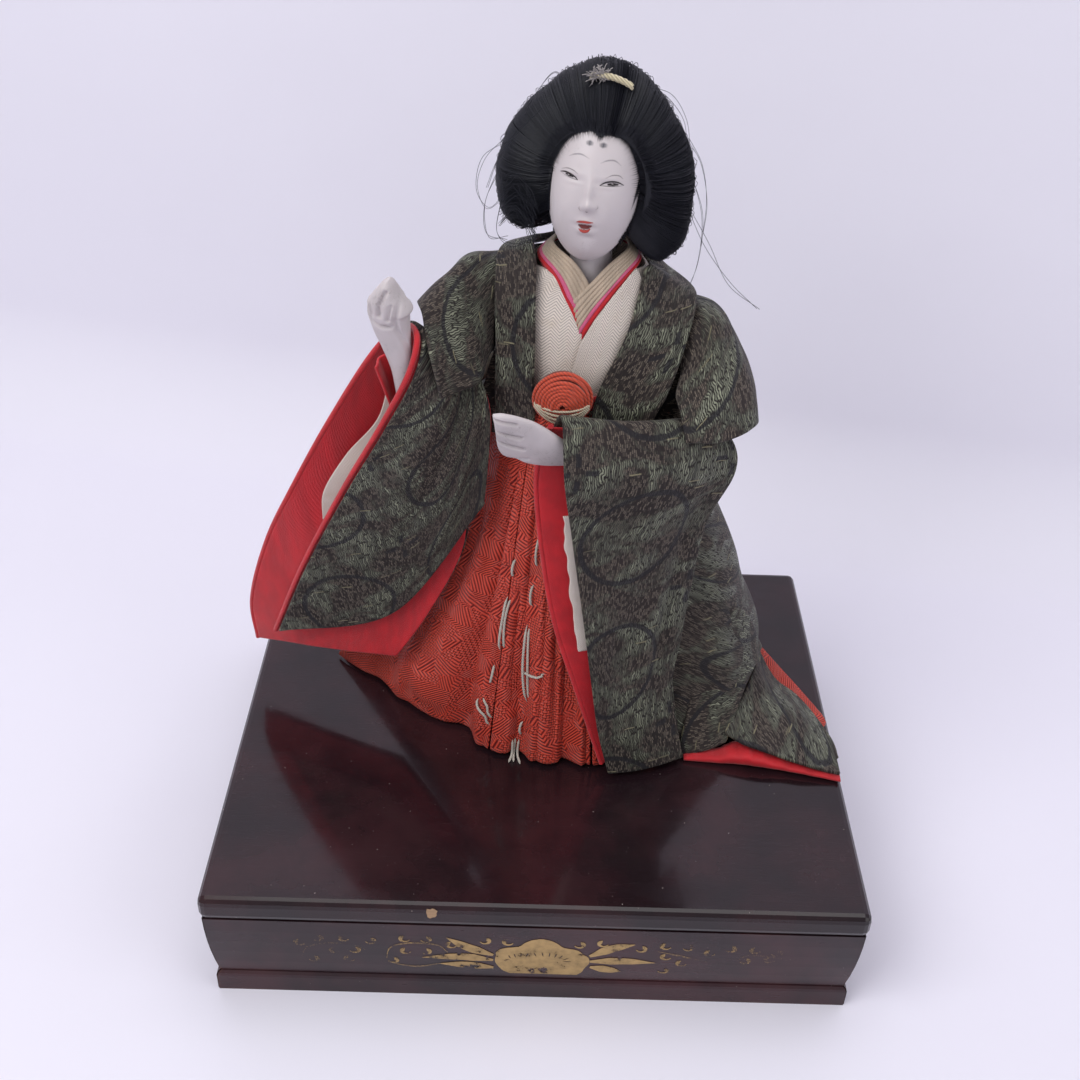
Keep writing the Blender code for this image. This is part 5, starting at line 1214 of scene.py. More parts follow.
def make_knot():
    """The waist knot: cord wound over a core, a smile of cream cord, and sash tails."""
    red = cord_silk("knot cord", colours().knot, 0.00075)
    # The core is painted much darker than the cord, as painted shade between the windings
    dark = plain_silk("knot core painted shade", toned(colours().knot, 0.35))
    cream = cord_silk("cream cord", (0.62, 0.52, 0.38), 0.0005)
    centre = Vector(placed(KNOT_CENTRE))
    core = ball_mesh("waist_knot_core", 40, 24, lambda x, y, z: centre + Vector((
        x * 0.0069, y * 0.0043 * (1 - 0.12 * exp(-((z + 0.35) / 0.3) ** 2)), z * 0.0069)))
    put_mesh("waist_knot_core", core, dark, "doll", "waist_knot")
    lines = []
    for k in range(9):
        radius = KNOT_RADIUS - 0.00078 * k
        reach = 132 - 4 * k
        line = []
        for turn in np.linspace(-reach, reach, 40):
            angle = radians(90 - turn)
            wobble = 0.00016 * noise.noise(Vector((k * 2.1, turn * 0.02, 0.3)))
            deep = -0.0045 * knot_front(radius, 0) - 0.0002 + wobble * 3
            tall = radius * sin(angle) * 0.98 - 0.00012 * k + wobble
            line.append(centre + Vector((radius * cos(angle), deep, tall)))
        lines.append(line)
    for k in range(8):
        height = -KNOT_RADIUS * (0.22 + 0.095 * k)
        chord = 0.97 * sqrt(KNOT_RADIUS ** 2 - height ** 2)
        line = []
        for share in np.linspace(-1, 1, 24):
            x, z = chord * share, height - 0.0005 * (1 - share * share)
            line.append(centre + Vector((x, -0.0043 * knot_front(x, z), z)))
        lines.append(line)
    threads("waist_knot_cord", lines, KNOT_CORD_RADIUS, red, (), sides=10)
    lines = []
    for k in range(4):
        line = []
        for share in np.linspace(-0.97, 0.93, 26):
            x = KNOT_RADIUS * share
            z = -KNOT_RADIUS * (0.12 + 0.02 * k + (0.16 + 0.17 * k) * (1 - share * share))
            line.append(centre + Vector((x, -0.0043 * knot_front(x, z) - 0.0008 - 0.0001 * k, z)))
        lines.append(line)
    threads("knot_cream_cord", lines, CREAM_CORD_RADIUS, cream, "knot_cord", sides=10)
    red_silk = plain_silk("sash tail silk", toned(colours().lining, 0.7))
    for name, start, end in (("sash_tail_right", -13, -3), ("sash_tail_left", -3, 6)):
        rows = []
        for angle in np.linspace(start, end, 14):
            heights = np.linspace(103.5 - abs(angle + 3) * 0.15, 111.8, 14)
            curl_out = 0.6 * sin(angle * 1.3) / 9
            rows.append([chest_point(height, radians(angle), 4.2 + curl_out * (112 - height))
                         for height in heights])
        cloth(name, rows, 0.0007, red_silk, (),
              turned=True)


# Robe


def trimmed(grid):
    """The lining reaches a little past the cuff, as a coloured rim."""
    outward = grid[:, -1] - grid[:, -2]
    grid = grid.copy()
    grid[:, -1] += outward / np.linalg.norm(outward, axis=1, keepdims=True) * RIM_REACH
    return grid


# Folds pressed into the sleeves, as creases() reads them
RIGHT_SLEEVE_CREASES = (
    (0.10, 0.62, 0.32, 0.30, -1.2, 3), (0.14, 0.80, 0.36, 0.52, 0.9, 3.5),
    (0.05, 0.35, 0.22, 0.12, 0.8, 3), (0.62, 0.55, 0.85, 0.80, -1.2, 4), (0.60, 0.20, 0.80, 0.40, 1, 4),
    (0.34, 0.10, 0.42, 0.45, -0.9, 2.5),
)
LEFT_SLEEVE_CREASES = (
    (0.12, 0.28, 0.44, 0.12, -1.4, 3.4), (0.20, 0.62, 0.46, 0.40, 0.9, 4),
    (0.06, 0.50, 0.30, 0.24, 0.8, 4.5), (0.38, 0.30, 0.47, 0.60, -0.9, 2.6),
    (0.10, 0.80, 0.34, 0.70, 0.6, 4),
)


# Small panels that close the robe at the armpits and side
GUSSETS = (
    ("robe_left_armpit", (((26, 4, 98), (28, 6, 107), (31, 8, 116), (32.5, 11, 124), (33.5, 14, 130)),
                          ((40, 1, 98), (40, 3, 107), (39, 6, 114), (38.5, 9, 121), (38, 12, 127)))),
    ("robe_right_armpit", (((-20, 6, 97), (-19, 7, 106), (-17, 9, 114), (-15, 11, 121)),
                           ((-12.5, 8, 96), (-12, 9, 105), (-12, 10, 114), (-12, 11, 121)))),
    ("robe_side_fold", (((41.5, -17.5, 0.8), (44, -11, 13), (47, -4, 26), (50, 3, 40)),
                        ((49.5, -18, 3), (53, -9, 15), (56, 0, 26), (60, 10, 36)),
                        ((56, -17, 6.2), (61, -5, 14), (66, 6, 17), (70, 18, 14)))),
)


def figured(name, grid, shift, turned=True, thickness=0.0012):
    """A panel of the figured robe; shift moves the woven figures over it, in metres."""
    finish = brocade("brocade " + name.replace("_", " "), shift)
    cloth(name + "_cloth", grid, thickness, finish, name, turned)


def make_robe():
    """The figured robe: back, collar, shoulders, sleeves with red linings, and the tail."""
    red = plain_silk("lining silk", colours().lining, 0.00028, 0.35, 0.42)
    back = sheet(ROBE_ROWS, 90, 90)
    back = shifted(back, waves(back, 0.028, 0.0020, 11, 2.5) + waves(back, 0.011, 0.0005, 21, 1.6))
    figured("robe_back", back, (0.013, 0.021))
    figured("robe_collar", swelled(sheet(LAPEL_ROWS, 15, 190), 0.016, 0.0007, 12, 0.6),
            (0.030, 0.0), thickness=0.0016)
    figured("robe_right_shoulder", swelled(sheet(RIGHT_SHOULDER_ROWS, 60, 50), 0.011, 0.0011, 13, 1.8),
            (0.007, 0.016))
    figured("robe_left_shoulder", swelled(sheet(LEFT_SHOULDER_ROWS, 60, 60), 0.011, 0.0011, 14, 0.6),
            (0.011, 0.009))
    make_sleeves(red)
    figured("robe_tail", swelled(sheet(TAIL_ROWS, 60, 50), 0.014, 0.0008, 17), (0.019, 0.004),
            turned=False)
    make_tail_lining(red)
    for name, sections in GUSSETS:
        gusset = swelled(sheet(sections, 30, 16), 0.008, 0.0006, len(name))
        finish = brocade("brocade " + name.replace("_", " "), (0.017, 0.006))
        cloth(name, gusset, 0.0010, finish, (), turned=True)


LINING_SHIFT = 0.0014
RIM_RADIUS = 0.0008
RIM_REACH = 0.0012
# Each sleeve: its sections, creases, swell height and seed, figure shift, and where its lining starts
SLEEVES = (
    ("right", RIGHT_SLEEVE_ROWS, RIGHT_SLEEVE_CREASES, 0.0009, 15, (0.004, 0.012), (0, 0)),
    ("left", LEFT_SLEEVE_ROWS, LEFT_SLEEVE_CREASES, 0.0008, 16, (0.042, 0.030), (81, 42)),
)


def make_sleeves(red):
    """Each sleeve's cloth, its red lining, and the lining's padded rim along the cuff."""
    for side, sections, lines, height, seed, shift, (row, column) in SLEEVES:
        plain = sheet(sections, 150, 64)
        folds = creases(plain, lines) + waves(plain, 0.022, height, seed, 2.2)
        figured(f"{side}_sleeve", shifted(plain, folds), shift,
                turned=False)
        inside = shifted(plain, folds - LINING_SHIFT)[row:, column:]
        reached = trimmed(inside)
        cloth(f"{side}_sleeve_inside", reached, 0.0008, red, f"{side}_sleeve_lining")
        rim = reached[:, -1] + normals(inside)[:, -1] * 0.0003
        threads(f"{side}_sleeve_rim", [rim], RIM_RADIUS, red, (), sides=12)


def walked(points):
    """How far along a line each of its points lies."""
    return np.concatenate([[0.0], np.cumsum(np.linalg.norm(np.diff(points, axis=0), axis=1))])


def loft_mesh(name, rings):
    """A closed solid through rings of points, with the cloth's coordinates round it."""
    rings = np.asarray(rings, float)
    rows, count = rings.shape[:2]
    along, across = walked(rings.mean(axis=1)), walked(rings[rows // 2])
    places = [(across[k], along[i]) for i in range(rows) for k in range(count)]
    mesh = mesh_of(name, rings.reshape(-1, 3), ring_faces(count, rows), places)
    bm = bmesh.new()
    bm.from_mesh(mesh)
    bmesh.ops.recalc_face_normals(bm, faces=bm.faces)
    bm.to_mesh(mesh)
    bm.free()
    mesh.set_sharp_from_angle(angle=radians(55))
    return mesh


def loft(name, rings, finish, body, stands_for):
    """A closed solid through rings, as one piece."""
    return put_mesh(name, loft_mesh(name, rings), finish, body, stands_for)


def rounded(value, power):
    """A cosine or sine bent towards a square ring, its sign kept."""
    return np.sign(value) * abs(value) ** power


TAIL_HEM_LOW = 0.3


def make_tail_lining(red):
    """The padded red hem under the robe's trailing edge."""
    rows = smooth_line(((43.5, -19.6, -15.4, 1.5),) + TAIL_HEM_ROWS, 64)
    rings = []
    for i, (x, front, back, top) in enumerate(rows):
        swell = 1 + 0.05 * sin(i * 0.9) + 0.03 * sin(i * 2.1)
        height = (top * swell - TAIL_HEM_LOW) / 2
        ring = []
        for angle in around(36):
            y = (front + back) / 2 + (back - front) / 2 * rounded(cos(angle), 0.55)
            ring.append((x, y, TAIL_HEM_LOW + height + height * rounded(sin(angle), 0.7)))
        rings.append(placed(ring))
    hem = loft("robe_tail_hem", rings, red, "doll", "robe_tail_lining")


def make_inner_sleeves():
    """Cream inner sleeves and the innermost red one round the raised forearm."""
    cream = herringbone_silk("inner sleeve silk", toned(colours().kosode, 1.05), 0.0005)
    red = plain_silk("under sleeve silk", colours().lining)
    right = swelled(sheet(RIGHT_INNER_ROWS, 50, 34), 0.009, 0.0008, 18, 1.6)
    cloth("right_inner_sleeve_cloth", right, 0.0008, cream, "right_inner_sleeve")
    left = swelled(sheet(LEFT_INNER_ROWS, 60, 14), 0.012, 0.0004, 19)
    for j in range(len(left)):
        sway = 0.0007 * noise.noise(Vector((j * 0.21, 4.4, 0.0)))
        left[j, :, 0] += sway * (1 - shares(len(left[j])))
    cloth("left_inner_sleeve_cloth", left, 0.0008, cream, "left_inner_sleeve")
    wrist = Vector(placed(RIGHT_WRIST))
    knuckle = Vector(placed(RIGHT_KNUCKLE))
    direction = (knuckle - wrist).normalized()
    side = direction.cross(Vector((0, 1, 0))).normalized()
    deepward = side.cross(direction)
    grid = []
    for angle in np.linspace(-35, 101, 34):
        outward = side * sin(radians(angle)) + deepward * cos(radians(angle))
        grid.append([tuple(wrist + direction * (0.0010 + 0.0140 * share)
                           + outward * (0.00409 + (0.0021 + 0.0003 * sin(angle * 0.13)) * share))
                     for share in shares(22)])
    cloth("right_under_sleeve_cloth", grid, 0.0008, red, "right_under_sleeve")


# Head and face; the face looks along -Y in the head's own frame

HEAD_CENTRE = (9.3, 13, 165.8)
HEAD_HALF = (11.6, 12.5, 19.6)
NECK_PLACE = (9.3, 15.6)


def head_matrix():
    """The head's place: turned to the doll's right, tipped and bowed a little."""
    turn = (Matrix.Rotation(radians(-11.0), 4, "Z") @ Matrix.Rotation(radians(4.5), 4, "Y")
            @ Matrix.Rotation(radians(-9.0), 4, "X"))
    return Matrix.Translation(Vector(placed(HEAD_CENTRE))) @ turn


# Relief of the face: place across and up as shares of the half sizes, widths, and height in millimetres
FACE_RELIEF = (
    (0.05, -0.165, 0.110, 0.065, 1.70), (0.03, -0.04, 0.080, 0.150, 0.95), (0, 0.12, 0.110, 0.16, 0.35),
    (0.175, -0.170, 0.050, 0.040, 0.40), (-0.075, -0.195, 0.050, 0.040, 0.40),
    (0.03, -0.375, 0.17, 0.033, 0.60), (0.03, -0.510, 0.14, 0.036, 0.62),
    (0.03, -0.440, 0.17, 0.022, -0.75),
    (0.03, -0.30, 0.045, 0.040, -0.18), (0.09, -0.590, 0.16, 0.040, -0.42), (0.13, -0.80, 0.28, 0.12, 0.95),
    (0.46, -0.27, 0.24, 0.22, 0.55), (-0.46, -0.27, 0.24, 0.22, 0.55),
    (0.38, 0.115, 0.20, 0.060, -0.55), (-0.38, 0.115, 0.20, 0.060, -0.55),
    (0.38, 0.185, 0.22, 0.045, 0.28), (-0.38, 0.185, 0.22, 0.045, 0.28),
    (0.38, 0.085, 0.19, 0.022, 0.42), (-0.38, 0.085, 0.19, 0.022, 0.42),
)


def head_point(direction, swell=0.0):
    """A point of the head in millimetres from a unit direction."""
    x, y, z = direction
    lower = max(0.0, -z)
    reach = [(half + swell) for half in HEAD_HALF]
    point = [reach[0] * x * (1 - 0.05 * lower ** 2), reach[1] * y * (1 - 0.16 * lower ** 2), reach[2] * z]
    if y < 0:
        relief = 0.0
        for at_x, at_z, wide, high, height in FACE_RELIEF:
            if abs(x - at_x) < 3 * wide and abs(z - at_z) < 3.5 * high:
                relief += height * exp(-((x - at_x) / wide) ** 2 - ((z - at_z) / high) ** 2)
        point[1] -= relief * (-y) ** 0.7
    return point


def head_surface(x, z, lift=0.0):
    """The face's point, in the scene's metres, at millimetres across and up from its middle."""
    share_x, share_z = x / HEAD_HALF[0], z / HEAD_HALF[2]
    inside = max(0.02, 1 - share_x ** 2 - share_z ** 2)
    point = Vector(head_point((share_x, -sqrt(inside), share_z)))
    point.y -= lift
    return head_matrix() @ (point * MM)


def make_head():
    """The head with its carved face, and the neck, covered in shell white."""
    white = shell_white("face white", colours().white, 0.25)
    matrix = head_matrix()
    mesh = ball_mesh("doll_head", 220, 160, lambda *way: matrix @ (Vector(head_point(way)) * MM))
    put_mesh("doll_head", mesh, white, "head", "head")
    rings = []
    for share in shares(24):
        z = 136.3 + 26 * share
        radius = 5.9 + 0.35 * sin(pi * share) - 0.9 * sin(pi * min(1.0, share * 1.2)) ** 2
        rings.append(placed([(NECK_PLACE[0] + radius * cos(a), NECK_PLACE[1] + radius * sin(a), z)
                             for a in around(48)]))
    loft("doll_neck", rings, white, "head", ())
    paint_face()


def along_stroke(values, share):
    """A value given at even places along a stroke, read at a share of its length."""
    return np.interp(share, shares(len(values)), values)


def brushed(points, widths, strengths, count=20, edges=((-1, 1), (1, 1))):
    """A stroke as rows of (across, up, strength), one point for each edge and its share of strength."""
    line = smooth_line(points, count)
    rows = []
    for share, point, way in zip(shares(count), line, directions(line)):
        half, strength = along_stroke(widths, share), along_stroke(strengths, share)
        rows.append([(point[0] - way[1] * half * k, point[1] + way[0] * half * k, strength * part)
                     for k, part in edges])
    return rows


def painting(name, strokes, place_of, finish, body):
    """Strokes, each given as rows of (across, up, strength), laid on a surface in one mesh."""
    vertices, faces, places = [], [], []
    for rows in strokes:
        base, count = len(vertices), len(rows[0])
        for x, z, strength in [spot for row in rows for spot in row]:
            vertices.append(place_of(x, z))
            places.append((strength, 0.0))
        for i in range(len(rows) - 1):
            for a in range(base + i * count, base + i * count + count - 1):
                faces.append((a, a + 1, a + count + 1, a + count))
    put_mesh(name, mesh_of(name, vertices, faces, places), finish, body, ())


BRUSH_EDGES = ((-1, 0), (-0.4, 1), (0.4, 1), (1, 0))


def ribbon(name, strokes, finish, lift=0.06):
    """Painted strokes laid on the face: points (across, up), half widths and strengths along each."""
    rows = [brushed(*stroke, 26, BRUSH_EDGES) for stroke in strokes]
    painting(name, rows, lambda x, z: head_surface(x, z, lift), finish, "head")


# Brush strokes on the face: points across and up, half widths and strengths, in millimetres
EYE_STROKES = (
    (((-7.8, 3.1), (-6.5, 3.45), (-5.1, 3.35), (-3.8, 2.9), (-3, 2.3)),
     (0.10, 0.24, 0.28, 0.24, 0.12), (0.8, 1, 1, 1, 0.8)),
    (((-7.6, 3), (-6, 2.6), (-4.6, 2.35), (-3, 2.3)), (0.06, 0.09, 0.10, 0.08), (0.3, 0.5, 0.6, 0.6)),
    (((-6.3, 3.05), (-5.3, 2.95), (-4.2, 2.75)), (0.20, 0.50, 0.22), (0.9, 1, 0.9)),
    (((2.5, 2), (3.7, 2.75), (5.2, 3.15), (6.6, 3), (7.9, 2.4)),
     (0.12, 0.26, 0.28, 0.24, 0.10), (0.8, 1, 1, 1, 0.8)),
    (((2.5, 2), (4.8, 2), (6.6, 2.1), (7.9, 2.4)), (0.08, 0.11, 0.10, 0.06), (0.6, 0.6, 0.5, 0.3)),
    (((4.2, 2.35), (5.5, 2.5), (6.7, 2.5)), (0.25, 0.52, 0.22), (0.9, 1, 0.9)),
)
GLINT_STROKES = (
    (((-5.75, 3), (-5.5, 3.02), (-5.25, 3)), (0.10, 0.14, 0.10), (0.8, 0.9, 0.8)),
    (((5.05, 2.6), (5.3, 2.62), (5.55, 2.6)), (0.10, 0.14, 0.10), (0.8, 0.9, 0.8)),
)
LID_STROKES = (
    (((-7.6, 3.8), (-6, 4.4), (-4.3, 4.3), (-3, 3.7)), (0.12, 0.17, 0.17, 0.10), (0.2, 0.5, 0.5, 0.2)),
    (((3.6, 3.8), (5, 4.6), (6.5, 4.6), (7.5, 3.9)), (0.10, 0.17, 0.17, 0.12), (0.2, 0.5, 0.5, 0.2)),
)
BROW_STROKES = (
    (((-6.2, 7.1), (-4.7, 7.9), (-3, 8.2), (-0.9, 7.6)), (0.14, 0.24, 0.24, 0.12), (0.1, 0.40, 0.40, 0.1)),
    (((1.8, 7), (3.3, 7.8), (5, 7.9), (6.7, 6.8)), (0.14, 0.24, 0.24, 0.12), (0.1, 0.40, 0.40, 0.1)),
)
DOT_STROKES = (
    (((-2.6, 10.9), (-1.6, 11), (-0.6, 10.9)), (0.45, 0.78, 0.45), (0.1, 0.75, 0.1)),
    (((0.7, 10.9), (1.7, 11), (2.7, 10.9)), (0.45, 0.78, 0.45), (0.1, 0.75, 0.1)),
)
MOUTH_STROKES = (
    (((-1.9, -7.8), (-1, -7.5), (0.1, -7.3), (1.1, -7.3), (2.3, -7.2)),
     (0.12, 0.42, 0.40, 0.42, 0.12), (0.7, 1, 1, 1, 0.7)),
    (((-1.2, -9.4), (-0.5, -9.75), (0.3, -9.85), (1.1, -9.6), (1.7, -9)),
     (0.12, 0.46, 0.56, 0.46, 0.12), (0.7, 1, 1, 1, 0.7)),
)
# The mouth's opening: partly the dark red paint inside the mouth, partly painted shade of the opening
GAPE_STROKES = (
    (((-1.4, -8.5), (-0.5, -8.7), (0.4, -8.7), (1.2, -8.5), (2, -8.1)),
     (0.20, 0.80, 0.95, 0.75, 0.15), (0.8, 1, 1, 1, 0.8)),
)
TEETH_STROKES = (
    (((-0.45, -8.1), (-0.1, -8.1), (0.2, -8.08)), (0.14, 0.18, 0.14), (0.6, 0.8, 0.6)),
    (((0.5, -8.05), (0.85, -8.02), (1.15, -8)), (0.14, 0.18, 0.14), (0.6, 0.8, 0.6)),
)
# Painted shade along the nose's wings and at its nostrils
NOSE_SHADE_STROKES = (
    (((-1.5, -3.4), (-1.6, -4.2), (-1.1, -4.8)), (0.10, 0.20, 0.10), (0, 0.45, 0.1)),
    (((0, -4.5), (0.4, -4.65), (0.8, -4.5)), (0.10, 0.20, 0.10), (0.2, 0.7, 0.2)),
    (((2.7, -2.6), (2.9, -3.3), (2.4, -3.9)), (0.10, 0.16, 0.10), (0, 0.30, 0.1)),
)
SIDELOCK_STROKES = (
    (((11.2, 3.5), (11, 1), (10.7, -1.5), (10.3, -4)), (0.5, 0.42, 0.28, 0.05), (1, 0.9, 0.7, 0.3)),
    (((-10.3, 3), (-10.2, 0.5), (-10, -3), (-9.8, -6)), (0.4, 0.30, 0.20, 0.05), (1, 0.8, 0.5, 0.2)),
)
HAIRLINE = (
    (-9.8, -7.5), (-10.2, -1.8), (-10.2, 3.7), (-9.2, 6.9), (-7.5, 10.2), (-4.8, 12.5), (-1.5, 13.6),
    (0.4, 12.8), (2, 13.3), (5.5, 12.8), (7.4, 11.3), (9.7, 7.1), (11.2, 2), (11.3, -3.2), (10.5, -7.7),
    (8.6, -12.8),
)


def paint_face():
    """Eyes, faint lids and brows, forehead dots, mouth and hairline, brushed on the white."""
    white = toned(colours().white, 1.15)
    ribbon("painted_eyes", EYE_STROKES, painted_line("eye black", (0.014, 0.009, 0.008), 0.35), lift=0.07)
    ribbon("painted_glints", GLINT_STROKES, painted_line("eye glint", white, 0.3), lift=0.12)
    ribbon("painted_lids", LID_STROKES, painted_line("lid grey", (0.20, 0.17, 0.17)))
    ribbon("painted_brows", BROW_STROKES, painted_line("brow grey", (0.24, 0.23, 0.25)))
    ribbon("painted_dots", DOT_STROKES, painted_line("dot grey", (0.13, 0.13, 0.15)))
    # The mouth's opening, darkened partly as painted shade
    ribbon("painted_gape", GAPE_STROKES, painted_line("mouth dark", (0.16, 0.022, 0.020), 0.5), lift=0.05)
    ribbon("painted_mouth", MOUTH_STROKES, painted_line("mouth red", (0.46, 0.055, 0.040), 0.4), lift=0.08)
    ribbon("painted_teeth", TEETH_STROKES, painted_line("teeth white", white, 0.4), lift=0.12)
    # Painted shade by the nose
    ribbon("painted_nose_shade", NOSE_SHADE_STROKES, painted_line("nose shade grey", (0.20, 0.15, 0.15)))
    black = painted_line("hairline black", (0.010, 0.010, 0.014))
    ribbon("painted_sidelocks", SIDELOCK_STROKES, black)
    chance = random.Random(3)
    edge = smooth_line(HAIRLINE, 141)
    strokes = []
    for x, z in edge[16:118]:
        inward = Vector((-x, 3 - z)).normalized()
        reach = chance.uniform(0.8, 1.9)
        start = (x - inward.x * 0.9, z - inward.y * 0.9)
        bend = (x + inward.x * 0.1 * reach + chance.uniform(-0.1, 0.1), z + inward.y * 0.1 * reach)
        end = (x + inward.x * reach, z + inward.y * reach)
        strokes.append(((start, bend, end), (0.20, 0.15, 0.04), (1, 0.85, 0)))
    ribbon("painted_hairline", strokes, black)


# Hair

# The combed hair across: place, centre deep and up, half depth and half height
HAIR_ROWS = (
    (-15.4, 20, 165, 1, 3), (-14.4, 20, 164, 4, 7), (-12, 20, 165.2, 7, 12.3),
    (-8, 19.5, 166.9, 9, 15.9), (-2, 19, 170.5, 11, 17.9), (3.5, 18.6, 173.6, 12.6, 18.6),
    (9.3, 18.2, 175.2, 13.4, 19.1), (15.5, 17.6, 173.8, 13.2, 19.8), (21, 16.8, 169.1, 12, 21.3),
    (26, 15.5, 164.8, 9.6, 20), (30, 14.5, 162.9, 7, 15.7), (32.6, 14, 161.9, 4, 11.3),
    (33.8, 14, 162.2, 1, 5),
)
HAIR_TABLE = smooth_line(HAIR_ROWS, 97)
HAIR_RIGHT, HAIR_LEFT = HAIR_ROWS[0][0], HAIR_ROWS[-1][0]
CROWN_RIGHT, CROWN_LEFT = -3.0, 21.8
HAIR_TAIL_LINE = ((9.2, 32.6, 172), (9.2, 36.4, 163), (9.2, 41, 154), (9.2, 42.6, 145),
                    (9.2, 42.6, 134), (9.2, 42.8, 122), (9.2, 43.6, 110), (9.2, 46, 98))


def hair_section(x):
    """Centre deep, centre up, half depth and half height of the hair at a place across."""
    return [np.interp(x, HAIR_TABLE[:, 0], HAIR_TABLE[:, i]) for i in (1, 2, 3, 4)]


def hair_masses():
    """The dense hair under the drawn strands, with room for the head and its face."""
    finish = hair_silk("hair mass", colours().hair)
    matrix = head_matrix()
    window_rings = []
    for y in (-30, 0):
        corners = [(12.6 * cos(a) + 0.4, y, (14.2 if sin(a) > 0 else 28) * sin(a)) for a in around(64)]
        window_rings.append([matrix @ (Vector(corner) * MM) for corner in corners])
    pieces = (("hair_right_wing", HAIR_RIGHT, CROWN_RIGHT),
              ("hair_crown", CROWN_RIGHT - 0.05, CROWN_LEFT + 0.05),
              ("hair_left_wing", CROWN_LEFT, HAIR_LEFT))
    for name, low, high in pieces:
        rings = []
        for x in np.linspace(low, high, 26):
            y, z, half_depth, half_height = hair_section(x)
            deep, tall = max(half_depth - 1.1, 0.3), max(half_height - 1.1, 0.6)
            rings.append(placed([(x, y + deep * cos(a), z + tall * sin(a)) for a in around(64)]))
        thing = loft(name + "_mass", rings, finish, "head", name)
        window = linked("window_room", loft_mesh("window_room", window_rings))
        taken = thing.modifiers.new("face window", "BOOLEAN")
        taken.operation = "DIFFERENCE"
        taken.object = window
        taken.solver = "EXACT"
        bake(thing)
        bpy.data.objects.remove(window, do_unlink=True)


def bake(thing):
    """Applies a piece's modifiers to its mesh."""
    bpy.context.view_layer.update()
    evaluated = thing.evaluated_get(bpy.context.evaluated_depsgraph_get())
    mesh = bpy.data.meshes.new_from_object(evaluated)
    thing.modifiers.clear()
    thing.data = mesh


HAIR_MIDDLE = Vector((9.3, 18, 169))
BACK_ANGLE = 168.0


def closed_tree(rings):
    """A tree for ray casts over rings of points in millimetres."""
    vertices = [tuple(point) for ring in rings for point in ring]
    return BVHTree.FromPolygons(vertices, ring_faces(len(rings[0]), len(rings)))


def hair_trees():
    """The combed hair's outside and the head's outside, in millimetres."""
    rings = []
    for x in np.linspace(HAIR_RIGHT, HAIR_LEFT, 74):
        y, z, half_depth, half_height = hair_section(x)
        rings.append([(x, y + half_depth * cos(a), z + half_height * sin(a)) for a in around(56)])
    head = []
    matrix = head_matrix()
    for tilt in np.linspace(2, 178, 40):
        wide, high = sin(radians(tilt)), cos(radians(tilt))
        head.append([measured(matrix @ (Vector(head_point((wide * cos(a), wide * sin(a), high))) * MM))
                     for a in around(48)])
    return closed_tree(rings), closed_tree(head)


def reach_of(tree, turn, tilt):
    """How far a tree's surface lies from the hair's middle: turn round the view, tilt from the front."""
    way = Vector((sin(tilt) * cos(turn), -cos(tilt), sin(tilt) * sin(turn)))
    hit = tree.ray_cast(HAIR_MIDDLE, way)
    return way, (hit[3] if hit[0] is not None else 0.0)


def hair_strand(trees, turn, start_tilt, lift, seed, rising):
    """A strand combed out from the face's edge, over the hair and back to the tail."""
    hair, head = trees
    line = []
    for share in shares(26):
        tilt = start_tilt + (radians(BACK_ANGLE) - start_tilt) * share ** 1.5
        bend = turn + 0.035 * noise.noise(Vector((seed * 3.1, share * 2.4, 1.7))) * share
        way, far = reach_of(hair, bend, tilt)
        near = reach_of(head, bend, tilt)[1] + 0.25
        outer = max(far, near + 0.15) + lift
        if rising:
            ease = min(1.0, max(0.0, (tilt - start_tilt) / radians(5.5)))
            ease = ease * ease * (3 - 2 * ease)
            outer = near + (outer - near) * ease if near > 1 else outer
        line.append(tuple(HAIR_MIDDLE + way * outer))
    return placed(line)


def make_hair():
    """Hair combed from the face's edge over wide side wings and a crown, strand by strand."""
    hair_masses()
    finish = hair_silk("hair strands", toned(colours().hair, 1.2))
    chance = random.Random(11)
    total = sizes().hair_strands
    trees = hair_trees()
    edge = smooth_line(HAIRLINE, 241)
    places = walked(edge)
    lines = {"right": [], "left": [], "crown": []}
    for k in range(total):
        under = k % 6 == 0
        if under:
            spot = chance.random()
            turn = radians(-52 - 26 * spot if k % 12 else 208 + 30 * spot)
            start_tilt = radians(chance.uniform(62, 84))
        else:
            place = places[-1] * (k + chance.random()) / total
            x, z = [np.interp(place, places, edge[:, i]) for i in (0, 1)]
            point = head_surface(x + chance.uniform(-0.25, 0.25), z + chance.uniform(-0.25, 0.25), 0.0)
            way = measured(point) - HAIR_MIDDLE
            turn = atan2(way.z, way.x)
            start_tilt = atan2(hypot(way.x, way.z), -way.y)
        groove = 0.30 * noise.noise(Vector((cos(turn) * 5, sin(turn) * 5, 0.4)))
        lift = groove + chance.uniform(-0.35, 0.15)
        if k % 9 == 0:
            lift += chance.uniform(0.0, 0.8)
        line = hair_strand(trees, turn, start_tilt, lift - 0.3 * under, k * 0.13, not under)
        side = "left" if cos(turn) > 0 else "right"
        lines["crown" if radians(42) < turn % (2 * pi) < radians(140) else side].append(line)
    radius = sizes().hair_radius
    for name in ("right", "left", "crown"):
        threads(f"hair_{name}_strands", lines[name], radius, finish, (), "head", sides=3)
    make_hair_tail(finish, chance)
    make_strays(finish, chance)
    make_tie()


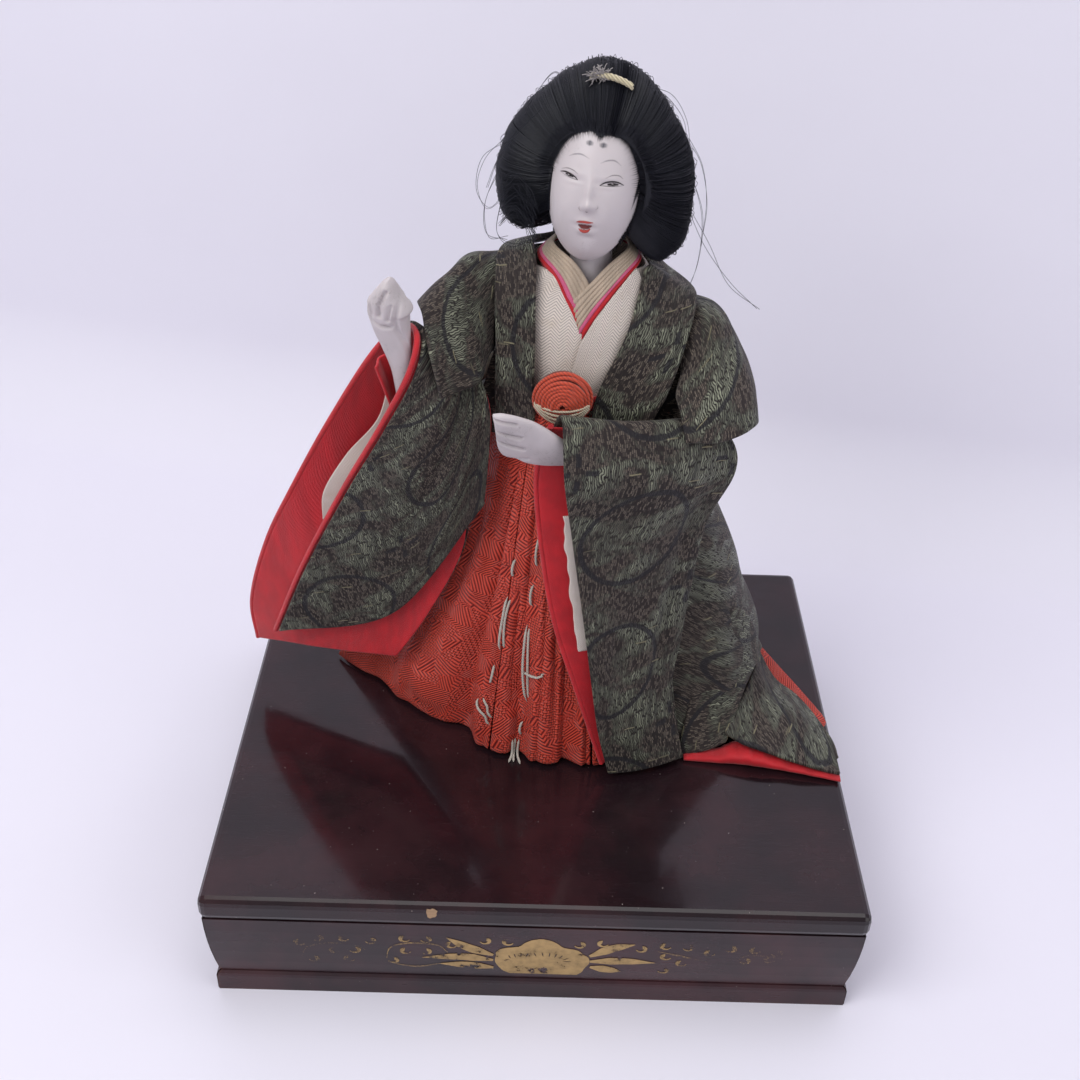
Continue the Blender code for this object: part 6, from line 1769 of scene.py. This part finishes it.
def make_hair_tail(finish, chance):
    """The tail of hair down the back: a flat core with strands round it."""
    centre = smooth_line(HAIR_TAIL_LINE, 40)
    rings = []
    for (x, y, z), share in zip(centre, shares(40)):
        half = 6.2 * (1 - 0.25 * share)
        rings.append(placed([(x + half * cos(a), y + 0.6 + 1.5 * sin(a), z) for a in around(32)]))
    loft("hair_tail_mass", rings, finish, "head", "hair_tail")
    lines = []
    for k in range(170):
        side = chance.uniform(-1, 1)
        turn = chance.uniform(0, 2 * pi)
        line = []
        for i, (x, y, z) in enumerate(centre[::2]):
            half = 6.5 * (1 - 0.25 * i / 19) * (0.9 + 0.1 * side)
            line.append((x + half * cos(turn) + 0.1 * sin(i * 0.7 + k), y + 0.6 + 1.75 * sin(turn), z))
        lines.append(placed(line))
    threads("hair_tail_strands", lines, sizes().hair_radius, finish, (), "head", sides=4)


# Broken hairs that stand out
STRAYS = (
    ((-4, 6, 186), (-10, 6, 180), (-15, 9, 172), (-17.5, 12, 164)),
    ((-13, 12, 176), (-18, 10, 172), (-20, 9, 165), (-17, 9, 160), (-14, 11, 163), (-15, 13, 170)),
    ((-15, 14, 168), (-18, 11, 160), (-17, 9, 153), (-12, 9, 152)),
    ((-14, 14, 160), (-15, 10, 154), (-11, 7, 151), (-6, 8, 153)),
    ((31, 10, 178), (35, 9, 172), (37, 9, 163), (36, 8, 152)),
    ((32, 10, 170), (36, 8, 160), (36, 7, 148), (33, 6, 138)),
    ((33, 12, 160), (38, 9, 152), (44, 6, 143), (52, 4, 137)),
    ((2, 4, 193), (-2, 3, 195), (-6, 5, 190), (-8, 8, 184)),
    ((20, 5, 192), (25, 5, 190), (29, 7, 184), (31, 9, 176)),
)


def make_strays(finish, chance):
    """Broken hairs that stand out round the wings."""
    lines = []
    for stray in STRAYS:
        for _ in range(2):
            moved = [[value + chance.uniform(-0.6, 0.6) for value in point] for point in stray]
            lines.append(placed(smooth_line(moved, 34)))
    for _ in range(26):
        height = 150 + 12 * chance.random()
        line = [(-5 - 9 * t + chance.uniform(-0.6, 0.6), 7 + 5 * t,
                 height + 7 * sin(2.6 * t) + chance.uniform(-1, 1)) for t in shares(6)]
        lines.append(placed(smooth_line(line, 22)))
    threads("hair_strays", lines, 0.00006, finish, (), "head", sides=4)


# The tie's way over the front lock: place across, and degrees up from the front
TIE_ROUTE = ((6.8, 59.6), (8.4, 59.4), (10, 58.8), (12, 57.5), (14.4, 56.3), (16.6, 55))


def make_tie():
    """The frayed paper tie on the front lock."""
    pale = cord_silk("paper tie", (0.60, 0.52, 0.34), 0.0006)
    grey = dull_fibre("frayed paper", (0.46, 0.42, 0.41), (1.0, 6.0, 6.0))
    centre = []
    for x, turn in smooth_line(TIE_ROUTE, 40):
        y, z, half_depth, half_height = hair_section(x)
        deep, tall = half_depth + 1.1, half_height + 1.1
        centre.append((x, y - deep * cos(radians(turn)), z + tall * sin(radians(turn))))
    centre = np.array(centre)
    lines = []
    for strand in range(3):
        line = []
        for i, point in enumerate(centre):
            angle = i * 0.55 + strand * 2 * pi / 3
            line.append(point + np.array((0, 0.42 * cos(angle), 0.42 * sin(angle))))
        lines.append(placed(line))
    threads("hair_tie_cord", lines, 0.00042, pale, "hair_tie", "head", sides=8)
    chance = random.Random(5)
    lines = []
    for _ in range(60):
        turn = chance.uniform(0, 2 * pi)
        reach = chance.uniform(1.2, 3.4)
        start = centre[10] + np.array((chance.uniform(-1.6, 1.6), -0.4, chance.uniform(-0.6, 0.6)))
        bend = start + np.array((reach * 0.6 * cos(turn), -0.5, reach * 0.5 * sin(turn) + 0.3))
        end = start + np.array((reach * cos(turn), 0.2, reach * 0.7 * sin(turn)))
        lines.append(placed(smooth_line([start, bend, end], 9)))
    threads("hair_tie_fray", lines, 0.00010, grey, (), "head", sides=4)


# Hands

RIGHT_WRIST, RIGHT_KNUCKLE = (-37.3, -1.3, 108.0), (-40.6, -6.3, 139.5)
LEFT_WRIST, LEFT_KNUCKLE = (6.0, -14.6, 103.8), (-7.5, -18.8, 111.4)
# Rows along each hand in millimetres: place, left and right edges seen from the front, half thickness
RIGHT_HAND_ROWS = (
    (0, -2.7, 2.1, 1.9), (7, -2.4, 2.5, 1.9), (13.7, -2.6, 3.3, 1.9), (20.7, -4.1, 4.1, 2.3),
    (25, -5.2, 4.4, 2.9), (30.4, -5.7, 5, 4), (32, -5.6, 6, 4.2), (34.5, -5.1, 4.7, 4.2),
    (36, -3.9, 3.7, 3.9), (37.6, -2.5, 2.9, 3.4), (39.2, -1, 2.2, 2.6), (40.4, 0.4, 1.4, 1.2),
)
LEFT_HAND_ROWS = (
    (0, -4.2, 2.8, 2), (4, -6.6, 3.2, 2), (8.5, -8.1, 4.4, 2), (12.1, -8, 5.3, 2),
    (15.3, -8.4, 5.9, 1.9), (16.9, -7.9, 6, 1.8), (18.5, -6.6, 5.9, 1.7), (20, -4.9, 5.8, 1.6),
    (21.4, -3, 5.6, 1.5), (23, -0.9, 5.2, 1.4), (24.6, 1.2, 4.7, 1.2), (26.2, 3.1, 3.7, 0.6),
)
# Creases between the fingers: points across and along, depth and half width
RIGHT_HAND_CREASES = (
    (((1.2, 38.2), (-0.5, 35.1), (-1, 32)), 0.95, 0.55), (((2.3, 34.8), (1.1, 31)), 0.8, 0.5),
    (((4.1, 35.1), (2.5, 30.2), (2.5, 27.3), (3.8, 22.3), (4.9, 18)), 1.1, 0.70),
    (((-3.2, 36), (-3.4, 31.5)), 0.7, 0.5),
    (((-4.9, 33.5), (-3.6, 29.6), (-1.2, 28.4), (1.6, 28.8)), 0.9, 0.50),
)
LEFT_HAND_CREASES = (
    (((2.7, 26.2), (4.2, 20)), 1, 0.40), (((-0.8, 23.6), (0.9, 16.5)), 1, 0.40),
    (((-3.9, 21.6), (-2.5, 13.7)), 1, 0.40), (((-8.6, 13.6), (-5.6, 10.5)), 0.8, 0.50),
)


def hand_frame(wrist, knuckle, towards):
    """The hand's own place: X along its broad side, Y through it, Z along it."""
    start, end = Vector(placed(wrist)), Vector(placed(knuckle))
    along = (end - start).normalized()
    towards = Vector(towards)
    thin = (towards - along * towards.dot(along)).normalized()
    broad = thin.cross(along)
    return Matrix.Translation(start) @ Matrix((broad, thin, along)).transposed().to_4x4()


def crease_depth(x, z, lines):
    """How deep the finger creases are at a place on the hand, in millimetres."""
    depth = 0.0
    place = Vector((x, z))
    for points, deep, wide in lines:
        for first, second in zip(points, points[1:]):
            start, end = Vector(first), Vector(second)
            run = end - start
            share = min(1.0, max(0.0, (place - start).dot(run) / run.length_squared))
            depth = max(depth, deep * exp(-((place - start - run * share).length / wide) ** 2))
    return depth


def hand_mesh(name, rows, wrist, knuckle, towards, lines, body, stands_for):
    """A hand lofted through its rows; creases part the fingers."""
    matrix = hand_frame(wrist, knuckle, towards)
    rings = []
    for place, left, right, thick in smooth_line(rows, 130):
        ring = []
        middle, half, thick = (left + right) / 2, max((right - left) / 2, 0.3), max(thick, 0.3)
        for angle in around(110):
            x = middle + half * rounded(cos(angle), 0.9)
            y = thick * rounded(sin(angle), 0.85)
            depth = crease_depth(x, place, lines) * abs(y) / thick * (1.0 if y < 0 else 0.5)
            y -= np.sign(y) * min(depth, abs(y) * 0.8)
            ring.append(tuple(matrix @ (Vector((x, y, place)) * MM)))
        rings.append(ring)
    white = shell_white(name + " white", toned(colours().white, 0.96), 0.9)
    return loft(name, rings, white, body, stands_for)


def make_hands():
    """The raised right fist and the flat left hand, with their fingers."""
    hand_mesh("right_fist", RIGHT_HAND_ROWS, RIGHT_WRIST, RIGHT_KNUCKLE, (0.35, 1, 0), RIGHT_HAND_CREASES,
              "right_hand", "right_hand")
    hand_mesh("left_palm", LEFT_HAND_ROWS, LEFT_WRIST, LEFT_KNUCKLE, (0.15, 1, 0.2), LEFT_HAND_CREASES,
              "left_hand", "left_hand")


# Stand, and what is hidden under the clothes


def coat(names, finish):
    """Gives solids that show as they are their finish."""
    for name in names:
        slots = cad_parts[name].data.materials
        if len(slots):
            slots[0] = finish
        else:
            slots.append(finish)


CHIP_PLACE = (-27.5, 37.1)
PLINTH_TOP, BODY_HEIGHT, BODY_HALF_DEPTH = 0.0076, 0.0235, 0.07575


def make_stand():
    """Black lacquer on the stand, and its painted gold."""
    tone = colours().lacquer
    coat(("top_board",), old_lacquer("polished lacquer", tone, 0.11, 0.6, 0.7))
    satin = old_lacquer("satin lacquer", toned(tone, 1.7), 0.26, 0.35, 0.5)
    sides = ("front", "back", "left", "right")
    coat([f"{part}_{side}" for part in ("body", "plinth") for side in sides], satin)
    coat(("peg_block", "base_board", "stand_peg", "neck_stick"), sawn_wood("bare wood", (0.42, 0.28, 0.16)))
    coat(("right_arm_wire", "left_arm_wire", "right_hand_wire", "left_hand_wire"), drawn_wire("steel wire"))
    make_gold()
    chip = []
    for k, angle in enumerate(around(14)):
        size = 1 + 0.35 * noise.noise(Vector((k * 1.7, 0.4, 2.2)))
        across, up = CHIP_PLACE[0] + 1.5 * size * cos(angle), CHIP_PLACE[1] + 1.9 * size * sin(angle)
        chip.append((across * MM, STAND_LOW.y - 0.00008, up * MM))
    mesh = bpy.data.meshes.new("worn_edge")
    mesh.from_pydata(chip, [], [tuple(range(14))])
    patch = put_mesh("worn_edge", mesh, sawn_wood("worn wood", (0.46, 0.29, 0.16)), "stand")


def front_y(height):
    """The stand's front face at a height: it bows in towards the plinth."""
    share = min(1.0, max(0.0, (height - PLINTH_TOP) / BODY_HEIGHT))
    return -(BODY_HALF_DEPTH - 0.0019 * (1 - share) ** 2)


# The gold plate: height, left and right edges, in millimetres
PLATE_ROWS = (
    (9.8, -6.4, 12.2), (11.2, -8.3, 13.5), (13.6, -9.7, 14.3), (15.4, -10.4, 15.2), (16.9, -10.5, 15.5),
    (18.9, -10.2, 15), (20.1, -10.3, 13.7), (21.5, -9.4, 12.7), (22.4, -7.5, 11.2), (23.1, -4, 8.2),
    (24.7, -2.6, 6.6), (25.6, -1.4, 5.4), (26.2, -0.4, 4.4), (26.7, 1.6, 2.6),
)
PETAL_LINES = (
    ((-8.1, 16.4), (-6.5, 17)), ((-6.8, 19), (-6.2, 17.5)), ((-5.3, 19.8), (-4.8, 18)),
    ((-3.4, 20.3), (-3.4, 18.6)), ((-1.5, 20.2), (-1.8, 18.7)), ((0.1, 20.5), (0.8, 18.8)),
    ((2.3, 20.8), (2.7, 18.9)), ((4.5, 20.7), (4.3, 18.7)), ((6.4, 20.3), (5.8, 18.5)),
    ((8, 19.6), (7.1, 18.1)), ((9.7, 18.4), (8.1, 17.3)), ((10.4, 16.7), (8.1, 16.6)),
)
LEAVES = (
    ((-11, 18.8), (-18, 22.2), (-23.7, 26.2)), ((-11, 16.4), (-19.6, 17.6), (-30.5, 16.8)),
    ((-10.9, 12.6), (-18, 13.6), (-25.8, 13.9)), ((15.4, 19.4), (21.4, 23.3), (27.5, 25.4)),
    ((15.6, 16.9), (24.1, 17.5), (33.5, 17.1)), ((15.7, 14.2), (20.5, 13.1), (24.4, 12.3)),
)
CURLS = (
    (-63.9, 22.6), (-58.4, 24.7), (-51.8, 25), (-44.2, 24.1), (-35.3, 25.4), (-29.1, 25.3),
    (-22.6, 23.2), (-13, 25.4), (-7.2, 25.1), (12.7, 24.7), (18.6, 25.6), (29.5, 23.6), (35.6, 25.1),
    (42.2, 24.8), (47.8, 22.6), (53.8, 24.7), (60, 24.4), (66.3, 23.4), (-54.5, 19.4), (-48.6, 19.7),
    (-35.1, 19.9), (-29.2, 19.9), (36, 20.3), (58.2, 19.4), (64.4, 20.3), (-60.2, 14.9),
    (-50.8, 15.3), (-38.3, 15.2), (40.5, 17.4), (36.2, 13.5),
)
SCROLLS = (
    ((-63.6, 15.9), (-61.8, 20.3), (-56.6, 22.3), (-49.7, 22), (-45.9, 19.8)),
    ((-40.3, 15.7), (-39.3, 20.7), (-35.7, 23), (-30.3, 23.5), (-25.7, 22.5), (-23.4, 19.5)),
    ((-25.8, 13.9), (-32.1, 12.1), (-38.4, 13.3)), ((55.2, 18.6), (58.7, 21.9), (67.4, 21), (70.9, 18.1)),
    ((33.9, 22.6), (39.4, 21), (47.5, 18.3)),
)


def front_sheet(name, strokes, finish, lift):
    """Strokes laid on the stand's front, given in millimetres."""
    painting(name, strokes, lambda x, z: (x * MM, front_y(z * MM) - lift, z * MM), finish, "stand")


def fading(x):
    """How much gold is left at a place along the front: it is rubbed away towards the ends."""
    return max(0.36, 0.90 - abs(x - 2.3) / 110)


def make_gold():
    """A plate with petals, pointed leaves and scrolls in worn gold powder."""
    rows = [[[(x, height, 0.98) for x in np.linspace(left, right, 8)] for height, left, right in
             smooth_line(PLATE_ROWS, 30)]]
    for leaf in LEAVES:
        rows.append(brushed(leaf, (0.5, 1.7, 1.4, 0.08), (0.9, 0.85, 0.7)))
    for i, (x, z) in enumerate(CURLS):
        start, way = (200, 1) if i % 2 else (-20, -1)
        rows.append(brushed(curl(x, z, 1.7, start, way), (0.15, 0.45, 0.75), (fading(x),)))
    for line in SCROLLS:
        rows.append(brushed(line, (0.1, 0.32, 0.1), (fading(line[len(line) // 2][0]) * 0.8,), 30))
    front_sheet("gold_painting", rows, gold_powder("gold powder", colours().gold), 0.00012)
    petals = [brushed(ends, (0.08, 0.20, 0.08), (0.7, 0.9, 0.5), 8) for ends in PETAL_LINES]
    front_sheet("petal_lines", petals, painted_line("petal brown", (0.060, 0.030, 0.018)), 0.00018)


def curl(x, z, size, turn, way):
    """A comma curl that winds in towards its middle."""
    points = []
    for t in shares(9):
        angle = radians(turn) + way * t * 4.2
        radius = size * (1 - 0.72 * t)
        points.append((x + radius * cos(angle), z + radius * sin(angle)))
    return points


RIGHT_ARM = ((-4.4, 16.5, 121.5), (-11, 14.5, 117.5), (-20, 11.5, 112),
             (-27.5, 9, 100.5), (-32, 5, 90.5), (-35, 0.6, 89.5))
LEFT_ARM = ((19.2, 16.5, 126), (30.5, 14, 124.5), (40.5, 11, 118.5),
            (46.8, 4.8, 109), (45, -1.8, 102.6), (35.5, -8.6, 101.5))
ARM_RADIUS = 0.0025
# Wood wool: centre across and deep, half width and half depth, and height
WOOL_ROWS = ((6, 20, 43, 31, 0.6), (6, 20, 42, 30, 8), (6, 20, 36, 27, 25), (6, 19, 26, 21, 50),
             (6, 18, 17, 15, 76))


def make_core():
    """Straw body, paddings and boards, under the clothes."""
    straw = dull_fibre("straw", (0.55, 0.42, 0.22), (9.0, 9.0, 1.0))
    paper = dull_fibre("wood wool and paper", (0.62, 0.56, 0.46), (2.0, 2.0, 2.0))
    rings = []
    for share in shares(60):
        pinch = 1 - 0.10 * max(0.0, sin(share * 31)) ** 8
        rings.append(placed([(8 + 10.3 * pinch * cos(a) * (1 + 0.03 * sin(9 * a)),
                              17 + 7.3 * pinch * sin(a), 3.9 + 129 * share) for a in around(72)]))
    loft("straw_bundle", rings, straw, "doll", "straw_body")
    table = np.array(WOOL_ROWS, float)
    rings = []
    for height in np.linspace(3.6, 76, 40):
        middle, deep, half_width, half_depth = [np.interp(height, table[:, 4], table[:, i])
                                                for i in range(4)]
        ring = []
        for a in around(72):
            lump = 1 - 0.05 * abs(noise.noise(Vector((cos(a) * 2, sin(a) * 2, height * 0.12))))
            ring.append((middle + half_width * lump * cos(a), deep + half_depth * lump * sin(a), height))
        rings.append(placed(ring))
    loft("wood_wool", rings, paper, "doll", "leg_padding")
    for side, route in (("right", RIGHT_ARM), ("left", LEFT_ARM)):
        line = smooth_line(placed(route), 60)
        rings = []
        for i, (point, step) in enumerate(zip(line, directions(line))):
            first = np.cross(step, (0.2, 0.3, 0.93))
            first /= np.linalg.norm(first)
            second = np.cross(step, first)
            rings.append([point + (first * cos(a) + second * sin(a))
                          * ARM_RADIUS * (1 - 0.07 * abs(sin(a * 2 + i * 0.7))) for a in around(20)])
        arm = loft(f"{side}_arm_wrapping", rings, paper, "doll", f"{side}_arm_padding")


# Studio


SWEEP_BEND = 0.05


def make_stage():
    """Pale floor and wall, the camera and soft lights."""
    made, graph = new_material("pale paper")
    place = object_place(graph)
    mottle = graph.noise(place, 3, 3)
    tone = graph.mix(mottle, (0.79, 0.765, 0.85), (0.85, 0.825, 0.91))
    # Seen from behind, the wall lets the view through
    behind = graph.node("ShaderNodeNewGeometry").outputs["Backfacing"]
    finish_shader(graph, tone, 0.9, graph.noise(place, 9, 2), 0.01, 0.25, Specular_IOR_Level=0.1,
                  Alpha=graph.minus(1, behind))
    line = [(-1.5, 0)]
    for angle in np.linspace(-90, -5, 40):
        line.append((0.150 + SWEEP_BEND * cos(radians(angle)), SWEEP_BEND * (1 + sin(radians(angle)))))
    line.append((line[-1][0] + 0.12, 1.5))
    bm = bmesh.new()
    rows = []
    for y, z in line:
        rows.append([bm.verts.new((x, y, z)) for x in (-2, 2)])
    for first, second in zip(rows, rows[1:]):
        bm.faces.new((first[0], first[1], second[1], second[0]))
    # More floor behind the wall, for views from there
    bm.faces.new([bm.verts.new((x, y, -0.0003)) for x, y in ((-2, 0.10), (2, 0.10), (2, 2.5), (-2, 2.5))])
    mesh = bpy.data.meshes.new("studio_sweep")
    bm.to_mesh(mesh)
    bm.free()
    mesh.shade_smooth()
    mesh.materials.append(made)
    sweep = linked("studio_sweep", mesh)
    sweep.rotation_euler.z = radians(-12.6)
    camera = bpy.data.cameras.new("camera")
    camera.lens = 45
    camera.sensor_width = 36
    camera.clip_start = 0.01
    eye = linked("camera", camera)
    tilt = (Matrix.Rotation(0.0509, 4, "Z") @ Matrix.Rotation(0.9492, 4, "X")
            @ Matrix.Rotation(-0.0484, 4, "Y"))
    eye.matrix_world = Matrix.Translation((-0.0041425, -0.3097504, 0.3265494)) @ tilt
    bpy.context.scene.camera = eye
    for name, power, size, location, aim in (
            ("window light", 4.2, 0.55, (-0.45, -0.35, 0.75), (0, 0, 0.10)),
            ("fill light", 1.3, 0.60, (0.60, -0.35, 0.45), (0, 0, 0.10)),
            ("top light", 2, 0.60, (0.10, 0.15, 0.85), (0, 0, 0.05))):
        lamp = bpy.data.lights.new(name, "AREA")
        lamp.energy = power
        lamp.size = size
        thing = linked(name, lamp)
        thing.location = location
        thing.rotation_euler = (Vector(aim) - Vector(location)).to_track_quat("-Z", "Y").to_euler()
    world = bpy.data.worlds.new("soft room")
    bpy.context.scene.world = world
    world.use_nodes = True
    back = world.node_tree.nodes["Background"]
    back.inputs[0].default_value = (0.86, 0.87, 0.95, 1)
    back.inputs[1].default_value = 0.42
    bpy.context.scene.view_settings.view_transform = "Standard"


# Add-on


def operator(name, label, run):
    """One operator of the add-on, which runs one maker and says what it does."""
    def execute(self, context):
        run()
        return {"FINISHED"}
    settings = {"__doc__": run.__doc__, "bl_idname": "doll." + name, "bl_label": label,
                "bl_options": {"REGISTER", "UNDO"}, "execute": execute}
    return type("DOLL_OT_" + name, (bpy.types.Operator,), settings)


OPERATORS = (
    operator("core", "Straw and padding", make_core),
    operator("stand", "Stand", make_stand),
    operator("kosode", "Inner kimono", make_kosode),
    operator("collars", "Collars", make_collars),
    operator("hakama", "Hakama", make_hakama),
    operator("stitches", "Stitches", make_stitches),
    operator("knot", "Knot", make_knot),
    operator("robe", "Robe", make_robe),
    operator("inner_sleeves", "Inner sleeves", make_inner_sleeves),
    operator("head", "Head", make_head),
    operator("hair", "Hair", make_hair),
    operator("hands", "Hands", make_hands),
    operator("stage", "Studio", make_stage),
)


class DOLL_PT_panel(bpy.types.Panel):
    """Lists the doll's settings and makers"""
    bl_label = "Dressed doll"
    bl_idname = "DOLL_PT_panel"
    bl_space_type = "VIEW_3D"
    bl_region_type = "UI"
    bl_category = "Doll"

    def draw(self, context):
        for settings in (context.scene.doll_colours, context.scene.doll_sizes):
            for name in settings.bl_rna.properties.keys():
                if name not in ("rna_type", "name"):
                    self.layout.prop(settings, name)
        for maker in OPERATORS:
            self.layout.operator(maker.bl_idname)


CLASSES = (DollColours, DollSizes) + OPERATORS + (DOLL_PT_panel,)


def register():
    for made in CLASSES:
        bpy.utils.register_class(made)
    bpy.types.Scene.doll_colours = PointerProperty(type=DollColours)
    bpy.types.Scene.doll_sizes = PointerProperty(type=DollSizes)


def unregister():
    del bpy.types.Scene.doll_sizes
    del bpy.types.Scene.doll_colours
    for made in reversed(CLASSES):
        bpy.utils.unregister_class(made)


def main():
    register()
    for maker in OPERATORS:
        group_name, call = maker.bl_idname.split(".")
        getattr(getattr(bpy.ops, group_name), call)()
    bpy.context.view_layer.update()


if __name__ == "__main__":
    main()
